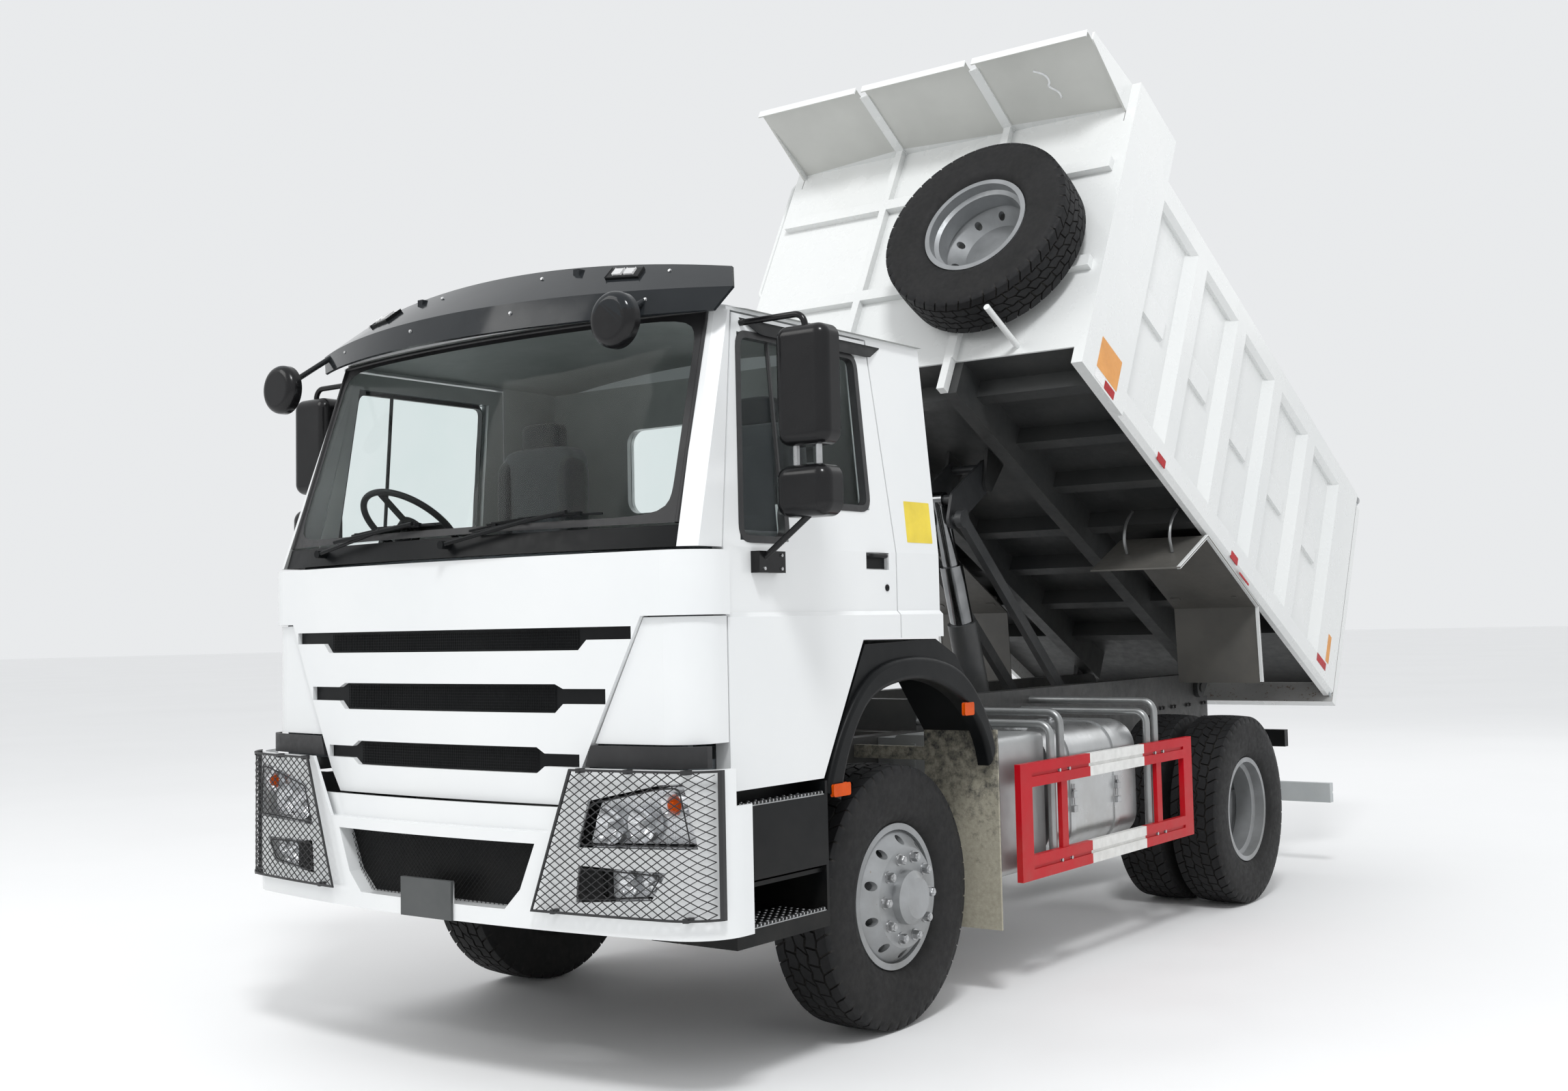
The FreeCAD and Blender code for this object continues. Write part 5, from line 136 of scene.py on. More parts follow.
def outward(surface: Surface) -> Surface:
    """A closed surface with its faces turned outwards.

    The volume is the sum over each face's fan of triangles of a . (b x c) / 6, and where it comes
    out negative every face is reversed.

    Args:
        surface: A closed surface.

    Returns:
        The same surface, turned inside out if it has to be.
    """
    volume = 0.0
    for face in surface.faces:
        corner = surface.points[face]
        fan = np.cross(corner[:, 1:-1], corner[:, 2:])
        volume += float(np.einsum("fi,fki->", corner[:, 0], fan))
    return surface if volume > 0.0 else Surface(surface.points, [face[:, ::-1] for face in surface.faces])


def capped(surface: Surface, rows: int, columns: int) -> Surface:
    """Closes the first and last row of a round grid with one polygon each.

    Args:
        surface: The grid, whose rows are closed rings.
        rows: Its number of rows.
        columns: Points in a row.

    Returns:
        The closed surface, with its faces outwards.
    """
    first = np.arange(columns)[None, ::-1]
    last = (rows - 1) * columns + np.arange(columns)[None, :]
    return outward(Surface(surface.points, surface.faces + [first, last]))


def tube(
        path: np.ndarray, radius: float, sides: int = 8, closed: bool = False,
        up: Point = (0.0, 0.0, 1.0)) -> Surface:
    """Round bar along a path: at each point a circle in the plane square to the path's tangent.

    Args:
        path: Points by three.
        radius: Radius of the bar.
        sides: Number of points round it.
        closed: Whether the path's end joins its start.
        up: A direction that the path never follows, which keeps the circle from twisting.

    Returns:
        The bar, with flat ends unless it is closed.
    """
    path = np.asarray(path, float)
    if closed:
        tangent = np.roll(path, -1, 0) - np.roll(path, 1, 0)
    else:
        tangent = np.gradient(path, axis=0)
    tangent /= np.linalg.norm(tangent, axis=1, keepdims=True)
    beside = np.cross(tangent, np.asarray(up, float))
    beside /= np.linalg.norm(beside, axis=1, keepdims=True)
    above = np.cross(beside, tangent)
    turn = np.linspace(0.0, 2.0 * np.pi, sides, endpoint=False)[None, :, None]
    ring = path[:, None] + radius * (np.cos(turn) * beside[:, None] + np.sin(turn) * above[:, None])
    surface = grid(ring[:, ::-1], closed, True)
    return outward(surface) if closed else capped(surface, len(path), sides)


def lathe(profile: Sequence[Pair], axis: int = 0, steps: int = 32, closed: bool = False) -> Surface:
    """Surface of revolution about a main axis through the origin.

    Args:
        profile: Pairs of place along the axis and radius.
        axis: 0, 1 or 2 for X, Y or Z.
        steps: Points round the axis.
        closed: Whether the profile's end joins its start, as on a ring.

    Returns:
        The surface, with flat ends where the profile is open.
    """
    along, radius = np.asarray(profile, float).T
    turn = np.linspace(0.0, 2.0 * np.pi, steps, endpoint=False)
    points = np.empty((len(along), steps, 3))
    points[..., axis] = along[:, None]
    points[..., (axis + 1) % 3] = radius[:, None] * np.cos(turn)
    points[..., (axis + 2) % 3] = radius[:, None] * np.sin(turn)
    surface = grid(points, closed, True)
    return outward(surface) if closed else capped(surface, len(along), steps)


def slab(outline: Sequence[Pair], low: float, high: float, axis: int) -> Surface:
    """Plate with a flat outline, from one place to another along a main axis.

    Args:
        outline: Corners in the two directions that follow the axis in the order X, Y, Z, X.
        low: Where the plate starts.
        high: Where it ends.
        axis: 0, 1 or 2 for X, Y or Z.

    Returns:
        The closed plate.
    """
    flat = np.asarray(outline, float)
    points = np.empty((2, len(flat), 3))
    points[..., axis] = np.array([[low], [high]])
    points[..., (axis + 1) % 3] = flat[:, 0]
    points[..., (axis + 2) % 3] = flat[:, 1]
    return capped(grid(points, False, True), 2, len(flat))


def block(low: Sequence[float], high: Sequence[float]) -> Surface:
    """Six-sided block between two opposite corners.

    Args:
        low: The corner with the smaller coordinates.
        high: The other corner.

    Returns:
        The block.
    """
    x0, y0, z0 = low
    x1, y1, z1 = high
    return slab([(x0, y0), (x1, y0), (x1, y1), (x0, y1)], z0, z1, 2)


def repeated(surface: Surface, shifts: np.ndarray, rotations: np.ndarray | None = None) -> Surface:
    """Copies of one surface, each turned by its own matrix and carried by its own shift.

    Args:
        surface: The surface to copy.
        shifts: Copies by three.
        rotations: Copies by three by three, or None for copies that aren't turned.

    Returns:
        All the copies as one surface.
    """
    shifts = np.asarray(shifts, float).reshape(-1, 3)
    base = surface.points[None] if rotations is None else np.einsum("kij,nj->kni", rotations, surface.points)
    points = (base + shifts[:, None]).reshape(-1, 3)
    start = np.arange(len(shifts))[:, None, None] * len(surface.points)
    return Surface(points, [(face[None] + start).reshape(-1, face.shape[1]) for face in surface.faces])


def about_x(angles: np.ndarray) -> np.ndarray:
    """Rotation matrices about X, one for each angle.

    Args:
        angles: Turns in radians.

    Returns:
        Angles by three by three.
    """
    angles = np.atleast_1d(angles)
    turned = np.zeros((len(angles), 3, 3))
    turned[:, 0, 0] = 1.0
    turned[:, 1, 1] = turned[:, 2, 2] = np.cos(angles)
    turned[:, 2, 1] = np.sin(angles)
    turned[:, 1, 2] = -np.sin(angles)
    return turned


def facing(direction: Sequence[float], up: Point = (0.0, 0.0, 1.0)) -> np.ndarray:
    """Rotation matrix that lays local X along a direction and local Z as near up as it can.

    Args:
        direction: Where local X points.
        up: Where local Z leans to.

    Returns:
        The matrix, with the local directions as its columns.
    """
    x = np.asarray(direction, float) / np.linalg.norm(direction)
    y = np.cross(up, x)
    y /= np.linalg.norm(y)
    return np.column_stack([x, y, np.cross(x, y)])


UPRIGHT = facing((0.0, 0.0, 1.0), (1.0, 0.0, 0.0))


def hexagon_bolt(across: float, height: float, washer: float = 0.0) -> Surface:
    """Bolt head that stands along +X: a hexagon with a chamfered top, on a round washer if one is given.

    Args:
        across: Width over the corners.
        height: Height of the head.
        washer: Radius of the washer, or 0 for none.

    Returns:
        The bolt head, its foot at the origin.
    """
    turn = np.linspace(0.0, 2.0 * np.pi, 6, endpoint=False)
    places = np.array([(0.0, 1.0), (height * 0.8, 1.0), (height, 0.82)])
    points = np.empty((3, 6, 3))
    points[..., 0] = places[:, :1]
    points[..., 1] = places[:, 1:] * across / 2.0 * np.cos(turn)
    points[..., 2] = places[:, 1:] * across / 2.0 * np.sin(turn)
    head = capped(grid(points, False, True), 3, 6)
    if not washer:
        return head
    seat = lathe([(0.0, washer), (height * 0.18, washer * 0.96)], 0, 12)
    return joined([seat, head.moved((height * 0.18, 0.0, 0.0))])


def rounded_outline(corners: Sequence[Pair], radius: float, steps: int = 5) -> np.ndarray:
    """Closed outline whose corners are eased by quadratic curves.

    Each corner gives the points (1 - t)^2 a + 2 t (1 - t) corner + t^2 b, where a and b lie a radius
    before and after it on the outline's sides, or half a side away if the side is short.

    Args:
        corners: The outline's corners in order.
        radius: How far from a corner it starts to bend.
        steps: Points on each bend.

    Returns:
        The outline's points by two.
    """
    at = np.asarray(corners, float)
    back, ahead = np.roll(at, 1, 0) - at, np.roll(at, -1, 0) - at
    reach_back = np.minimum(radius / np.linalg.norm(back, axis=1), 0.5)[:, None]
    reach_ahead = np.minimum(radius / np.linalg.norm(ahead, axis=1), 0.5)[:, None]
    a, b = at + back * reach_back, at + ahead * reach_ahead
    t = np.linspace(0.0, 1.0, steps)[None, :, None]
    eased = (1 - t) ** 2 * a[:, None] + 2 * t * (1 - t) * at[:, None] + t ** 2 * b[:, None]
    return eased.reshape(-1, 2)


def rounded_box(box: Extent, radius: float, steps: int = 5) -> np.ndarray:
    """Rectangle with eased corners, from its range in the outline's first direction and in its second."""
    u0, u1, v0, v1 = box
    return rounded_outline([(u0, v0), (u1, v0), (u1, v1), (u0, v1)], radius, steps)


def eased_path(corners: Sequence[Sequence[float]], radius: float, steps: int = 8) -> np.ndarray:
    """Open path through corners that are eased by quadratic curves, as a bent tube's centre line.

    Args:
        corners: The path's ends and corners in order.
        radius: How far from a corner it starts to bend.
        steps: Points on each bend.

    Returns:
        The path's points by three.
    """
    at = np.asarray(corners, float)
    back, ahead = at[:-2] - at[1:-1], at[2:] - at[1:-1]
    reach_back = np.minimum(radius / np.linalg.norm(back, axis=1), 0.5)[:, None]
    reach_ahead = np.minimum(radius / np.linalg.norm(ahead, axis=1), 0.5)[:, None]
    a, b = at[1:-1] + back * reach_back, at[1:-1] + ahead * reach_ahead
    t = np.linspace(0.0, 1.0, steps)[None, :, None]
    eased = (1 - t) ** 2 * a[:, None] + 2 * t * (1 - t) * at[1:-1, None] + t ** 2 * b[:, None]
    return np.concatenate([at[:1], eased.reshape(-1, 3), at[-1:]])


def raised(points: np.ndarray) -> np.ndarray:
    """Points of the load body in their raised place.

    A point is (x, u, v): u ahead of the tipping hinge and v above it while the body lies flat. The
    body then turns about the hinge by the angle a, so y = -u cos a + v sin a and z = u sin a + v cos a.

    Args:
        points: Points by three, as (x, u, v).

    Returns:
        The same points in place, as (x, y, z).
    """
    x, u, v = np.moveaxis(np.asarray(points, float), -1, 0)
    y = HINGE[0] - u * math.cos(BED_ANGLE) + v * math.sin(BED_ANGLE)
    z = HINGE[1] + u * math.sin(BED_ANGLE) + v * math.cos(BED_ANGLE)
    return np.stack([x, y, z], -1)


def on_bed(surface: Surface) -> Surface:
    """A surface whose points are (x, u, v) of the load body, in its raised place."""
    return Surface(raised(surface.points), [face[:, ::-1] for face in surface.faces])


def add_piece(
        name: str, surface: Surface, finish: "Finish", body: str, bevel: float = 0.0,
        replaces: Sequence[str] = ()) -> bpy.types.Object:
    """Makes one dressed mesh piece that rides on a body.

    Args:
        name: The piece's name.
        surface: Its points, with Y from the front axle, and its faces.
        finish: What it is dressed with.
        body: The body of the fixed frame that carries it.
        bevel: Width of the eased edges, or 0 for none.
        replaces: Nodes of the fixed frame that it stands for.

    Returns:
        The finished object.
    """
    mesh = bpy.data.meshes.new(name)
    points = surface.points + (0.0, FRONT_AXLE_Y, 0.0)
    mesh.from_pydata(points, [], [row for face in surface.faces for row in face.tolist()])
    mesh.validate()
    mesh.polygons.foreach_set("use_smooth", np.ones(len(mesh.polygons), bool))
    mesh.set_sharp_from_angle(angle=SMOOTH_ANGLE)
    mesh.materials.append(finish.material())
    piece = bpy.data.objects.new(name, mesh)
    bpy.context.scene.collection.objects.link(piece)
    if bevel:
        eased = piece.modifiers.new("eased_edges", "BEVEL")
        eased.width = bevel
        eased.segments = 2
        eased.limit_method = "ANGLE"
    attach(piece, body)
    if replaces:
        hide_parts(*replaces)
    log.info("%s: %d faces on %s", name, len(mesh.polygons), body)
    return piece


# ---------------------------------------------------------------- finishes
class NodeBoard:
    """The node tree of one material, with a short way to add its nodes and join them."""

    def __init__(self, name: str) -> None:
        """Starts a material with a principled shader and its output.

        Args:
            name: The material's name.
        """
        self.material = bpy.data.materials.new(name)
        self.material.use_nodes = True
        self.tree = self.material.node_tree
        self.tree.nodes.clear()
        self.shader = self.tree.nodes.new("ShaderNodeBsdfPrincipled")
        output = self.tree.nodes.new("ShaderNodeOutputMaterial")
        self.tree.links.new(self.shader.outputs[0], output.inputs[0])
        self.place = self.tree.nodes.new("ShaderNodeTexCoord").outputs["Object"]

    def join(self, source: Socket, target: Socket) -> None:
        """Links one socket to another."""
        self.tree.links.new(source, target)

    def fill(self, node: bpy.types.Node, values: dict[str, float | tuple[float, ...]]) -> None:
        """Sets inputs of a node by their names."""
        for name, value in values.items():
            node.inputs[name].default_value = value

    def node(
            self, kind: str, values: dict[str, float | tuple[float, ...]],
            place: Socket | None = None) -> bpy.types.Node:
        """Adds a shader node.

        Args:
            kind: The node's kind, without the prefix that all of them have.
            values: What its inputs are set to, by their names.
            place: What is linked to its Vector input, if anything.

        Returns:
            The new node.
        """
        node = self.tree.nodes.new(f"ShaderNode{kind}")
        self.fill(node, values)
        if place is not None:
            self.join(place, node.inputs["Vector"])
        return node

    def stretched(self, scale: Point) -> Socket:
        """Object coordinates with each direction scaled by its own factor."""
        return self.node("Mapping", {"Scale": scale}, self.place).outputs["Vector"]

    def noise(
            self, scale: float, detail: float = 3.0, place: Socket | None = None,
            rough: float = 0.55) -> Socket:
        """Value of a fractal noise at a place, from 0 to 1."""
        values = {"Scale": scale, "Detail": detail, "Roughness": rough}
        return self.node("TexNoise", values, place or self.place).outputs["Fac"]

    def cells(self, scale: float) -> Socket:
        """Distance to the nearest of scattered points, as pebbles or lens cells."""
        return self.node("TexVoronoi", {"Scale": scale}, self.place).outputs["Distance"]

    def ramp(
            self, value: Socket, low: float, high: float, out_low: float = 0.0,
            out_high: float = 1.0) -> Socket:
        """Value carried linearly from one range to another, and held at its ends.

        Args:
            value: The value to carry.
            low: Where its range starts.
            high: Where its range ends.
            out_low: What the start becomes.
            out_high: What the end becomes.

        Returns:
            The carried value.
        """
        ends = {"From Min": low, "From Max": high, "To Min": out_low, "To Max": out_high}
        node = self.node("MapRange", ends)
        self.join(value, node.inputs["Value"])
        return node.outputs["Result"]

    def arithmetic(self, operation: str, first: Socket, second: Socket | float) -> Socket:
        """Two values joined by a named operation, such as MULTIPLY or MAXIMUM.

        Args:
            operation: The operation's name.
            first: The first value.
            second: The second value, or a fixed number.

        Returns:
            The result.
        """
        node = self.tree.nodes.new("ShaderNodeMath")
        node.operation = operation
        self.join(first, node.inputs[0])
        if isinstance(second, float):
            node.inputs[1].default_value = second
        else:
            self.join(second, node.inputs[1])
        return node.outputs[0]

    def height(self, axis: str = "Z") -> Socket:
        """One of the object coordinates.

        Args:
            axis: X, Y or Z.

        Returns:
            The coordinate along that axis.
        """
        node = self.tree.nodes.new("ShaderNodeSeparateXYZ")
        self.join(self.place, node.inputs[0])
        return node.outputs[axis]

    def blended(self, share: Socket, first: "Socket | Colour", second: "Socket | Colour") -> Socket:
        """Colour that goes from the first to the second as the share goes from 0 to 1.

        Args:
            share: How much of the second colour shows.
            first: The colour at 0.
            second: The colour at 1.

        Returns:
            The mixed colour.
        """
        node = self.tree.nodes.new("ShaderNodeMix")
        node.data_type = "RGBA"
        self.join(share, node.inputs["Factor"])
        for socket, colour in ((node.inputs[6], first), (node.inputs[7], second)):
            if isinstance(colour, tuple):
                socket.default_value = (*colour, 1.0)
            else:
                self.join(colour, socket)
        return node.outputs[2]

    def relief(self, value: Socket, strength: float, depth: float) -> None:
        """Adds a bump to the shader's normal, on top of one that is there.

        Args:
            value: The height of the relief, from 0 to 1.
            strength: How strongly it shows.
            depth: Its depth in metres.
        """
        node = self.node("Bump", {"Strength": strength, "Distance": depth})
        self.join(value, node.inputs["Height"])
        normal = self.shader.inputs["Normal"]
        if normal.is_linked:
            self.join(normal.links[0].from_socket, node.inputs["Normal"])
        self.join(node.outputs["Normal"], normal)

    def attribute(self, name: str) -> Socket:
        """Value that the mesh holds at each point under a name.

        Args:
            name: The name.

        Returns:
            The value.
        """
        node = self.tree.nodes.new("ShaderNodeAttribute")
        node.attribute_name = name
        return node.outputs["Fac"]


@dataclass(frozen=True)
class Finish:
    """A solid finish whose tone drifts over the surface, with wear specks, settled dust and fine relief.

    The tone goes between two colours by a slow noise, wear shows where a finer noise is high, and
    dust lies where a noise beats a share that falls with height.
    """

    name: str
    colour: Colour
    tone: Colour
    drift: float = 1.6
    gloss: Pair = (0.28, 0.42)
    metal: float = 0.0
    coat: float = 0.0
    grain: float = 260.0
    grain_depth: float = 0.0004
    wear: float = 0.0
    wear_colour: Colour = (0.16, 0.13, 0.10)
    dust: float = 0.0
    dust_colour: Colour = (0.34, 0.29, 0.22)
    dust_top: float = 1.2
    glint: float = 0.5
    coat_roughness: float = 0.12
    speck: float = 34.0
    speck_rough: float = 0.7
    patch: float = 6.0
    fine_strength: float = 0.35

    def material(self) -> bpy.types.Material:
        """The finish's material, made the first time that it is asked for."""
        found = bpy.data.materials.get(self.name)
        return found or self.made()

    def made(self) -> bpy.types.Material:
        """Builds the node tree of the finish.

        Returns:
            The new material.
        """
        board = NodeBoard(self.name)
        values = {
            "Metallic": self.metal, "Specular IOR Level": self.glint, "Coat Weight": self.coat,
            "Coat Roughness": self.coat_roughness}
        board.fill(board.shader, values)
        colour = self.base_colour(board)
        fine = board.noise(self.grain, 4.0)
        if self.wear:
            specks = board.noise(self.speck, 8.0, rough=self.speck_rough)
            worn = board.ramp(specks, 0.72 - self.wear * 0.2, 0.76 - self.wear * 0.18)
            colour = board.blended(worn, colour, self.wear_colour)
        if self.dust:
            lying = board.ramp(board.height(), self.dust_top, 0.1, 0.0, self.dust)
            patch = board.ramp(board.noise(self.patch, 6.0, rough=0.65), 0.3, 0.75)
            colour = board.blended(board.arithmetic("MULTIPLY", lying, patch), colour, self.dust_colour)
        board.join(colour, board.shader.inputs["Base Color"])
        uneven = board.noise(self.drift * 7.0, 5.0, rough=0.6)
        board.join(board.ramp(uneven, 0.3, 0.7, *self.gloss), board.shader.inputs["Roughness"])
        board.relief(fine, self.fine_strength, self.grain_depth)
        self.extras(board)
        return board.material

    def base_colour(self, board: NodeBoard) -> Socket:
        """Colour before wear and dust."""
        return board.blended(board.ramp(board.noise(self.drift, 4.0), 0.32, 0.68), self.colour, self.tone)

    def extras(self, board: NodeBoard) -> None:
        """What a kind of finish adds to the common tree; nothing on a plain one."""


@dataclass(frozen=True)
class PanelPaint(Finish):
    """Sprayed sheet metal: a clear coat over slight waves, as on pressed and welded panels."""

    wave: float = 3.0
    wave_depth: float = 0.004
    wave_strength: float = 0.12

    def extras(self, board: NodeBoard) -> None:
        """Adds the slow waves of thin sheet."""
        board.relief(board.noise(self.wave, 1.0), self.wave_strength, self.wave_depth)


@dataclass(frozen=True)
class BandedPaint(PanelPaint):
    """Rail paint with one light band between two places along the truck."""

    band: Colour = (0.78, 0.78, 0.76)
    band_tone: Colour = (0.66, 0.66, 0.64)
    band_start: float = 0.0
    band_end: float = 0.0

    def base_colour(self, board: NodeBoard) -> Socket:
        """Drifting paint, and the band where the place along Y lies between its two ends.

        Args:
            board: The material's nodes.

        Returns:
            The colour before wear and dust.
        """
        plain = super().base_colour(board)
        along = board.height("Y")
        after = board.arithmetic("GREATER_THAN", along, self.band_start + FRONT_AXLE_Y)
        before = board.arithmetic("LESS_THAN", along, self.band_end + FRONT_AXLE_Y)
        light = board.blended(board.ramp(board.noise(20.0), 0.3, 0.7), self.band, self.band_tone)
        return board.blended(board.arithmetic("MULTIPLY", after, before), plain, light)


@dataclass(frozen=True)
class BrushedMetal(Finish):
    """Bare metal with fine lines along one direction, from a noise stretched along it."""

    lines: Point = (6.0, 220.0, 220.0)
    line_strength: float = 0.12
    line_depth: float = 0.00012

    def extras(self, board: NodeBoard) -> None:
        """Adds the lines as relief."""
        drawn = board.noise(2.2, 2.0, board.stretched(self.lines))
        board.relief(drawn, self.line_strength, self.line_depth)


@dataclass(frozen=True)
class MouldedPlastic(Finish):
    """Moulded plastic with a pebbled skin."""

    pebble: float = 420.0
    pebble_depth: float = 0.0006
    pebble_strength: float = 0.30

    def extras(self, board: NodeBoard) -> None:
        """Adds the pebbles as relief."""
        board.relief(board.cells(self.pebble), self.pebble_strength, self.pebble_depth)


@dataclass(frozen=True)
class TreadRubber(Finish):
    """Tyre rubber whose grooves hold dust; the mesh says how deep each point lies in them."""

    def base_colour(self, board: NodeBoard) -> Socket:
        """Rubber that turns dusty with the depth of the groove.

        Args:
            board: The material's nodes.

        Returns:
            The colour before wear and dust.
        """
        plain = super().base_colour(board)
        patch = board.ramp(board.noise(22.0, 5.0), 0.3, 0.7, 0.25, 0.9)
        share = board.arithmetic("MULTIPLY", board.attribute("groove"), patch)
        return board.blended(share, plain, self.dust_colour)


@dataclass(frozen=True)
class ClearPane(Finish):
    """Glass or clear plastic: it lets light through."""

    clear: float = 1.0
    bend: float = 1.45

    def extras(self, board: NodeBoard) -> None:
        """Lets the light through."""
        board.fill(board.shader, {"Transmission Weight": self.clear, "IOR": self.bend})


@dataclass(frozen=True)
class PrismLens(Finish):
    """Coloured lens or reflector with a field of small prisms behind its face."""

    prism: float = 190.0
    prism_depth: float = 0.0015
    prism_strength: float = 0.6
    clear: float = 0.25
    # Emitted glow: lamp glow on lamp lenses, painted light on reflectors that have no lamp behind them.
    lamp_and_painted_glow: float = 0.15

    def extras(self, board: NodeBoard) -> None:
        """Adds the prisms, some light through the lens and a little emitted glow, which on reflectors is
        painted light.

        Args:
            board: The material's nodes.
        """
        values = {
            "Transmission Weight": self.clear, "Emission Color": (*self.colour, 1.0),
            "Emission Strength": self.lamp_and_painted_glow}
        board.fill(board.shader, values)
        board.relief(board.cells(self.prism), self.prism_strength, self.prism_depth)


@dataclass(frozen=True)
class WovenCloth(Finish):
    """Seat cloth: two families of fine waves cross as warp and weft, over soft sheen."""

    thread: float = 420.0
    thread_depth: float = 0.0008
    sheen: float = 0.35

    def extras(self, board: NodeBoard) -> None:
        """Adds the weave as relief and the sheen of fibres.

        Args:
            board: The material's nodes.
        """
        board.fill(board.shader, {"Sheen Weight": self.sheen})
        for direction in ("X", "Z"):
            weave = board.node("TexWave", {"Scale": self.thread}, board.place)
            weave.bands_direction = direction
            board.relief(weave.outputs["Fac"], 0.4, self.thread_depth)


@dataclass(frozen=True)
class SplashedRubber(Finish):
    """Mud flap rubber caked with dried splashes that thin out upwards."""

    mud: Colour = (0.40, 0.375, 0.30)
    mud_tone: Colour = (0.31, 0.29, 0.225)
    mud_top: float = 1.6
    mud_low: float = 0.35
    mud_depth: float = 0.003

    def base_colour(self, board: NodeBoard) -> Socket:
        """Rubber, and mud where a coarse and a fine noise together beat the height.

        Args:
            board: The material's nodes.

        Returns:
            The colour before wear and dust.
        """
        plain = super().base_colour(board)
        lift = board.ramp(board.height(), self.mud_top, self.mud_low, -0.20, 0.34)
        coarse = board.arithmetic("ADD", board.noise(26.0, 8.0, rough=0.72), lift)
        caked = board.ramp(coarse, 0.38, 0.66)
        mud = board.blended(board.ramp(board.noise(60.0, 5.0), 0.3, 0.7), self.mud, self.mud_tone)
        return board.blended(caked, plain, mud)

    def extras(self, board: NodeBoard) -> None:
        """Raises the caked mud a little."""
        board.relief(board.noise(60.0, 6.0), 0.6, self.mud_depth)


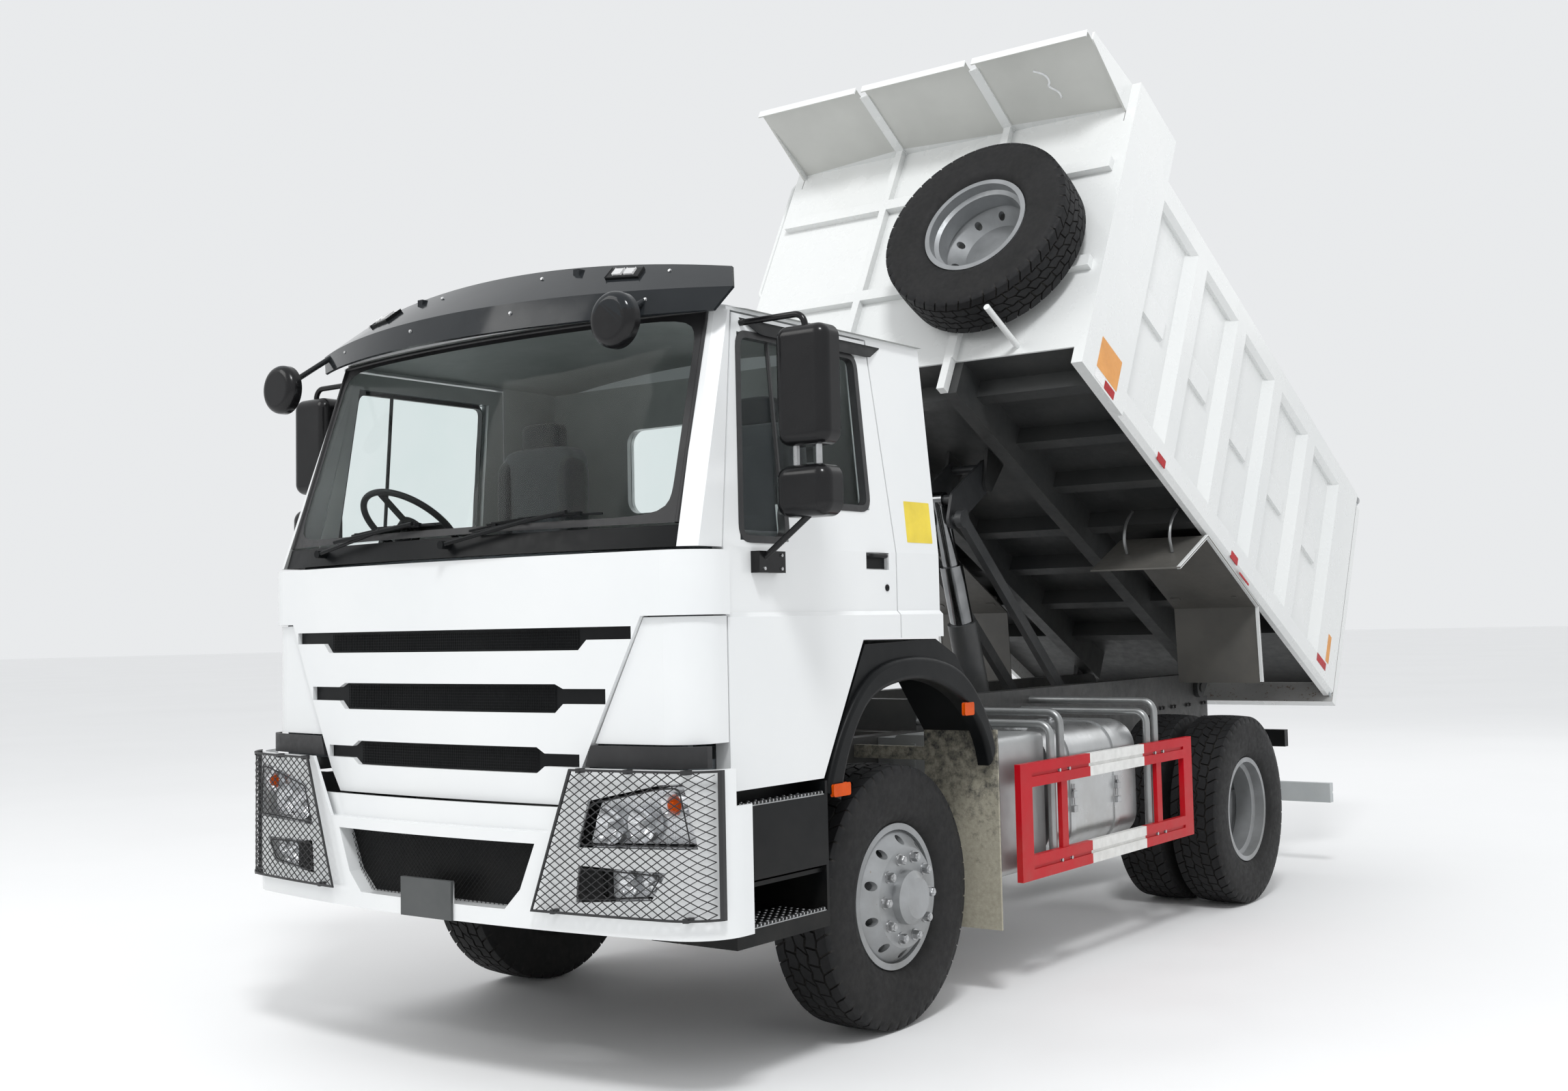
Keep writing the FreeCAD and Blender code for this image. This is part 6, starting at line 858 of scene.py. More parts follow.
class Finishes:
    """Every finish of the truck."""

    WHITE = PanelPaint(
        "white_paint", (0.76, 0.77, 0.77), (0.72, 0.735, 0.74), 1.1, (0.18, 0.27), coat=0.35,
        grain_depth=0.0001, dust=0.05, dust_top=1.5, dust_colour=(0.60, 0.58, 0.53), wave_depth=0.0025)
    BED_WHITE = PanelPaint(
        "body_white", (0.77, 0.78, 0.77), (0.725, 0.74, 0.735), 0.7, (0.22, 0.32), coat=0.2,
        grain_depth=0.0001, dust=0.05, dust_colour=(0.60, 0.58, 0.54), dust_top=2.4, wave_depth=0.0015)
    BED_UNDER = Finish(
        "body_underside", (0.024, 0.026, 0.027), (0.040, 0.041, 0.040), 2.2, (0.40, 0.58), wear=0.2,
        wear_colour=(0.07, 0.06, 0.05), dust=0.15, dust_top=4.0, dust_colour=(0.07, 0.065, 0.058))
    BED_INSIDE = Finish(
        "body_inside", (0.50, 0.50, 0.49), (0.36, 0.36, 0.35), 2.6, (0.38, 0.6), metal=0.25, wear=0.7,
        wear_colour=(0.22, 0.17, 0.13), grain_depth=0.0006)
    # Painted shade: the canopy's underside is painted greyer than the white body to stand for the shade under
    # the sheets.
    CANOPY_SHADE = PanelPaint(
        "canopy_underside_shade", (0.60, 0.605, 0.575), (0.51, 0.515, 0.49), 1.4, (0.32, 0.48), grain_depth=0.0001,
        wave_depth=0.006)
    GUARD_GREY = Finish(
        "mudguard_grey", (0.085, 0.083, 0.077), (0.115, 0.111, 0.101), 3.0, (0.38, 0.52), wear=0.2, dust=0.25,
        dust_top=3.0, dust_colour=(0.17, 0.15, 0.125))
    FRAME = Finish(
        "frame_paint", (0.022, 0.023, 0.024), (0.040, 0.040, 0.038), 3.5, (0.36, 0.55), wear=0.25,
        wear_colour=(0.11, 0.07, 0.045), dust=0.35, dust_top=1.5, dust_colour=(0.15, 0.135, 0.11))
    CASTING = Finish(
        "cast_iron_paint", (0.040, 0.041, 0.043), (0.072, 0.070, 0.067), 7.0, (0.5, 0.7), metal=0.3,
        grain=120.0, grain_depth=0.0022, wear=0.45, wear_colour=(0.13, 0.075, 0.045), dust=0.45, dust_top=1.1,
        dust_colour=(0.16, 0.14, 0.11))
    SPRING = Finish(
        "spring_steel", (0.055, 0.053, 0.052), (0.09, 0.075, 0.062), 9.0, (0.45, 0.65), metal=0.5, wear=0.75,
        wear_colour=(0.16, 0.085, 0.045), dust=0.6, dust_colour=(0.17, 0.15, 0.12))
    RED = BandedPaint(
        "rail_red", (0.50, 0.003, 0.012), (0.43, 0.003, 0.010), 3.0, (0.30, 0.42), coat=0.04, glint=0.12,
        wear=0.12, wear_colour=(0.20, 0.02, 0.02), wave_depth=0.002, dust=0.25, dust_top=1.0,
        band_start=1.585, band_end=2.21)
    TUBE = BrushedMetal(
        "guard_tube_steel", (0.34, 0.35, 0.35), (0.26, 0.265, 0.265), 5.0, (0.30, 0.42), metal=0.75,
        grain_depth=0.0001, wear=0.15, lines=(220.0, 6.0, 220.0))
    TANK = BrushedMetal(
        "tank_sheet", (0.56, 0.57, 0.575), (0.47, 0.48, 0.485), 3.0, (0.26, 0.38), metal=0.85,
        grain_depth=0.00006, wear=0.08, wear_colour=(0.30, 0.29, 0.27), dust=0.4, dust_top=1.3,
        lines=(6.0, 200.0, 6.0))
    BOX_GREY = PanelPaint(
        "battery_box_grey", (0.36, 0.37, 0.37), (0.44, 0.45, 0.45), 3.0, (0.30, 0.45), metal=0.55, wear=0.15,
        dust=0.3, dust_top=1.1)
    PALE_GREY = PanelPaint(
        "pale_grey_paint", (0.50, 0.53, 0.54), (0.42, 0.45, 0.46), 2.5, (0.30, 0.45), wear=0.15, dust=0.3,
        dust_top=0.9)
    PLATE_GREY = Finish(
        "plate_holder_grey", (0.060, 0.064, 0.065), (0.084, 0.088, 0.088), 3.0, (0.42, 0.58), glint=0.3)
    BRIGHT = BrushedMetal(
        "bare_steel", (0.50, 0.51, 0.52), (0.38, 0.38, 0.38), 12.0, (0.24, 0.42), metal=0.95, wear=0.3,
        wear_colour=(0.20, 0.12, 0.08))
    CHROME = BrushedMetal(
        "polished_rod", (0.24, 0.245, 0.25), (0.17, 0.175, 0.18), 9.0, (0.10, 0.20), metal=1.0,
        lines=(90.0, 90.0, 3.0))
    RIM = PanelPaint(
        "rim_enamel", (0.34, 0.35, 0.36), (0.26, 0.27, 0.275), 6.0, (0.32, 0.46), metal=0.45, wear=0.25,
        wear_colour=(0.22, 0.17, 0.13), dust=0.18, dust_top=1.0, wave_depth=0.0)
    TYRE = TreadRubber(
        "tread_rubber", (0.009, 0.0093, 0.010), (0.015, 0.015, 0.016), 5.0, (0.55, 0.75), glint=0.22,
        grain=180.0, grain_depth=0.0010, dust=0.12, dust_top=0.7, dust_colour=(0.055, 0.050, 0.043))
    FLAP = SplashedRubber(
        "mud_flap", (0.030, 0.031, 0.030), (0.05, 0.05, 0.047), 4.0, (0.7, 0.9), grain_depth=0.001)
    PLASTIC = MouldedPlastic(
        "black_plastic", (0.005, 0.0056, 0.0062), (0.009, 0.0096, 0.0102), 3.0, (0.30, 0.42), glint=0.13,
        dust=0.06, dust_top=1.0, pebble_depth=0.0002)
    MIRROR_PLASTIC = MouldedPlastic(
        "mirror_plastic", (0.006, 0.006, 0.0066), (0.010, 0.0098, 0.0104), 4.0, (0.16, 0.26), glint=0.28,
        grain_depth=0.00005, pebble_depth=0.00005)
    SMOKED = ClearPane(
        "smoked_visor", (0.018, 0.021, 0.024), (0.030, 0.033, 0.036), 2.0, (0.07, 0.14), clear=0.25, bend=1.3,
        grain_depth=0.0)
    GLASS = ClearPane(
        "cab_glass", (0.94, 0.975, 0.97), (0.90, 0.955, 0.945), 2.0, (0.0, 0.03), bend=1.10, grain_depth=0.0)
    LENS = ClearPane(
        "lamp_glass", (0.98, 0.985, 0.99), (0.96, 0.965, 0.97), 6.0, (0.0, 0.03), bend=1.03, grain_depth=0.0)
    AMBER = PrismLens(
        "amber_lens", (0.66, 0.085, 0.003), (0.54, 0.065, 0.002), 9.0, (0.14, 0.25), grain_depth=0.0,
        glint=0.12, clear=0.0, lamp_and_painted_glow=0.0)
    RED_LENS = PrismLens(
        "red_lens", (0.46, 0.002, 0.008), (0.36, 0.002, 0.006), 9.0, (0.18, 0.30), grain_depth=0.0,
        glint=0.12, clear=0.0, lamp_and_painted_glow=0.0)
    # The white lens glows a little: lamp glow on the visor and tail lamps, painted light on the body's white
    # reflectors.
    WHITE_LENS = PrismLens(
        "white_reflector", (0.80, 0.80, 0.80), (0.68, 0.68, 0.68), 9.0, (0.14, 0.25), grain_depth=0.0,
        lamp_and_painted_glow=0.05)
    ORANGE_MARK = PanelPaint(
        "orange_mark", (0.75, 0.33, 0.07), (0.62, 0.26, 0.05), 8.0, (0.35, 0.5), wave_depth=0.0)
    YELLOW = PanelPaint(
        "yellow_label", (0.80, 0.62, 0.04), (0.68, 0.52, 0.035), 8.0, (0.35, 0.5), wave_depth=0.0)
    CHALK = Finish("chalk_mark", (0.86, 0.87, 0.88), (0.70, 0.71, 0.72), 40.0, (0.8, 0.95), grain=400.0)
    REFLECTOR_BOWL = BrushedMetal(
        "lamp_bowl", (0.94, 0.95, 0.96), (0.84, 0.85, 0.87), 30.0, (0.08, 0.18), metal=0.8,
        lines=(40.0, 40.0, 40.0))
    LAMP_BACK = BrushedMetal(
        "lamp_back_plate", (0.88, 0.89, 0.90), (0.76, 0.77, 0.79), 24.0, (0.22, 0.38), metal=0.55,
        grain_depth=0.0001, lines=(30.0, 30.0, 260.0))
    GLAZING = MouldedPlastic("rubber_seal", (0.012, 0.012, 0.013), (0.02, 0.02, 0.021), 5.0, (0.4, 0.55))
    MIRROR_GLASS = BrushedMetal(
        "mirror_glass", (0.80, 0.82, 0.84), (0.74, 0.76, 0.78), 5.0, (0.01, 0.03), metal=1.0, grain_depth=0.0,
        lines=(3.0, 3.0, 3.0))
    DASH = MouldedPlastic(
        "dashboard_skin", (0.10, 0.115, 0.125), (0.135, 0.15, 0.16), 3.0, (0.5, 0.65), pebble=300.0)
    CAB_LINING = MouldedPlastic(
        "cab_lining", (0.40, 0.41, 0.40), (0.32, 0.33, 0.32), 3.0, (0.55, 0.7), pebble=240.0)
    CLOTH = WovenCloth("seat_cloth", (0.075, 0.080, 0.088), (0.11, 0.115, 0.125), 7.0, (0.75, 0.9))
    BOLSTER = WovenCloth("seat_bolster", (0.030, 0.031, 0.034), (0.045, 0.046, 0.05), 7.0, (0.7, 0.85))
    ENGINE = Finish(
        "engine_paint", (0.075, 0.08, 0.078), (0.11, 0.115, 0.11), 4.0, (0.45, 0.65), metal=0.3, wear=0.35,
        grain=90.0, grain_depth=0.002, dust=0.7, dust_top=1.7)
    HOIST = Finish(
        "hoist_paint", (0.028, 0.030, 0.032), (0.045, 0.047, 0.049), 4.0, (0.32, 0.5), wear=0.2,
        wear_colour=(0.13, 0.10, 0.08), dust=0.35, dust_top=2.5, dust_colour=(0.13, 0.12, 0.10))


# ---------------------------------------------------------------- wheels
@dataclass
class RoadTyre:
    """A tyre whose tread is cut into blocks by zigzag grooves round it and slanting grooves across it."""

    radius: float = 0.5425
    tread_half: float = 0.126
    crown: float = 0.006
    pitches: int = 46
    groove_depth: float = 0.015
    cross_depth: float = 0.012
    groove_half: float = 0.0048
    groove_wall: float = 0.0022
    zigzag: float = 0.0055
    slant: float = 0.40
    cross_share: float = 0.13
    grooves: tuple[float, ...] = (-0.078, -0.026, 0.026, 0.078)
    shoulder: tuple[Point, ...] = ((0.1305, 0.531, 0.80), (0.1345, 0.517, 0.45), (0.1385, 0.501, 0.0))
    sidewall: tuple[Pair, ...] = (
        (0.1395, 0.4985), (0.1425, 0.484), (0.1440, 0.462), (0.1450, 0.440), (0.1452, 0.415), (0.1444, 0.392),
        (0.1418, 0.366), (0.1380, 0.348), (0.1377, 0.342), (0.1310, 0.326), (0.1200, 0.310), (0.1070, 0.3000),
        (0.1060, 0.2850))

    def columns(self) -> tuple[np.ndarray, np.ndarray, np.ndarray, np.ndarray]:
        """Lines round the tyre, from one bead to the other.

        Returns:
            Place across, radius, share of a cross groove's depth and depth of a groove round the tyre.
        """
        half, wall = self.groove_half, self.groove_wall
        cuts = np.array(
            [[g - half, g - half + wall, g + half - wall, g + half] for g in self.grooves]).ravel()
        depth = np.tile([0.0, self.groove_depth, self.groove_depth, 0.0], len(self.grooves))
        flat = np.concatenate([[-self.tread_half], cuts, [self.tread_half]])
        flat_depth = np.concatenate([[0.0], depth, [0.0]])
        flat_radius = self.radius - self.crown * (flat / self.tread_half) ** 2
        edge = np.array(self.shoulder)
        wall_line = np.array(self.sidewall)
        across = np.concatenate([-wall_line[::-1, 0], -edge[::-1, 0], flat, edge[:, 0], wall_line[:, 0]])
        radius = np.concatenate([wall_line[::-1, 1], edge[::-1, 1], flat_radius, edge[:, 1], wall_line[:, 1]])
        nothing = np.zeros(len(wall_line))
        share = np.concatenate([nothing, edge[::-1, 2], np.ones(len(flat)), edge[:, 2], nothing])
        around = np.concatenate([nothing, np.zeros(len(edge)), flat_depth, np.zeros(len(edge)), nothing])
        return across, radius, share, around

    def surface(self) -> tuple[Surface, np.ndarray]:
        """The tyre about the X axis and the depth mark of each of its points.

        A point at the turn t and the place x across lies at x + z tri(n t) (1 - (x / h)^2), where tri is
        a triangle wave with n pitches, and its turn is drawn on by a slant that goes as sin(pi x / h).
        Its radius drops by the deeper of the groove round the tyre and the cross groove of its row,
        and rows next to each other have their cross grooves half a pitch apart.

        Returns:
            The tyre, and each point's mark: 0 on the tread's face, 1 in the deepest groove.
        """
        across, radius, share, around = self.columns()
        cut = self.cross_share / 2.0
        wall = cut * 0.35
        lines = np.array([-cut, -cut + wall, cut - wall, cut])
        phase = np.concatenate([lines, lines + 0.5])
        row = np.searchsorted(np.array(self.grooves), across)
        floor = np.array([0.0, 1.0, 1.0, 0.0])
        even = np.concatenate([floor, np.zeros(4)])
        odd = np.concatenate([np.zeros(4), floor])
        crossing = np.where(row[None, :] % 2 == 0, even[:, None], odd[:, None]) * share * self.cross_depth
        depth = np.tile(np.maximum(crossing, around[None, :]), (self.pitches, 1))
        place = (np.arange(self.pitches)[:, None] + phase[None, :]).ravel()
        inside = np.clip(1.0 - (across / self.tread_half) ** 2, 0.0, 1.0)
        wave = np.abs(place % 1.0 - 0.5) * 4.0 - 1.0
        x = across[None, :] + self.zigzag * wave[:, None] * inside[None, :]
        lean = self.slant * np.sin(np.pi * np.clip(across / self.tread_half, -1.0, 1.0)) * (share > 0.0)
        turn = (place[:, None] + lean[None, :]) * 2.0 * np.pi / self.pitches
        drop = radius[None, :] - depth
        points = np.stack([x, drop * np.cos(turn), drop * np.sin(turn)], -1)
        marks = depth / self.groove_depth + np.where(share == 0.0, 0.12, 0.0)[None, :]
        return outward(grid(points, True, True)), np.clip(marks, 0.0, 1.0).ravel()


@dataclass
class WheelNuts:
    """A ring of nuts with their washers and stud ends, which stands on a disc face along +X."""

    count: int = 10
    circle: float = 0.1675
    across: float = 0.040
    height: float = 0.026
    stud: float = 0.011
    reach: float = 0.036

    def surface(self) -> Surface:
        """The whole ring about the X axis, each nut turned with its place.

        Returns:
            The nuts, washers and studs.
        """
        turn = np.arange(self.count) * 2.0 * np.pi / self.count
        shifts = np.stack([np.zeros(self.count), self.circle * np.cos(turn), self.circle * np.sin(turn)], -1)
        stud = lathe(
            [(0.0, self.stud), (self.reach - 0.003, self.stud), (self.reach, self.stud * 0.7)], 0, 10)
        nut = joined([hexagon_bolt(self.across, self.height, self.across * 0.62), stud])
        return repeated(nut, shifts, about_x(turn))


@dataclass
class Wheels:
    """Tyres with cut tread, wheel nuts, hub caps and valves of the whole truck."""

    front_x: float = 0.98
    twins_x: Pair = (0.759, 1.101)
    front_face: float = 0.165
    cap_face: float = 0.060
    cap_depth: float = 0.028
    rear_face_x: float = 0.950
    rear_valve_x: float = 1.02
    valve_turn: float = 0.3
    height: float = 0.5425
    spare_place: Point = (0.52, 3.732, 0.95)

    def __post_init__(self) -> None:
        """Works out the tyre and the nuts that every wheel shares."""
        self.tyre, self.marks = RoadTyre().surface()
        self.nuts = WheelNuts().surface()

    def tyre_piece(self, name: str, tyres: Sequence[Surface], body: str, node: str) -> None:
        """Makes one piece of a node's tyres, with the mark that keeps dust in the grooves.

        Args:
            name: The piece's name.
            tyres: The tyres in place.
            body: The body that carries them.
            node: The node that the piece stands for.
        """
        piece = add_piece(
            name, outward(joined(tyres)), Finishes.TYRE, body, replaces=(node,))
        mark = piece.data.attributes.new("groove", "FLOAT", "POINT")
        mark.data.foreach_set("value", np.tile(self.marks, len(tyres)).astype(np.float32))

    def hub_cap(self) -> Surface:
        """Plain domed cap along +X, with a ring of six small bolts on its flange.

        Returns:
            The cap, its flange at the origin.
        """
        dome = lathe([
            (0.0, 0.070), (0.006, 0.070), (0.010, 0.056), (0.016, 0.052), (0.022, 0.040), (0.026, 0.020),
            (0.027, 0.004)], 0, 40)
        turn = np.arange(6) * np.pi / 3.0
        places = np.stack([np.full(6, 0.005), 0.063 * np.cos(turn), 0.063 * np.sin(turn)], -1)
        return joined([dome, repeated(hexagon_bolt(0.012, 0.006), places, about_x(turn))])

    def valve(self, radius: float) -> Surface:
        """Tyre valve along +X at a radius."""
        stem = lathe([(0.0, 0.005), (0.030, 0.005), (0.031, 0.0038), (0.042, 0.0036)], 0, 8)
        return stem.moved((0.0, radius * math.cos(self.valve_turn), radius * math.sin(self.valve_turn)))

    def build(self) -> None:
        """Makes the pieces of every wheel."""
        for side in Side:
            word = side.name.lower()
            sign = side.value
            self.tyre_piece(
                f"tread_front_{word}", [self.tyre.moved((sign * self.front_x, 0.0, self.height))],
                f"wheel_front_{word}", f"front_tyre_{word}")
            twins = [self.tyre.moved((sign * x, WHEELBASE, self.height)) for x in self.twins_x]
            self.tyre_piece(f"tread_rear_{word}", twins, f"wheels_rear_{word}", f"rear_tyres_{word}")
            face = self.front_x + self.front_face
            front = joined([
                self.nuts.moved((face, 0.0, self.height)),
                self.valve(0.268).moved((self.front_x + 0.09, 0.0, self.height))])
            cap = self.hub_cap().moved((face + self.cap_face - self.cap_depth, 0.0, self.height))
            rear = joined([
                self.nuts.moved((self.rear_face_x, WHEELBASE, self.height)),
                self.valve(0.262).moved((self.rear_valve_x, WHEELBASE, self.height))])
            if side is Side.RIGHT:
                front, rear, cap = front.across(), rear.across(), cap.across()
            add_piece(f"nuts_front_{word}", front, Finishes.BRIGHT, f"wheel_front_{word}")
            add_piece(f"hub_cap_{word}", cap, Finishes.RIM, f"wheel_front_{word}")
            add_piece(f"nuts_rear_{word}", rear, Finishes.BRIGHT, f"wheels_rear_{word}")
        self.spare()

    def spare(self) -> None:
        """Makes the spare tyre, which stands across the load body's front wall with its dish inwards."""
        upright = self.tyre.points @ np.array([[0.0, -1.0, 0.0], [1.0, 0.0, 0.0], [0.0, 0.0, 1.0]])
        place = upright + np.array(self.spare_place)
        self.tyre_piece("tread_spare", [Surface(raised(place), self.tyre.faces)], "bed", "spare_tyre")


# ---------------------------------------------------------------- front end
@dataclass
class BumperPlan:
    """Plan curve of the bumper: a shallow arc in the middle that turns round two corners."""

    half: float = 1.285
    centre_y: float = -1.56
    arc: float = 6.2
    corner: float = 0.21

    def front(self, x: np.ndarray, stand: float = 0.0) -> np.ndarray:
        """Y of the bumper's face at x, a stand ahead of it.

        The big arc y = c - sqrt(R^2 - x^2) and the corner's circle y = y0 - sqrt(r^2 - (|x| - x0)^2) touch
        at |x| = x0 R / (R - r), where x0 and y0 are the corner's own centre.

        Args:
            x: Places across the truck.
            stand: How far ahead of the face.

        Returns:
            Y at each place.
        """
        centre = self.centre_y + self.arc
        start = self.half - self.corner
        turn_y = centre - math.sqrt((self.arc - self.corner) ** 2 - start ** 2)
        arc, corner = self.arc + stand, self.corner + stand
        side = np.clip(np.abs(x), 0.0, self.half + stand - 1e-4)
        flat = centre - np.sqrt(arc ** 2 - side ** 2)
        past = np.clip(side - start, 0.0, corner)
        bent = turn_y - np.sqrt(np.maximum(corner ** 2 - past ** 2, 0.0))
        return np.where(side <= start * arc / (arc - corner), flat, bent)


@dataclass
class LampGuardNet:
    """Wire net of diamonds in the frame over each front corner's lamps."""

    plan: BumperPlan
    corners: tuple[Pair, ...] = ((0.558, 0.675), (1.268, 0.675), (1.268, 1.172), (0.731, 1.172))
    step_x: float = 0.045
    rise: float = 0.66
    wire: float = 0.0020
    stand: float = 0.026

    def lines(self, slope: float) -> tuple[np.ndarray, np.ndarray]:
        """Ends of parallel wires clipped to the frame's straight-sided field.

        A wire is (x0 + t, z0 + slope t). Each side of the field with inward normal n through a point c
        bounds t by (c - start) . n / (direction . n), from below or above as direction . n is positive
        or negative, and a wire is kept where the largest lower bound lies under the smallest upper one.

        Args:
            slope: Rise of the wires over their run along X.

        Returns:
            The (x, z) starts and ends.
        """
        field = np.array(self.corners)
        run = np.ptp(field[:, 1]) / self.rise
        start_x = np.arange(field[:, 0].min() - run, field[:, 0].max() + run, self.step_x)
        start = np.stack([start_x, np.full_like(start_x, field[0, 1])], -1)
        along = np.array([1.0, slope])
        side = np.roll(field, -1, 0) - field
        inward = np.stack([-side[:, 1], side[:, 0]], -1)
        rate = inward @ along
        reach = np.einsum("ki,nki->nk", inward, field[None] - start[:, None]) / rate
        low = np.where(rate > 0.0, reach, -9.0).max(1)
        high = np.where(rate < 0.0, reach, 9.0).min(1)
        kept = high - low > 0.02
        return start[kept] + low[kept, None] * along, start[kept] + high[kept, None] * along

    def surface(self) -> Surface:
        """Wires of both slopes, each bent to the plan curve and run as a four-sided bar.

        Returns:
            The net on the left side.
        """
        bars = []
        t = np.linspace(0.0, 1.0, 14)[:, None]
        for slope in (self.rise, -self.rise):
            for start, end in zip(*self.lines(slope)):
                flat = start + t * (end - start)
                y = self.plan.front(flat[:, 0], self.stand + (0.001 if slope > 0 else -0.001))
                bars.append(tube(np.stack([flat[:, 0], y, flat[:, 1]], -1), self.wire, 4, up=(0.3, 1.0, 0.9)))
        return joined(bars)


@dataclass
class Headlamps:
    """Inside of the lamps: bowls with their bulbs, back plates, indicator bulbs, fog lamp covers and rims."""

    plan: BumperPlan
    head_outline: tuple[Pair, ...] = (
        (0.748, 0.912), (1.190, 0.922), (1.155, 1.120), (1.078, 1.115), (0.796, 1.056))
    back_plate: Pair = (0.080, 0.066)
    fog_back_plate: Pair = (0.070, 0.056)
    bowl_sink: float = 0.030
    fog_outline: tuple[Pair, ...] = ((0.850, 0.726), (1.030, 0.741), (1.084, 0.818), (0.848, 0.827))
    cover_outline: tuple[Pair, ...] = ((0.739, 0.718), (0.846, 0.725), (0.844, 0.827), (0.750, 0.827))
    bowls: tuple[Point, ...] = (
        (0.858, 0.980, 0.062), (0.988, 0.988, 0.060), (1.108, 1.058, 0.044), (0.930, 0.778, 0.040),
        (1.015, 0.784, 0.030))
    indicator: Point = (1.108, 1.058, 0.024)

    def filled(self, outline: Sequence[Pair], back: float, front: float) -> Surface:
        """Plate with an (x, z) outline whose two faces follow the bumper's plan curve.

        Args:
            outline: Corners as (x, z).
            back: How far the rear face lies behind the bumper's.
            front: How far the front face lies behind it.

        Returns:
            The closed plate.
        """
        corners = rounded_outline(outline, 0.014, 4)
        points = np.empty((2, len(corners), 3))
        points[..., 0], points[..., 2] = corners[:, 0], corners[:, 1]
        points[0, :, 1] = self.plan.front(corners[:, 0], -back)
        points[1, :, 1] = self.plan.front(corners[:, 0], -front)
        return capped(grid(points, False, True), 2, len(corners))

    def bowl(self, radius: float) -> Surface:
        """Bowl open along -Y: the depth is (1 - (r / R)^2) times six tenths of its radius, with a rim.

        Args:
            radius: The bowl's radius.

        Returns:
            The bowl about the Y axis.
        """
        share = np.array([1.0, 1.06, 1.06, 0.98, 0.85, 0.65, 0.4, 0.18])
        inner = (1.0 - np.clip(share[3:], 0.0, 1.0) ** 2) * radius * 0.6
        depth = np.concatenate([[radius * 0.7, radius * 0.7, -0.004], inner])
        return lathe(list(zip(depth, share * radius)), 1, 36)

    def bulb(self, radius: float) -> Surface:
        """Small shielded bulb that stands in a bowl along -Y.

        Args:
            radius: The bowl's radius.

        Returns:
            The bulb about the Y axis.
        """
        r = radius * 0.22
        return lathe([
            (radius * 0.6, r), (-radius * 0.05, r), (-radius * 0.16, r * 0.8),
            (-radius * 0.2, r * 0.3)], 1, 16)

    def build(self) -> None:
        """Makes the lamps' pieces."""
        backs = [
            self.filled(self.head_outline, *self.back_plate),
            self.filled(self.fog_outline, *self.fog_back_plate)]
        bowls, bulbs = [], []
        for x, z, radius in self.bowls:
            y = float(self.plan.front(np.array(x), -self.bowl_sink))
            bowls.append(self.bowl(radius).moved((x, y, z)))
            bulbs.append(self.bulb(radius).moved((x, y + radius * 0.1, z)))
        add_piece("lamp_back_plates", both_sides(joined(backs)), Finishes.LAMP_BACK, "chassis", 0.002)
        add_piece("lamp_bowls", both_sides(joined(bowls)), Finishes.REFLECTOR_BOWL, "chassis")
        add_piece("lamp_bulbs", both_sides(joined(bulbs)), Finishes.BRIGHT, "chassis")
        x, z, radius = self.indicator
        dome = lathe([
            (0.030, radius), (0.0, radius), (-0.012, radius * 0.85), (-0.020, radius * 0.5),
            (-0.023, radius * 0.1)], 1, 24)
        place = (x, float(self.plan.front(np.array(x), -0.040)), z)
        add_piece("indicator_bulbs", both_sides(dome.moved(place)), Finishes.AMBER, "chassis")
        add_piece("fog_lamp_covers", both_sides(self.cover()), Finishes.PLASTIC, "chassis", 0.002)
        add_piece("lamp_rims", both_sides(self.rims()), Finishes.GLAZING, "chassis")

    def cover(self) -> Surface:
        """Black cover beside the fog lamp with four flutes across it.

        Returns:
            The left cover.
        """
        base = self.filled(self.cover_outline, 0.030, 0.0)
        heights = np.linspace(0.738, 0.812, 5)
        bars = []
        for z in heights:
            low, high = z - 0.004, z + 0.004
            bars.append(self.filled([(0.757, low), (0.840, low), (0.840, high), (0.757, high)], 0.01, -0.003))
        return joined([base] + bars)

    def rims(self) -> Surface:
        """Dark bead round each lamp opening.

        Returns:
            The beads of the left lamps.
        """
        beads = []
        for outline in (
                self.head_outline, self.fog_outline + self.cover_outline[2:] + self.cover_outline[:1]):
            corners = rounded_outline(outline, 0.02, 5)
            y = self.plan.front(corners[:, 0], 0.001)
            path = np.stack([corners[:, 0], y, corners[:, 1]], -1)
            beads.append(tube(path, 0.0028, 6, True, (0.0, 1.0, 0.0)))
        return joined(beads)


@dataclass
class FrontPanel:
    """Nets of the air slots in the front lid and of the bumper's lower opening."""

    plan: BumperPlan
    slots: tuple[Point, ...] = ((0.700, 1.603, 1.672), (0.590, 1.376, 1.468), (0.500, 1.156, 1.238))
    bow: float = 16.0
    net_step: float = 0.011
    net_wire: float = 0.0011
    net_y: float = -1.4745
    inlet: tuple[Pair, ...] = (
        (-0.400, 0.664), (0.400, 0.664), (0.475, 0.738), (0.543, 0.903), (-0.543, 0.903), (-0.475, 0.738))

    def net(self, half: float, low: float, high: float, y: float) -> Surface:
        """Fine upright and level wires over one slot, bowed as y + x^2 / the bow.

        Args:
            half: Half the slot's length.
            low: The slot's lower edge.
            high: The slot's upper edge.
            y: Where the net stands at its middle.

        Returns:
            The wires.
        """
        xs = np.linspace(-half, half, 25)
        levels = np.arange(low, high, self.net_step)
        flat = [
            tube(np.stack([xs, y + xs ** 2 / self.bow, np.full_like(xs, z)], -1), self.net_wire, 4)
            for z in levels]
        across = np.arange(-half, half, self.net_step)
        post = block((-self.net_wire, -self.net_wire, low), (self.net_wire, self.net_wire, high))
        shifts = np.stack([across, y + across ** 2 / self.bow, np.zeros_like(across)], -1)
        return joined(flat + [repeated(post, shifts)])

    def build(self) -> None:
        """Makes the front panel's pieces."""
        nets = joined([self.net(half - 0.01, low, high, self.net_y) for half, low, high in self.slots])
        add_piece("slot_nets", nets, Finishes.PLASTIC, "front_lid")
        mesh = LampGuardNet(self.plan, self.inlet, step_x=0.022, rise=1.0, wire=self.net_wire, stand=-0.055)
        add_piece("inlet_net", mesh.surface(), Finishes.PLASTIC, "chassis")


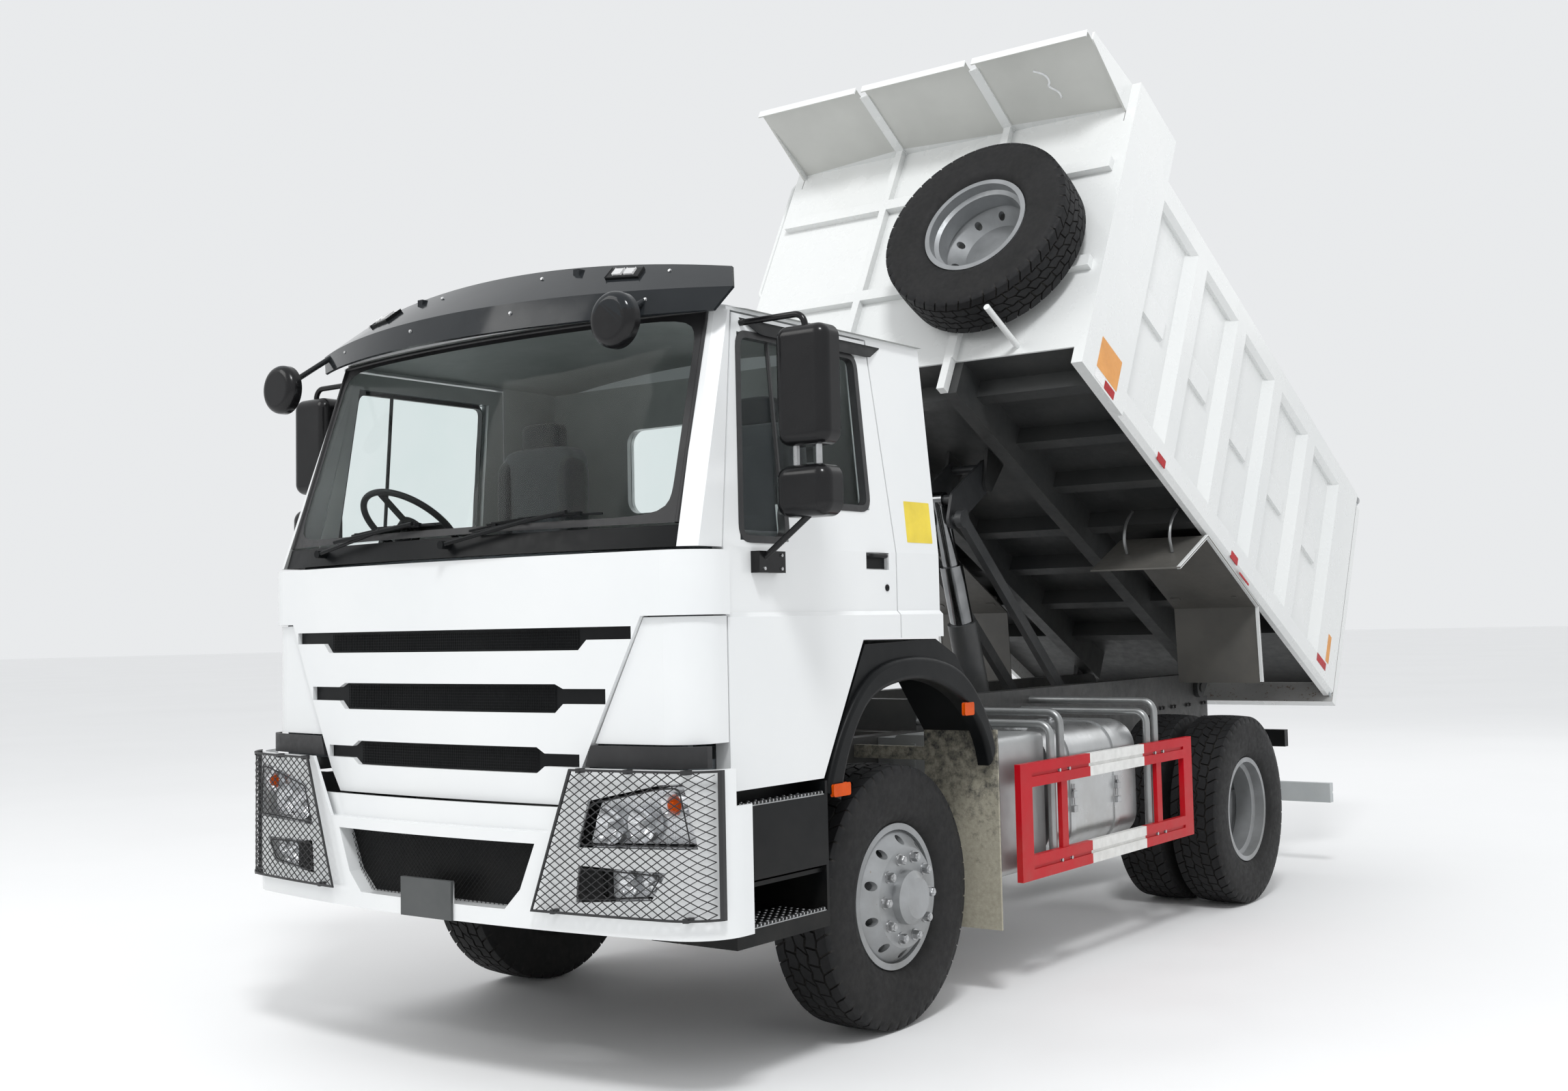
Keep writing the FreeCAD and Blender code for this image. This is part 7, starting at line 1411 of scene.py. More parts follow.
# ---------------------------------------------------------------- cab
@dataclass
class CabWall:
    """Side wall of the cab, upright up to the belt and leaning in above it."""

    half: float = 1.172
    belt: float = 1.96
    top: float = 2.86
    lean: float = 0.080

    def outside(self, z: np.ndarray) -> np.ndarray:
        """X of the wall at a height: constant to the belt, then falling evenly by the lean."""
        return self.half - self.lean * np.clip((z - self.belt) / (self.top - self.belt), 0.0, 1.0)

    def strip(self, outline: np.ndarray, inner: float, outer: float, stand: float, sink: float) -> Surface:
        """Band that follows an (y, z) outline on the wall.

        The band's section has its inner edge below the skin, a flat top and its outer edge on the skin, and
        each of its lines is the outline moved sideways by a width along the outline's normal.

        Args:
            outline: Closed outline, points by two.
            inner: How far the band reaches inwards from the outline.
            outer: How far it reaches outwards.
            stand: How far its top stands out of the wall.
            sink: How far its edges lie inside the wall.

        Returns:
            The closed band.
        """
        along = np.roll(outline, -1, 0) - np.roll(outline, 1, 0)
        along /= np.linalg.norm(along, axis=1, keepdims=True)
        normal = np.stack([along[:, 1], -along[:, 0]], -1)
        widths = np.array([-inner, -inner * 0.9, outer * 0.85, outer])
        stands = np.array([-sink, stand, stand, -0.001])
        flat = outline[None] + widths[:, None, None] * normal[None]
        points = np.empty((4, len(outline), 3))
        points[..., 1:] = flat
        points[..., 0] = self.outside(flat[..., 1]) + stands[:, None]
        return outward(grid(points, True, True))


@dataclass
class Windscreen:
    """Dark printed border, seal and wiper blades of the bowed windscreen.

    The glass goes from the base up to the head, and low and high are the ends of its printed border.
    """

    low: float = 2.043
    high: float = 2.850
    base: float = 1.957
    head: float = 2.860
    centre_y: float = -1.504
    rake: float = 0.300
    arc: float = 4.57
    half: float = 1.090
    taper: float = 0.058
    seal_side: float = 0.998
    seal_radius: float = 0.008
    blade_radius: float = 0.0045
    carrier_radius: float = 0.0035
    wiper_pivots: Pair = (-0.76, 0.06)
    wiper_z: float = 2.005
    blade_start: float = 0.10
    blade: float = 0.62

    def at(self, side: np.ndarray, z: np.ndarray, stand: float) -> np.ndarray:
        """Points of the screen: y = c + rake s + R - sqrt(R^2 - x^2) at the share s of its height.

        Args:
            side: From -1 at the right edge to 1 at the left edge.
            z: Height.
            stand: How far the points stand ahead of the glass.

        Returns:
            The points, one for each side and z.
        """
        share = (z - self.base) / (self.head - self.base)
        x = side * (self.half - self.taper * share)
        y = self.centre_y + self.rake * share + self.arc - np.sqrt(self.arc ** 2 - x ** 2) - stand
        return np.stack([x, y, z], -1)

    def border(self) -> Surface:
        """Band between the glass's edge and a rounded opening, printed on the glass.

        Returns:
            The band, a millimetre thick.
        """
        middle = (self.low + self.high) / 2.0
        height = (self.high - self.low) / 2.0
        turn = np.linspace(0.0, 2.0 * np.pi, 160, endpoint=False)
        cos, sin = np.cos(turn), np.sin(turn)
        square = 1.0 / np.maximum(np.abs(cos), np.abs(sin))
        outer = np.stack([cos * square, sin * square], -1)
        soft = (np.abs(cos) ** 14 + np.abs(sin) ** 14) ** (-1.0 / 14.0)
        inner = np.stack([cos * soft * 0.965, sin * soft * 0.93], -1)
        edge = outer * 0.997
        rows = [
            self.at(loop[:, 0], middle + loop[:, 1] * height, stand)
            for loop, stand in ((edge, 0.0008), (inner, 0.0008), (inner, -0.0002), (edge, -0.0002))]
        return outward(grid(np.stack(rows), True, True))

    def seal(self) -> Surface:
        """Rubber bead along the sides and the top of the glass.

        Returns:
            The bead.
        """
        side, top = self.seal_side, self.high - 0.004
        corner = np.array([(-side, self.low), (-side, top), (side, top), (side, self.low)])
        t = np.linspace(0.0, 1.0, 24)[:, None]
        flat = np.concatenate([a + t * (b - a) for a, b in zip(corner[:-1], corner[1:])])
        kept = np.concatenate([[True], np.linalg.norm(np.diff(flat, axis=0), axis=1) > 1e-6])
        path = self.at(flat[kept, 0], flat[kept, 1], 0.002)
        return tube(path, self.seal_radius, 8, up=(0.1, 1.0, 0.3))

    def blades(self) -> Surface:
        """Rubber blades with their carriers along both parked wipers.

        Returns:
            Both blades.
        """
        parts = []
        for pivot in self.wiper_pivots:
            t = np.linspace(0.0, 1.0, 20)
            x = pivot + self.blade_start + t * self.blade
            z = self.wiper_z + 0.062 + t * 0.035 - 0.012 * (2.0 * t - 1.0) ** 2
            side = x / (self.half - self.taper * 0.1)
            parts.append(tube(self.at(side, z, 0.010), self.blade_radius, 6, up=(0.0, 1.0, 0.2)))
            carrier = self.at(side[3:-3], z[3:-3] + 0.006, 0.022)
            parts.append(tube(carrier, self.carrier_radius, 6, up=(0.0, 1.0, 0.2)))
            joints = self.at(side[4::4], z[4::4] + 0.003, 0.016)
            parts.append(repeated(block((-0.012, -0.007, -0.008), (0.012, 0.007, 0.008)), joints))
        return joined(parts)


@dataclass
class DoorFittings:
    """Seals, handle, lock, deflector, hinge cover and blank label of one cab side."""

    wall: CabWall
    window: tuple[Pair, ...] = (
        (-1.096, 1.985), (-0.800, 1.985), (-0.800, 2.130), (-0.225, 2.130), (-0.225, 2.770), (-1.008, 2.770))
    divider_y: float = -0.800
    hinge_cover: Extent = (-1.232, -1.212, 1.752, 1.925)
    handle_z: float = 1.945
    lock: Pair = (-0.131, 1.815)
    strip_top: float = 2.828
    label: Extent = (0.040, 0.240, 2.006, 2.180)

    def plate(self, box: Extent, stand: float, sink: float = 0.002, round_by: float = 0.01) -> Surface:
        """Thin plate on the wall with eased corners, whose faces follow the wall's lean.

        Args:
            box: Its range along Y and Z.
            stand: How far it stands out of the wall.
            sink: How far it goes into the wall.
            round_by: Reach of the eased corners.

        Returns:
            The plate on the left wall.
        """
        outline = rounded_box(box, round_by, 4)
        points = np.empty((2, len(outline), 3))
        points[..., 1:] = outline
        points[0, :, 0] = self.wall.outside(outline[:, 1]) - sink
        points[1, :, 0] = self.wall.outside(outline[:, 1]) + stand
        return capped(grid(points, False, True), 2, len(outline))

    def seal(self) -> Surface:
        """Black frame round the door window."""
        corners = rounded_outline(self.window, 0.060, 7)
        return self.wall.strip(corners, 0.020, 0.010, 0.0035, 0.030)

    def divider(self) -> Surface:
        """Upright bar between the fixed and the sliding pane.

        Returns:
            The left bar.
        """
        z = np.linspace(1.990, 2.765, 12)
        y = np.full_like(z, self.divider_y)
        return tube(np.stack([self.wall.outside(z) - 0.020, y, z], -1), 0.009, 6, up=(1.0, 0.0, 0.0))

    def handle(self) -> Surface:
        """Pull handle that lies in its recess, with two feet and a key disc.

        Returns:
            The left handle.
        """
        foot, grip_x, z = self.wall.half - 0.018, self.wall.half + 0.006, self.handle_z
        path = eased_path(
            [(foot, -0.268, z), (grip_x, -0.255, z), (grip_x, -0.136, z), (foot, -0.123, z)], 0.014)
        grip = tube(path, 0.009, 8)
        back = slab(
            [(-0.274, 1.893), (-0.117, 1.893), (-0.117, 1.953), (-0.274, 1.953)], self.wall.half - 0.0235,
            self.wall.half - 0.0195, 0)
        lock = lathe(
            [(-0.002, 0.014), (0.0035, 0.014), (0.0045, 0.011), (0.0045, 0.004), (0.002, 0.003)], 0, 24)
        return joined([grip, back, lock.moved((self.wall.half, *self.lock))])

    def deflector(self) -> Surface:
        """Rain strip above the door window: a bent sheet that hangs off the wall and tapers at its ends.

        Returns:
            The left strip.
        """
        s = np.linspace(0.0, 1.0, 30)
        y = -0.985 + s * 0.955
        end = np.minimum(1.0, np.minimum(s, 1.0 - s) * 9.0)
        drop, out = 0.052 * end + 0.006, 0.016 * end + 0.002
        section = np.array([(0.0, 0.0), (0.55, 0.35), (1.0, 1.0), (0.80, 1.0), (0.40, 0.45), (0.0, 0.12)])
        points = np.empty((len(s), len(section), 3))
        points[..., 1] = y[:, None]
        points[..., 2] = self.strip_top - drop[:, None] * section[None, :, 1]
        points[..., 0] = self.wall.outside(points[..., 2]) - 0.001 + out[:, None] * section[None, :, 0]
        return capped(grid(points, False, True), len(s), len(section))

    def build(self) -> None:
        """Makes the pieces of both cab sides."""
        for side in Side:
            word = side.name.lower()
            body = f"door_{word}"
            black = joined([self.seal(), self.divider()])
            pieces = (
                ("window_seal", black, Finishes.GLAZING, body),
                ("door_handle", self.handle(), Finishes.PLASTIC, body),
                ("rain_strip", self.deflector(), Finishes.PLASTIC, body),
                ("hinge_cover", self.plate(self.hinge_cover, 0.004), Finishes.WHITE, "chassis"))
            for name, surface, finish, carrier in pieces:
                add_piece(
                    f"{name}_{word}", surface if side is Side.LEFT else surface.across(), finish, carrier)
        label = self.plate(self.label, 0.0012, 0.001, 0.004)
        add_piece("blank_label", label, Finishes.YELLOW, "chassis")


@dataclass
class Mirrors:
    """Mirror glasses, and the bolts of the arms' feet."""

    x: float = 1.395
    y: float = -0.930
    bolt_x: float = 1.2120
    bolts: tuple[Pair, ...] = ((-1.010, 1.880), (-0.905, 1.880), (-0.905, 1.930))

    def pane(self, x: float, low: float, high: float, half: float, corner: float) -> Surface:
        """Mirror glass set in the back of a housing, slightly bulged: y falls by a square of the offset.

        Args:
            x: Its middle across the truck.
            low: Its lower edge.
            high: Its upper edge.
            half: Half its width.
            corner: Reach of the eased corners.

        Returns:
            The glass.
        """
        outline = rounded_box((x - half, x + half, low, high), corner, 6)
        centre = outline.mean(0)
        rows = []
        for share, stand in ((1.0, -0.0045), (1.0, 0.0), (0.96, 0.0014), (0.6, 0.0030), (0.25, 0.0037)):
            flat = centre + (outline - centre) * share
            rows.append(np.stack([flat[:, 0], np.full(len(flat), self.y + stand), flat[:, 1]], -1))
        return capped(grid(np.stack(rows), False, True), 5, len(outline))

    def build(self) -> None:
        """Makes the panes of both sides and the bolts of the arm feet."""
        left = joined(
            [self.pane(self.x, 2.345, 2.735, 0.092, 0.03), self.pane(self.x, 2.083, 2.228, 0.096, 0.035)])
        bolts = repeated(hexagon_bolt(0.014, 0.006), [(self.bolt_x, y, z) for y, z in self.bolts])
        for side in Side:
            word = side.name.lower()
            for name, surface, finish in (
                    ("mirror_panes", left, Finishes.MIRROR_GLASS), ("mirror_bolts", bolts, Finishes.BRIGHT)):
                placed = surface if side is Side.LEFT else surface.across()
                add_piece(f"{name}_{word}", placed, finish, f"door_{word}")


@dataclass
class VisorFittings:
    """Marker lamps, blank label and screws on the sun visor."""

    lip: tuple[float, float, float, float, float] = (-1.420, 2.820, 1.109, -1.152, 2.830)
    ridge: tuple[float, float, float, float, float] = (-1.370, 2.935, 1.168, -1.110, 2.915)
    top: tuple[float, float, float, float, float] = (-1.150, 3.100, 1.080, -1.000, 3.020)
    lamps: Pair = (-0.62, 0.62)

    def on_panel(self, share: np.ndarray, rise: np.ndarray, stand: float, upper: bool = False) -> np.ndarray:
        """Points of a panel: each of its edges is a parabola y = y0 + (y1 - y0) s^2, z likewise.

        Args:
            share: Place across, from -1 to 1.
            rise: Place from the panel's lower edge to its upper one.
            stand: How far the points stand off the panel, ahead and for the upper panel also up.
            upper: Whether the panel above the ridge is meant.

        Returns:
            The points.
        """
        rows = []
        for y0, z0, half, y1, z1 in ((self.ridge, self.top) if upper else (self.lip, self.ridge)):
            y = y0 + (y1 - y0) * share ** 2 - stand * (0.6 if upper else 1.0)
            z = z0 + (z1 - z0) * share ** 2 + stand * (0.8 if upper else 0.0)
            rows.append(np.stack([half * share, y, z], -1))
        return rows[0] + (rows[1] - rows[0]) * rise[..., None]

    def patch(self, s0: float, s1: float, low: float, high: float, stand: float, upper: bool) -> Surface:
        """Raised patch that follows a panel between two places across and two rises.

        Args:
            s0: Where it starts across.
            s1: Where it ends.
            low: Its lower rise.
            high: Its upper rise.
            stand: How far it stands off the panel.
            upper: Whether the panel is the upper one.

        Returns:
            The closed patch.
        """
        across, up = np.meshgrid(np.linspace(s0, s1, 12), np.linspace(low, high, 5), indexing="ij")
        front = self.on_panel(across, up, stand, upper)
        back = self.on_panel(across, up, -0.002, upper)
        return capped(grid(np.concatenate([front, back[:, ::-1]], 1), False, True), 12, 10)

    def build(self) -> None:
        """Makes the lamps, the label and the rows of screws."""
        holders = joined([self.patch(s - 0.062, s + 0.062, 0.46, 0.80, 0.012, True) for s in self.lamps])
        lenses = joined([
            self.patch(s + d - 0.017, s + d + 0.017, 0.53, 0.73, 0.019, True) for s in self.lamps
            for d in (-0.022, 0.022)])
        add_piece("visor_lamp_holders", holders, Finishes.PLASTIC, "chassis", 0.003)
        add_piece("visor_lamps", lenses, Finishes.WHITE_LENS, "chassis", 0.002)
        add_piece(
            "visor_label", self.patch(-0.93, -0.80, 0.22, 0.62, 0.0012, False), Finishes.BED_WHITE, "chassis")
        share = np.array([-0.75, -0.25, 0.25, 0.75])
        places = np.concatenate([
            self.on_panel(share, np.full(4, 0.62), 0.002),
            self.on_panel(share * 1.04, np.full(4, 0.72), 0.002, True)])
        heads = repeated(
            hexagon_bolt(0.013, 0.005, 0.008), places, np.tile(facing((0.0, -1.0, 0.15)), (8, 1, 1)))
        add_piece("visor_screws", heads, Finishes.BRIGHT, "chassis")


@dataclass
class SeatPads:
    """Upholstered pads of one seat, as crowned closed forms with sewn channels."""

    x: float = 0.62
    channel_depth: float = 0.007
    cushion: Box = ((-0.246, -0.757, 1.950), (0.246, -0.235, 2.058))
    back: Box = ((-0.234, -0.352, 2.040), (0.234, -0.206, 2.520))
    head: Box = ((-0.122, -0.324, 2.500), (0.122, -0.236, 2.638))
    bolsters: tuple[Box, ...] = (
        ((-0.240, -0.372, 2.050), (-0.150, -0.228, 2.470)), ((0.150, -0.372, 2.050), (0.240, -0.228, 2.470)))

    def pad(self, box: Box, channels: int, along: int, power: float = 0.34) -> Surface:
        """Crowned pad between two corners.

        The form is a superellipsoid: each direction is sign(c) |c|^p of the cosines and sines of two
        turns, which keeps broad crowned faces and draws the sides in between the corners. Channels are
        narrow dips by the square of a cosine's high power across one direction.

        Args:
            box: Lower and upper corner, with X from the seat's middle.
            channels: How many channels are sewn across the pad.
            along: The direction that the channels are spaced along.
            power: How square the form is; 1 is an ellipsoid.

        Returns:
            The closed pad.
        """
        lower, upper = np.array(box) + (self.x, 0.0, 0.0)
        v, u = np.meshgrid(
            np.linspace(-np.pi / 2, np.pi / 2, 41), np.linspace(-np.pi, np.pi, 72, endpoint=False),
            indexing="ij")
        waves = (np.cos(v), np.sin(v), np.cos(u), np.sin(u))
        cos_v, sin_v, cos_u, sin_u = (np.sign(wave) * np.abs(wave) ** power for wave in waves)
        unit = np.stack([cos_v * cos_u, cos_v * sin_u, sin_v], -1)
        place = (unit[..., along] + 1.0) / 2.0 * (channels + 1)
        sewn = (place > 0.5) & (place < channels + 0.5)
        dip = np.where(sewn, np.cos(np.pi * (place - np.round(place))) ** 24, 0.0)
        centre = (lower + upper) / 2.0
        points = centre + unit * (upper - lower) / 2.0
        inward = centre - points
        inward[..., along] = 0.0
        size = np.linalg.norm(inward, axis=-1, keepdims=True)
        drawn_in = inward / np.maximum(size, 1e-6) * dip[..., None] * self.channel_depth
        return outward(grid(points + drawn_in, False, True))

    def build(self) -> None:
        """Makes the cushions, backs, head rests and bases of both seats."""
        x = self.x
        foot = rounded_box((-0.37, -0.235, 1.655, 1.955), 0.02)
        base = slab(foot, x - 0.17, x + 0.17, 0)
        sides = joined([self.pad(box, 0, 0, 0.5) for box in self.bolsters])
        pads = (
            ("seat_cushions", self.pad(self.cushion, 3, 1), Finishes.CLOTH),
            ("seat_backs", self.pad(self.back, 4, 2), Finishes.CLOTH),
            ("head_rests", self.pad(self.head, 0, 0, 0.45), Finishes.BOLSTER),
            ("seat_bolsters", sides, Finishes.BOLSTER))
        for name, surface, finish in pads:
            piece = add_piece(
                name, both_sides(surface), finish, "chassis", replaces=("seats",))
        add_piece("seat_bases", both_sides(base), Finishes.DASH, "chassis", 0.004)


@dataclass
class DashFittings:
    """Instrument hood, air vents and gear lever inside the cab."""

    driver_x: float = -0.62
    vents_x: tuple[float, ...] = (-0.92, -0.16, 0.16, 0.92)
    lever: tuple[Point, ...] = ((-0.22, -0.72, 1.66), (-0.22, -0.74, 1.80), (-0.24, -0.76, 1.93))
    knob_place: Point = (-0.24, -0.76, 1.925)

    def build(self) -> None:
        """Makes the pieces on the dashboard and the tunnel."""
        across, turn = np.meshgrid(np.linspace(-0.24, 0.24, 24), np.linspace(0.0, np.pi, 14), indexing="ij")
        rise = 0.055 * (1.0 - (across / 0.26) ** 4)
        hood = np.stack(
            [self.driver_x + across, -1.09 - 0.075 * np.cos(turn), 2.000 + rise * np.sin(turn)], -1)
        add_piece(
            "instrument_hood", outward(capped(grid(hood, False, True), 24, 14)), Finishes.DASH, "chassis")
        slats = repeated(
            block((-0.055, -0.002, -0.003), (0.055, 0.010, 0.003)),
            [(x, -0.985 - 0.035 * s, 1.905 + 0.016 * s) for x in self.vents_x for s in range(4)])
        add_piece("dash_vents", slats, Finishes.PLASTIC, "chassis")
        lever = tube(eased_path(self.lever, 0.06), 0.009, 8, up=(1.0, 0.0, 0.0))
        knob = lathe([(0.0, 0.010), (0.010, 0.020), (0.030, 0.024), (0.048, 0.019), (0.056, 0.006)], 2, 20)
        add_piece("gear_lever", joined([lever, knob.moved(self.knob_place)]), Finishes.PLASTIC, "chassis")


@dataclass
class StepTreads:
    """Bright toothed noses and grip studs of the cab steps."""

    front_y: float = -1.178
    rear_y: float = -0.642
    tooth_step: float = 0.022
    stud_step: float = 0.028
    steps: tuple[Point, ...] = ((1.075, 1.198, 1.026), (0.98, 1.198, 0.590))

    def tread(self, x0: float, x1: float, z: float) -> Surface:
        """Toothed nose of a step from x0 to x1 at the height z, and the rows of round studs on it.

        Args:
            x0: The step's inner edge.
            x1: Its outer edge.
            z: Its height.

        Returns:
            The nose, its teeth and the studs.
        """
        section = rounded_box((z - 0.010, z + 0.004, x1 - 0.012, x1 - 0.0005), 0.003, 3)
        nose = slab(section, self.front_y, self.rear_y, 1)
        teeth_y = np.arange(self.front_y + 0.012, self.rear_y - 0.008, self.tooth_step)
        tooth = slab([(0.0, 0.0), (0.0, 0.012), (0.006, 0.009), (0.006, 0.003)], -0.011, 0.0, 0)
        tooth = tooth.moved((x1 - 0.001, 0.0, z + 0.003))
        teeth = repeated(tooth, np.stack([np.zeros_like(teeth_y), teeth_y, np.zeros_like(teeth_y)], -1))
        rows = np.arange(x0 + 0.018, x1 - 0.02, self.stud_step)
        spots = np.stack(np.meshgrid(rows, teeth_y[::2] + 0.006, indexing="ij"), -1).reshape(-1, 2)
        stud = lathe([(0.0, 0.0075), (0.0025, 0.0065), (0.0035, 0.0035)], 2, 10)
        studs = repeated(stud, np.column_stack([spots, np.full(len(spots), z + 0.0005)]))
        return joined([nose, teeth, studs])

    def build(self) -> None:
        """Makes the treads of both sides."""
        left = joined([self.tread(*step) for step in self.steps])
        add_piece("step_treads", both_sides(left), Finishes.BRIGHT, "chassis")


# ---------------------------------------------------------------- chassis
@dataclass
class FrameBolts:
    """Bolts along the frame rails and on the side guards."""

    rail_x: float = 0.430
    guard_x: float = 1.214
    pairs: tuple[float, ...] = (
        -1.10, -0.76, -0.45, 0.45, 0.76, 1.00, 1.66, 2.05, 2.84, 3.00, 4.20, 4.38, 4.62, 4.88)
    rail_rows: tuple[float, ...] = (0.885, 0.985, 1.085)
    guard_rows: Pair = (0.539, 0.960)
    guard_posts: Pair = (1.32, 2.405)

    def build(self) -> None:
        """Makes the rows of bolts."""
        columns = np.array([(y + dy, z) for y in self.pairs for dy in (0.0, 0.05) for z in self.rail_rows])
        places = np.column_stack([np.full(len(columns), self.rail_x), columns])
        rail = repeated(hexagon_bolt(0.022, 0.012, 0.016), places)
        add_piece("rail_bolts", both_sides(rail), Finishes.CASTING, "chassis")
        spots = [
            (self.guard_x - 0.0082, y + dy, z) for y in self.guard_posts for dy in (-0.05, 0.05)
            for z in self.guard_rows]
        guard = repeated(hexagon_bolt(0.019, 0.0075, 0.014), spots)
        add_piece("guard_bolts", both_sides(guard), Finishes.BRIGHT, "chassis")


@dataclass
class SpringClamps:
    """U-bolts with their nuts over the leaf springs."""

    rod: float = 0.010
    x: float = 0.39
    half: float = 0.052
    low: float = 0.44
    front_top: float = 0.64
    front_y: Pair = (-0.072, 0.072)
    rear_top: float = 0.80
    rear_y: Pair = (-0.105, 0.105)

    def clamp(self, y: float, top: float) -> Surface:
        """One U-bolt: a rod over the spring pack with both legs down to their nuts.

        Args:
            y: Where it stands along the truck.
            top: Height of its bend.

        Returns:
            The bolt with its two nuts.
        """
        x0, x1, low = self.x - self.half, self.x + self.half, self.low
        path = eased_path([(x0, y, low), (x0, y, top), (x1, y, top), (x1, y, low)], 0.02)
        nuts = repeated(
            hexagon_bolt(0.030, 0.022), [(x0, y, low + 0.012), (x1, y, low + 0.012)],
            np.tile(UPRIGHT, (2, 1, 1)))
        return joined([tube(path, self.rod, 8, up=(0.0, 1.0, 0.0)), nuts])

    def build(self) -> None:
        """Makes the clamps of both axles."""
        front = [self.clamp(y, self.front_top) for y in self.front_y]
        rear = [self.clamp(WHEELBASE + y, self.rear_top) for y in self.rear_y]
        add_piece("spring_clamps", both_sides(joined(front + rear)), Finishes.SPRING, "chassis")


@dataclass
class TankFittings:
    """Rolled end seams, strap bolts, ribbed filler cap and sender of the fuel tank."""

    inner: float = 0.55
    outer: float = 1.12
    low: float = 0.52
    high: float = 1.14
    corner: float = 0.15
    front: float = 1.32
    rear: float = 2.30
    seam_radius: float = 0.006
    cap_radius: float = 0.0545
    rib_depth: float = 0.0022
    ribs: float = 24.0
    sender: Pair = (0.80, 1.98)
    straps_y: Pair = (1.565, 2.055)

    def seam(self, y: float, stand: float) -> Surface:
        """Rounded bead that follows the tank's section.

        Args:
            y: Where it runs along the truck.
            stand: How far it stands off the section.

        Returns:
            The bead.
        """
        x0, x1 = self.inner - stand, self.outer + stand
        z0, z1 = self.low - stand, self.high + stand
        outline = rounded_box((x0, x1, z0, z1), self.corner * 1.6, 12)
        path = np.stack([outline[:, 0], np.full(len(outline), y), outline[:, 1]], -1)
        return tube(path, self.seam_radius, 6, True, (0.0, 1.0, 0.0))

    def build(self) -> None:
        """Makes the tank's pieces."""
        seams = joined([self.seam(y, -0.012) for y in (self.front + 0.022, self.rear - 0.022)])
        add_piece("tank_seams", seams, Finishes.TANK, "chassis")
        cap_x = self.inner + (self.outer - self.inner) * 0.6
        cap_y = self.front + (self.rear - self.front) * 0.12
        turn = np.linspace(0.0, 2.0 * np.pi, 97)[:-1]
        ribs = self.cap_radius - self.rib_depth * (np.cos(turn * self.ribs) > 0.0)
        levels = np.array([(0.0355, 0.95), (0.0355, 1.0), (0.002, 1.0), (0.002, 0.95)])
        ring = np.empty((4, len(turn), 3))
        ring[..., 0] = cap_x + ribs * np.cos(turn) * levels[:, 1:]
        ring[..., 1] = cap_y + ribs * np.sin(turn) * levels[:, 1:]
        ring[..., 2] = self.high + levels[:, :1] - 0.0008
        cap = capped(grid(ring, False, True), 4, len(turn))
        bar = block(
            (cap_x - 0.045, cap_y - 0.009, self.high + 0.020),
            (cap_x + 0.045, cap_y + 0.009, self.high + 0.0348))
        add_piece("filler_cap", joined([cap, bar]), Finishes.PLASTIC, "chassis", 0.0008)
        sender = lathe([(0.0, 0.034), (0.006, 0.034), (0.008, 0.030), (0.012, 0.014), (0.030, 0.012)], 2, 28)
        ring = [(0.027 * math.cos(a), 0.027 * math.sin(a), 0.006) for a in np.arange(5) * 1.2566]
        screws = repeated(hexagon_bolt(0.008, 0.004), ring, np.tile(UPRIGHT, (5, 1, 1)))
        add_piece(
            "tank_sender", joined([sender, screws]).moved((*self.sender, self.high)), Finishes.BRIGHT,
            "chassis")
        bolts = []
        for y in self.straps_y:
            lug = block((self.outer + 0.006, y - 0.020, 0.800), (self.outer + 0.022, y + 0.020, 0.830))
            rod = lathe([(-0.05, 0.005), (0.05, 0.005)], 2, 8).moved((self.outer + 0.014, y, 0.815))
            nut = hexagon_bolt(0.017, 0.012).turned(UPRIGHT)
            bolts += [lug, rod, nut.moved((self.outer + 0.014, y, 0.830)), lug.moved((0.0, 0.0, -0.07))]
        add_piece("strap_bolts", joined(bolts), Finishes.BRIGHT, "chassis", 0.0008)


@dataclass
class ArchFittings:
    """Side marker lamps of the wheel arches."""

    face_x: float = 1.200
    markers: tuple[Extent, ...] = ((-0.598, -0.486, 1.012, 1.058), (0.404, 0.480, 1.266, 1.318))

    def build(self) -> None:
        """Makes the lamps."""
        lamps = []
        for marker in self.markers:
            lamps.append(slab(rounded_box(marker, 0.008, 4), self.face_x - 0.004, self.face_x + 0.012, 0))
        add_piece("side_marker_lamps", both_sides(joined(lamps)), Finishes.AMBER, "chassis", 0.003)


@dataclass
class TailLamps:
    """Three-part lenses on the tail lamps."""

    y: float = 5.010
    low: float = 0.800
    high: float = 0.910
    rim: float = 0.012
    parts: tuple[tuple[float, float, str], ...] = (
        (0.652, 0.742, "white"), (0.750, 0.850, "red"), (0.858, 0.958, "amber"))

    def build(self) -> None:
        """Makes the lenses."""
        finishes = {"white": Finishes.WHITE_LENS, "red": Finishes.RED_LENS, "amber": Finishes.AMBER}
        for x0, x1, word in self.parts:
            outline = rounded_box((self.low + self.rim, self.high - self.rim, x0, x1), 0.01, 4)
            lens = slab(outline, self.y - 0.002, self.y + 0.012, 1)
            add_piece(f"tail_lens_{word}", both_sides(lens), finishes[word], "chassis", 0.004)


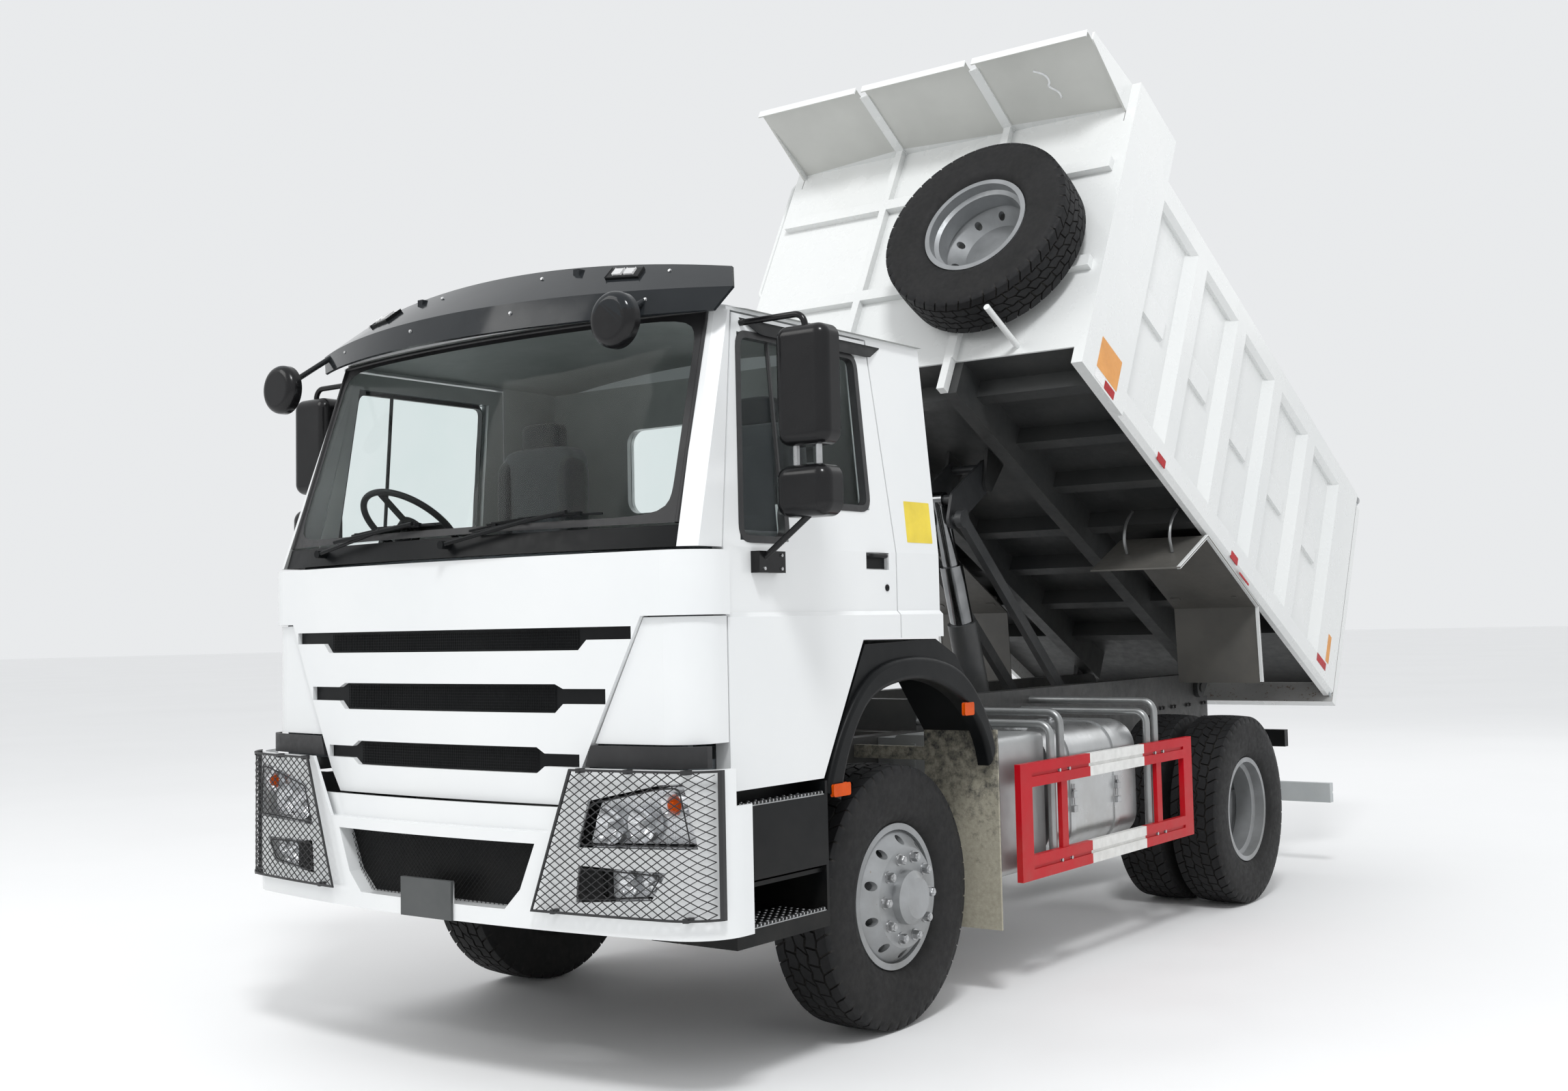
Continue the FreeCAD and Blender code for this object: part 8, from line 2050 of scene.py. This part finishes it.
# ---------------------------------------------------------------- load body
@dataclass
class BedMarks:
    """Reflectors and painted marks along the sides of the load body."""

    face_x: float = 1.150
    orange: Extent = (3.12, 3.37, 0.275, 0.460)
    front_white: Extent = (3.265, 3.375, 0.212, 0.262)
    reds: tuple[Extent, ...] = (
        (3.135, 3.255, 0.212, 0.262), (2.43, 2.54, 0.212, 0.262), (1.29, 1.40, 0.212, 0.262),
        (1.08, 1.24, 0.186, 0.200))
    rear_orange: Extent = (-0.40, -0.34, 0.36, 0.56)
    rear_red: Extent = (-0.36, -0.18, 0.290, 0.345)

    def tape(self, box: Extent, stand: float = 0.0012) -> Surface:
        """Thin plate with eased corners on the body's side, from its range of u and of v."""
        return on_bed(slab(rounded_box(box, 0.005, 3), self.face_x - 0.002, self.face_x + stand, 0))

    def build(self) -> None:
        """Makes the marks of both sides."""
        pieces = (
            ("orange_marks", [self.orange, self.rear_orange], Finishes.ORANGE_MARK),
            ("red_reflectors", [*self.reds, self.rear_red], Finishes.RED_LENS),
            ("white_reflectors", [self.front_white], Finishes.WHITE_LENS))
        for name, boxes, finish in pieces:
            add_piece(name, both_sides(joined([self.tape(box) for box in boxes])), finish, "bed")


@dataclass
class MudguardEdges:
    """White folded edges along the outer side of the rear mudguards, and two bent stays on each."""

    stays_x: tuple[float, ...] = (0.74, 1.02)
    stay_radius: float = 0.009
    stay: tuple[Pair, ...] = ((1.900, -0.015), (1.975, 0.045), (1.985, 0.150), (1.930, 0.250))
    outline: tuple[Pair, ...] = ((2.033, -0.187), (1.746, 0.171), (0.886, 0.153), (0.639, -0.247))
    face_x: float = 1.150
    width: float = 0.020
    inside: float = -0.0045
    outside: float = 0.0125

    def edge(self) -> Surface:
        """Strip along the outline at the outer side, one sheet thick and a few centimetres deep.

        Returns:
            The left strip.
        """
        t = np.linspace(0.0, 1.0, 8)[:, None]
        corner = np.array(self.outline)
        line = np.concatenate([a + t[:-1] * (b - a) for a, b in zip(corner[:-1], corner[1:])] + [corner[-1:]])
        along = np.gradient(line, axis=0)
        along /= np.linalg.norm(along, axis=1, keepdims=True)
        normal = np.stack([-along[:, 1], along[:, 0]], -1)
        section = (
            (self.inside, 0.0), (self.outside, 0.0), (self.outside, -self.width), (self.inside, -self.width))
        points = np.empty((len(line), 4, 3))
        for k, (out, back) in enumerate(section):
            points[:, k, 0] = self.face_x + back - 0.0002
            points[:, k, 1:] = line + normal * out
        return on_bed(capped(grid(points, False, True), len(line), 4))

    def build(self) -> None:
        """Makes the edges and the stays of both sides."""
        add_piece("mudguard_edges", both_sides(self.edge()), Finishes.BED_WHITE, "bed", 0.001)
        bent = np.array(self.stay)
        stays = [
            on_bed(
                tube(
                    eased_path(np.column_stack([np.full(4, x), bent]), 0.06), self.stay_radius, 8,
                    up=(1.0, 0.0, 0.0)))
            for x in self.stays_x]
        add_piece("mudguard_stays", both_sides(joined(stays)), Finishes.TUBE, "bed")


@dataclass
class GateFittings:
    """Pin heads, swing links and lower hooks at the tailgate's corners."""

    pivot: Pair = (-0.600, 1.750)
    x: float = 1.128
    more_pins: tuple[Pair, ...] = ((-0.500, 0.262), (-0.462, 1.690))
    link: tuple[Pair, ...] = (
        (-0.470, 1.655), (-0.420, 1.700), (-0.560, 1.790), (-0.622, 1.765), (-0.615, 1.715))
    hook: tuple[Pair, ...] = (
        (-0.480, 0.235), (-0.585, 0.180), (-0.640, 0.215), (-0.632, 0.300), (-0.602, 0.310), (-0.590, 0.262),
        (-0.500, 0.300))

    def build(self) -> None:
        """Makes the pin heads, links and hooks on the body's rear posts."""
        head = lathe([(0.0, 0.024), (0.010, 0.024), (0.014, 0.019), (0.014, 0.006)], 0, 24)
        pins = joined([head.moved((self.x + 0.006, *place)) for place in (self.pivot, *self.more_pins)])
        plates = joined([
            slab(rounded_outline(outline, 0.014, 4), self.x, self.x + 0.010, 0)
            for outline in (self.link, self.hook)])
        add_piece("gate_pin_heads", both_sides(on_bed(pins)), Finishes.BRIGHT, "bed")
        add_piece("gate_links", both_sides(on_bed(plates)), Finishes.PALE_GREY, "bed", 0.001)


@dataclass
class CanopySeams:
    """Cover strips under the joints of the canopy's three sheets, and a chalk scrawl beside them."""

    places: tuple[float, ...] = (-0.367, 0.367)
    half: float = 0.030
    root: Pair = (3.521, 1.902)
    tip: Pair = (4.006, 1.9465)
    chalk_radius: float = 0.006
    scrawl: tuple[Pair, ...] = (
        (0.690, 0.78), (0.745, 0.70), (0.750, 0.58), (0.722, 0.53), (0.770, 0.42), (0.765, 0.33))

    def under(self, share: np.ndarray, drop: float) -> np.ndarray:
        """Places (u, v) under the sheet, at a share of the way from its root to its tip."""
        root, tip = np.array(self.root), np.array(self.tip)
        return root + np.asarray(share)[..., None] * (tip - root) - np.array([0.0, drop])

    def build(self) -> None:
        """Makes the strips and the scrawl."""
        strips = []
        for x in self.places:
            rows = np.concatenate(
                [self.under(np.array([0.0, 1.0]), -0.001), self.under(np.array([1.0, 0.0]), 0.007)])
            points = np.stack([np.column_stack([np.full(4, x + dx), rows]) for dx in (-self.half, self.half)])
            strips.append(outward(capped(grid(points, False, True), 2, 4)))
        add_piece("canopy_strips", on_bed(joined(strips)), Finishes.BED_WHITE, "bed", 0.001)
        flat = np.array(self.scrawl)
        path = eased_path(np.column_stack([flat[:, 0], self.under(flat[:, 1], 0.0005)]), 0.03)
        add_piece(
            "chalk_scrawl", on_bed(tube(path, self.chalk_radius, 6, up=(0.0, 0.0, 1.0))), Finishes.CHALK,
            "bed")


# ---------------------------------------------------------------- fixed frame's own surfaces
class FrameDress:
    """Finishes of the nodes that the fixed frame brings, some with a second finish on part of their faces."""

    plain: dict[Finish, tuple[str, ...]] = {
        Finishes.FRAME: ("chassis_frame", "tipper_subframe"),
        Finishes.CASTING: ("front_axle", "rear_axle", "knuckle_left", "knuckle_right", "track_rod"),
        Finishes.ENGINE: ("engine_block",),
        Finishes.TANK: ("fuel_tank",),
        Finishes.BOX_GREY: ("battery_box", "air_tanks"),
        Finishes.RED: ("side_guards",),
        Finishes.TUBE: ("guard_brackets",),
        Finishes.PALE_GREY: ("underrun_bar",),
        Finishes.WHITE: (
            "front_bumper", "cab_sides", "cab_rear_wall", "cab_roof", "front_lid", "door_left", "door_right"),
        Finishes.LENS: ("lamps",),
        Finishes.GLAZING: ("lamp_guards",),
        Finishes.PLASTIC: ("step_boxes", "cowl", "steering_wheel", "front_mudguards", "grille"),
        Finishes.DASH: ("cab_floor", "dashboard"),
        Finishes.GLASS: ("cab_glass", "door_glass_left", "door_glass_right"),
        Finishes.SMOKED: ("sun_visor",),
        Finishes.CLOTH: ("seats",),
        Finishes.MIRROR_PLASTIC: ("mirror_left", "mirror_right"),
        Finishes.RIM: ("front_rim_left", "front_rim_right", "rear_rims_left", "rear_rims_right", "spare_rim"),
        Finishes.TYRE: (
            "front_tyre_left", "front_tyre_right", "rear_tyres_left", "rear_tyres_right", "spare_tyre"),
        Finishes.BED_UNDER: ("bed_floor",),
        Finishes.BED_WHITE: ("bed_sides", "bed_front_wall", "tailgate"),
        Finishes.GUARD_GREY: ("bed_mudguards",),
        Finishes.HOIST: ("hoist_cylinder", "lift_arm", "tie_rods"),
        Finishes.CHROME: ("hoist_stage", "hoist_rod"),
    }
    bed_low = 0.25
    bed_half = 1.09
    wall_top = 1.72
    wall_front = 3.60
    canopy_low = 1.88
    canopy_front = 3.55

    def faces(self, name: str) -> tuple[np.ndarray, np.ndarray]:
        """Middle and outward direction of each face of a node, with Y from the front axle.

        Args:
            name: The node's name.

        Returns:
            The middles and the directions, each faces by three.
        """
        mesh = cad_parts[name].data
        middle = np.empty(len(mesh.polygons) * 3, np.float32)
        outward_way = np.empty(len(mesh.polygons) * 3, np.float32)
        mesh.polygons.foreach_get("center", middle)
        mesh.polygons.foreach_get("normal", outward_way)
        return middle.reshape(-1, 3) - (0.0, FRONT_AXLE_Y, 0.0), outward_way.reshape(-1, 3)

    def second(self, name: str, finish: Finish, rule: Rule) -> None:
        """Gives some faces of a node a second finish.

        Args:
            name: The node's name.
            finish: What those faces are dressed with.
            rule: Says which faces they are, from their middles and outward directions.
        """
        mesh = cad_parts[name].data
        chosen = rule(*self.faces(name))
        mesh.materials.append(finish.material())
        place = np.empty(len(mesh.polygons), np.int32)
        mesh.polygons.foreach_get("material_index", place)
        place[chosen] = len(mesh.materials) - 1
        mesh.polygons.foreach_set("material_index", place)

    def build(self) -> None:
        """Dresses every node."""
        finishes = {name: finish for finish, names in self.plain.items() for name in names}
        for name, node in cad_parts.items():
            node.data.materials.clear()
            node.data.materials.append(finishes[name].material())
            node.data.polygons.foreach_set("material_index", np.zeros(len(node.data.polygons), np.int32))
        self.bed_faces()
        self.second("front_mudguards", Finishes.FLAP, lambda at, way: (at[:, 1] > 0.690) & (at[:, 2] < 1.19))
        self.second("front_bumper", Finishes.PLATE_GREY, self.plate_holder)
        # Painted shade: the back of the lower inlet is painted black to stand for the dark depth of the
        # opening.
        self.second("front_bumper", Finishes.PLASTIC, self.inlet_back_shade)
        for side in Side:
            word = side.name.lower()
            self.second(
                f"mirror_{word}", Finishes.BRIGHT, lambda at, way: (at[:, 2] > 2.2501) & (at[:, 2] < 2.3199))
            self.second(f"door_{word}", Finishes.CAB_LINING, self.turned_in)
        self.second("lamps", Finishes.PLASTIC, lambda at, way: at[:, 1] > 0.0)
        self.second("cab_roof", Finishes.CAB_LINING, lambda at, way: way[:, 2] < -0.2)
        self.second("cab_sides", Finishes.CAB_LINING, self.turned_in)
        self.second("cab_rear_wall", Finishes.CAB_LINING, lambda at, way: way[:, 1] < -0.9)
        self.second("sun_visor", Finishes.MIRROR_PLASTIC, lambda at, way: at[:, 2] < 2.819)
        self.second("hoist_rod", Finishes.HOIST, lambda at, way: np.abs(at[:, 0]) > 0.0495)

    @staticmethod
    def turned_in(at: np.ndarray, way: np.ndarray) -> np.ndarray:
        """Faces that look towards the truck's middle."""
        return way[:, 0] * np.sign(at[:, 0]) < -0.9

    @staticmethod
    def plate_holder(at: np.ndarray, _: np.ndarray) -> np.ndarray:
        """Faces of the blank plate holder on the bumper."""
        return (np.abs(at[:, 0]) < 0.1401) & (at[:, 2] < 0.746) & (at[:, 1] < -1.5585)

    @staticmethod
    def inlet_back_shade(at: np.ndarray, way: np.ndarray) -> np.ndarray:
        """Faces at the back of the bumper's lower opening, painted black as painted shade for the dark depth
        of the inlet.
        """
        level = (at[:, 2] > 0.655) & (at[:, 2] < 0.910)
        return (np.abs(at[:, 0]) < 0.56) & level & (way[:, 1] < -0.9) & (at[:, 1] > -1.53)

    def bed_faces(self) -> None:
        """Gives the load body's inside its worn finish and the canopy's underside a grey painted shade, and
        leaves the rest of its outside as it is.

        A face's place ahead of the hinge and above it are the products of its middle, measured from the
        hinge, with the raised body's own two directions, and so is its outward direction.
        """
        ahead = np.array([0.0, -math.cos(BED_ANGLE), math.sin(BED_ANGLE)])
        above = np.array([0.0, math.sin(BED_ANGLE), math.cos(BED_ANGLE)])
        hinge = np.array([0.0, *HINGE])

        def place(at: np.ndarray) -> tuple[np.ndarray, np.ndarray]:
            """How far the faces lie ahead of the hinge and above it."""
            return (at - hinge) @ ahead, (at - hinge) @ above

        def floor(at: np.ndarray, way: np.ndarray) -> np.ndarray:
            """Upper face of the floor, between the sides."""
            return (way @ above > 0.7) & (np.abs(at[:, 0]) < self.bed_half) & (place(at)[1] > self.bed_low)

        def sides(at: np.ndarray, way: np.ndarray) -> np.ndarray:
            """Inner faces of the sides, above the floor."""
            return self.turned_in(at, way) & (place(at)[1] > self.bed_low)

        def front_wall(at: np.ndarray, way: np.ndarray) -> np.ndarray:
            """Rear face of the front wall, below its top rail."""
            u, v = place(at)
            return (way @ ahead < -0.7) & (v > self.bed_low) & (v < self.wall_top) & (u < self.wall_front)

        def canopy(at: np.ndarray, way: np.ndarray) -> np.ndarray:
            """Underside of the sheets over the cab, which takes the grey painted shade."""
            u, v = place(at)
            return (way @ above < -0.9) & (v > self.canopy_low) & (u > self.canopy_front)

        self.second("bed_floor", Finishes.BED_INSIDE, floor)
        self.second("bed_sides", Finishes.BED_INSIDE, sides)
        self.second("bed_front_wall", Finishes.BED_INSIDE, front_wall)
        # Painted shade on the canopy's underside.
        self.second("bed_front_wall", Finishes.CANOPY_SHADE, canopy)
        self.second("tailgate", Finishes.BED_INSIDE, lambda at, way: way @ ahead > 0.7)


# ---------------------------------------------------------------- studio
@dataclass(frozen=True)
class SoftLight:
    """One soft area light that looks at a point."""

    name: str
    place: Point
    aim: Point
    size: float
    power: float
    colour: Colour

    def build(self) -> None:
        """Makes the light."""
        lamp = bpy.data.lights.new(self.name, "AREA")
        lamp.size, lamp.energy, lamp.color = self.size, self.power, self.colour
        holder = bpy.data.objects.new(self.name, lamp)
        holder.location = self.place
        holder.rotation_mode = "QUATERNION"
        holder.rotation_quaternion = (Vector(self.aim) - Vector(self.place)).to_track_quat("-Z", "Y")
        bpy.context.scene.collection.objects.link(holder)


@dataclass
class Studio:
    """Pale floor, soft lights and the camera."""

    eye: Point = (4.868, -8.1312, 1.674)
    yaw: float = math.radians(36.317)
    pitch: float = math.radians(3.492)
    roll: float = math.radians(-1.218)
    lens: float = 38.02
    shift: Pair = (-0.00274, -0.01411)
    sensor: float = 36.0
    sky_colour: Colour = (0.97, 0.985, 1.0)
    sky_strength: float = 0.84
    lights: tuple[SoftLight, ...] = (
        SoftLight("key", (-6.0, -11.0, 9.0), (0.0, -1.0, 1.2), 5.0, 260.0, (1.0, 0.99, 0.97)),
        SoftLight("side", (6.0, -9.0, 13.0), (0.5, 1.0, 1.8), 2.5, 1000.0, (0.98, 0.99, 1.0)),
        SoftLight("rear", (3.0, 13.0, 9.0), (0.0, 2.0, 2.0), 8.0, 150.0, (1.0, 1.0, 1.0)))

    def floor(self) -> None:
        """Makes the floor: a wide disc that lies level under the wheels."""
        turn = np.linspace(0.0, 2.0 * np.pi, 96, endpoint=False)
        rings = np.array([0.0001, 4.0, 12.0, 40.0, 160.0])[:, None]
        points = np.stack([rings * np.cos(turn), rings * np.sin(turn), np.full((5, 96), -0.0012)], -1)
        surface = grid(points[:, ::-1], False, True)
        mesh = bpy.data.meshes.new("floor")
        mesh.from_pydata(surface.points, [], surface.faces[0].tolist())
        pale = Finish("floor", (0.93, 0.93, 0.93), (0.91, 0.91, 0.91), 0.3, (0.55, 0.7))
        mesh.materials.append(pale.material())
        floor = bpy.data.objects.new("floor", mesh)
        bpy.context.scene.collection.objects.link(floor)

    def sky(self) -> None:
        """Makes the even pale surroundings."""
        world = bpy.data.worlds.new("surroundings")
        world.use_nodes = True
        back = world.node_tree.nodes["Background"]
        back.inputs["Color"].default_value = (*self.sky_colour, 1.0)
        back.inputs["Strength"].default_value = self.sky_strength
        bpy.context.scene.world = world

    def camera(self) -> None:
        """Makes the camera: it looks along a direction given by yaw and pitch, rolled a little."""
        ahead = Vector((
            -math.sin(self.yaw) * math.cos(self.pitch), math.cos(self.yaw) * math.cos(self.pitch),
            math.sin(self.pitch)))
        right = Vector((math.cos(self.yaw), math.sin(self.yaw), 0.0))
        above = right.cross(ahead)
        beside = right * math.cos(self.roll) + above * math.sin(self.roll)
        upper = above * math.cos(self.roll) - right * math.sin(self.roll)
        data = bpy.data.cameras.new("camera")
        data.lens, data.sensor_width = self.lens, self.sensor
        data.shift_x, data.shift_y = self.shift
        data.clip_end = 400.0
        camera = bpy.data.objects.new("camera", data)
        camera.matrix_world = Matrix((beside, upper, -ahead)).transposed().to_4x4()
        camera.location = self.eye
        bpy.context.scene.collection.objects.link(camera)
        bpy.context.scene.camera = camera

    def build(self) -> None:
        """Makes everything that isn't part of the truck."""
        self.floor()
        self.sky()
        for light in self.lights:
            light.build()
        self.camera()
        bpy.context.scene.view_settings.view_transform = "Standard"


def main() -> None:
    """Builds the truck's looks, one sub-assembly after the other."""
    logging.basicConfig(level=logging.INFO, format="%(name)s: %(message)s")
    plan = BumperPlan()
    FrameDress().build()
    Wheels().build()
    Headlamps(plan).build()
    add_piece("lamp_guard_net", both_sides(LampGuardNet(plan).surface()), Finishes.GLAZING, "chassis")
    FrontPanel(plan).build()
    screen = Windscreen()
    add_piece("screen_border", screen.border(), Finishes.GLAZING, "chassis")
    add_piece("screen_seal", screen.seal(), Finishes.GLAZING, "chassis")
    add_piece("wiper_blades", screen.blades(), Finishes.PLASTIC, "chassis")
    DoorFittings(CabWall()).build()
    for part in (
            Mirrors, VisorFittings, SeatPads, DashFittings, StepTreads, FrameBolts, SpringClamps,
            TankFittings, ArchFittings, TailLamps, BedMarks, MudguardEdges, GateFittings, CanopySeams,
            Studio):
        part().build()


if __name__ == "__main__":
    main()
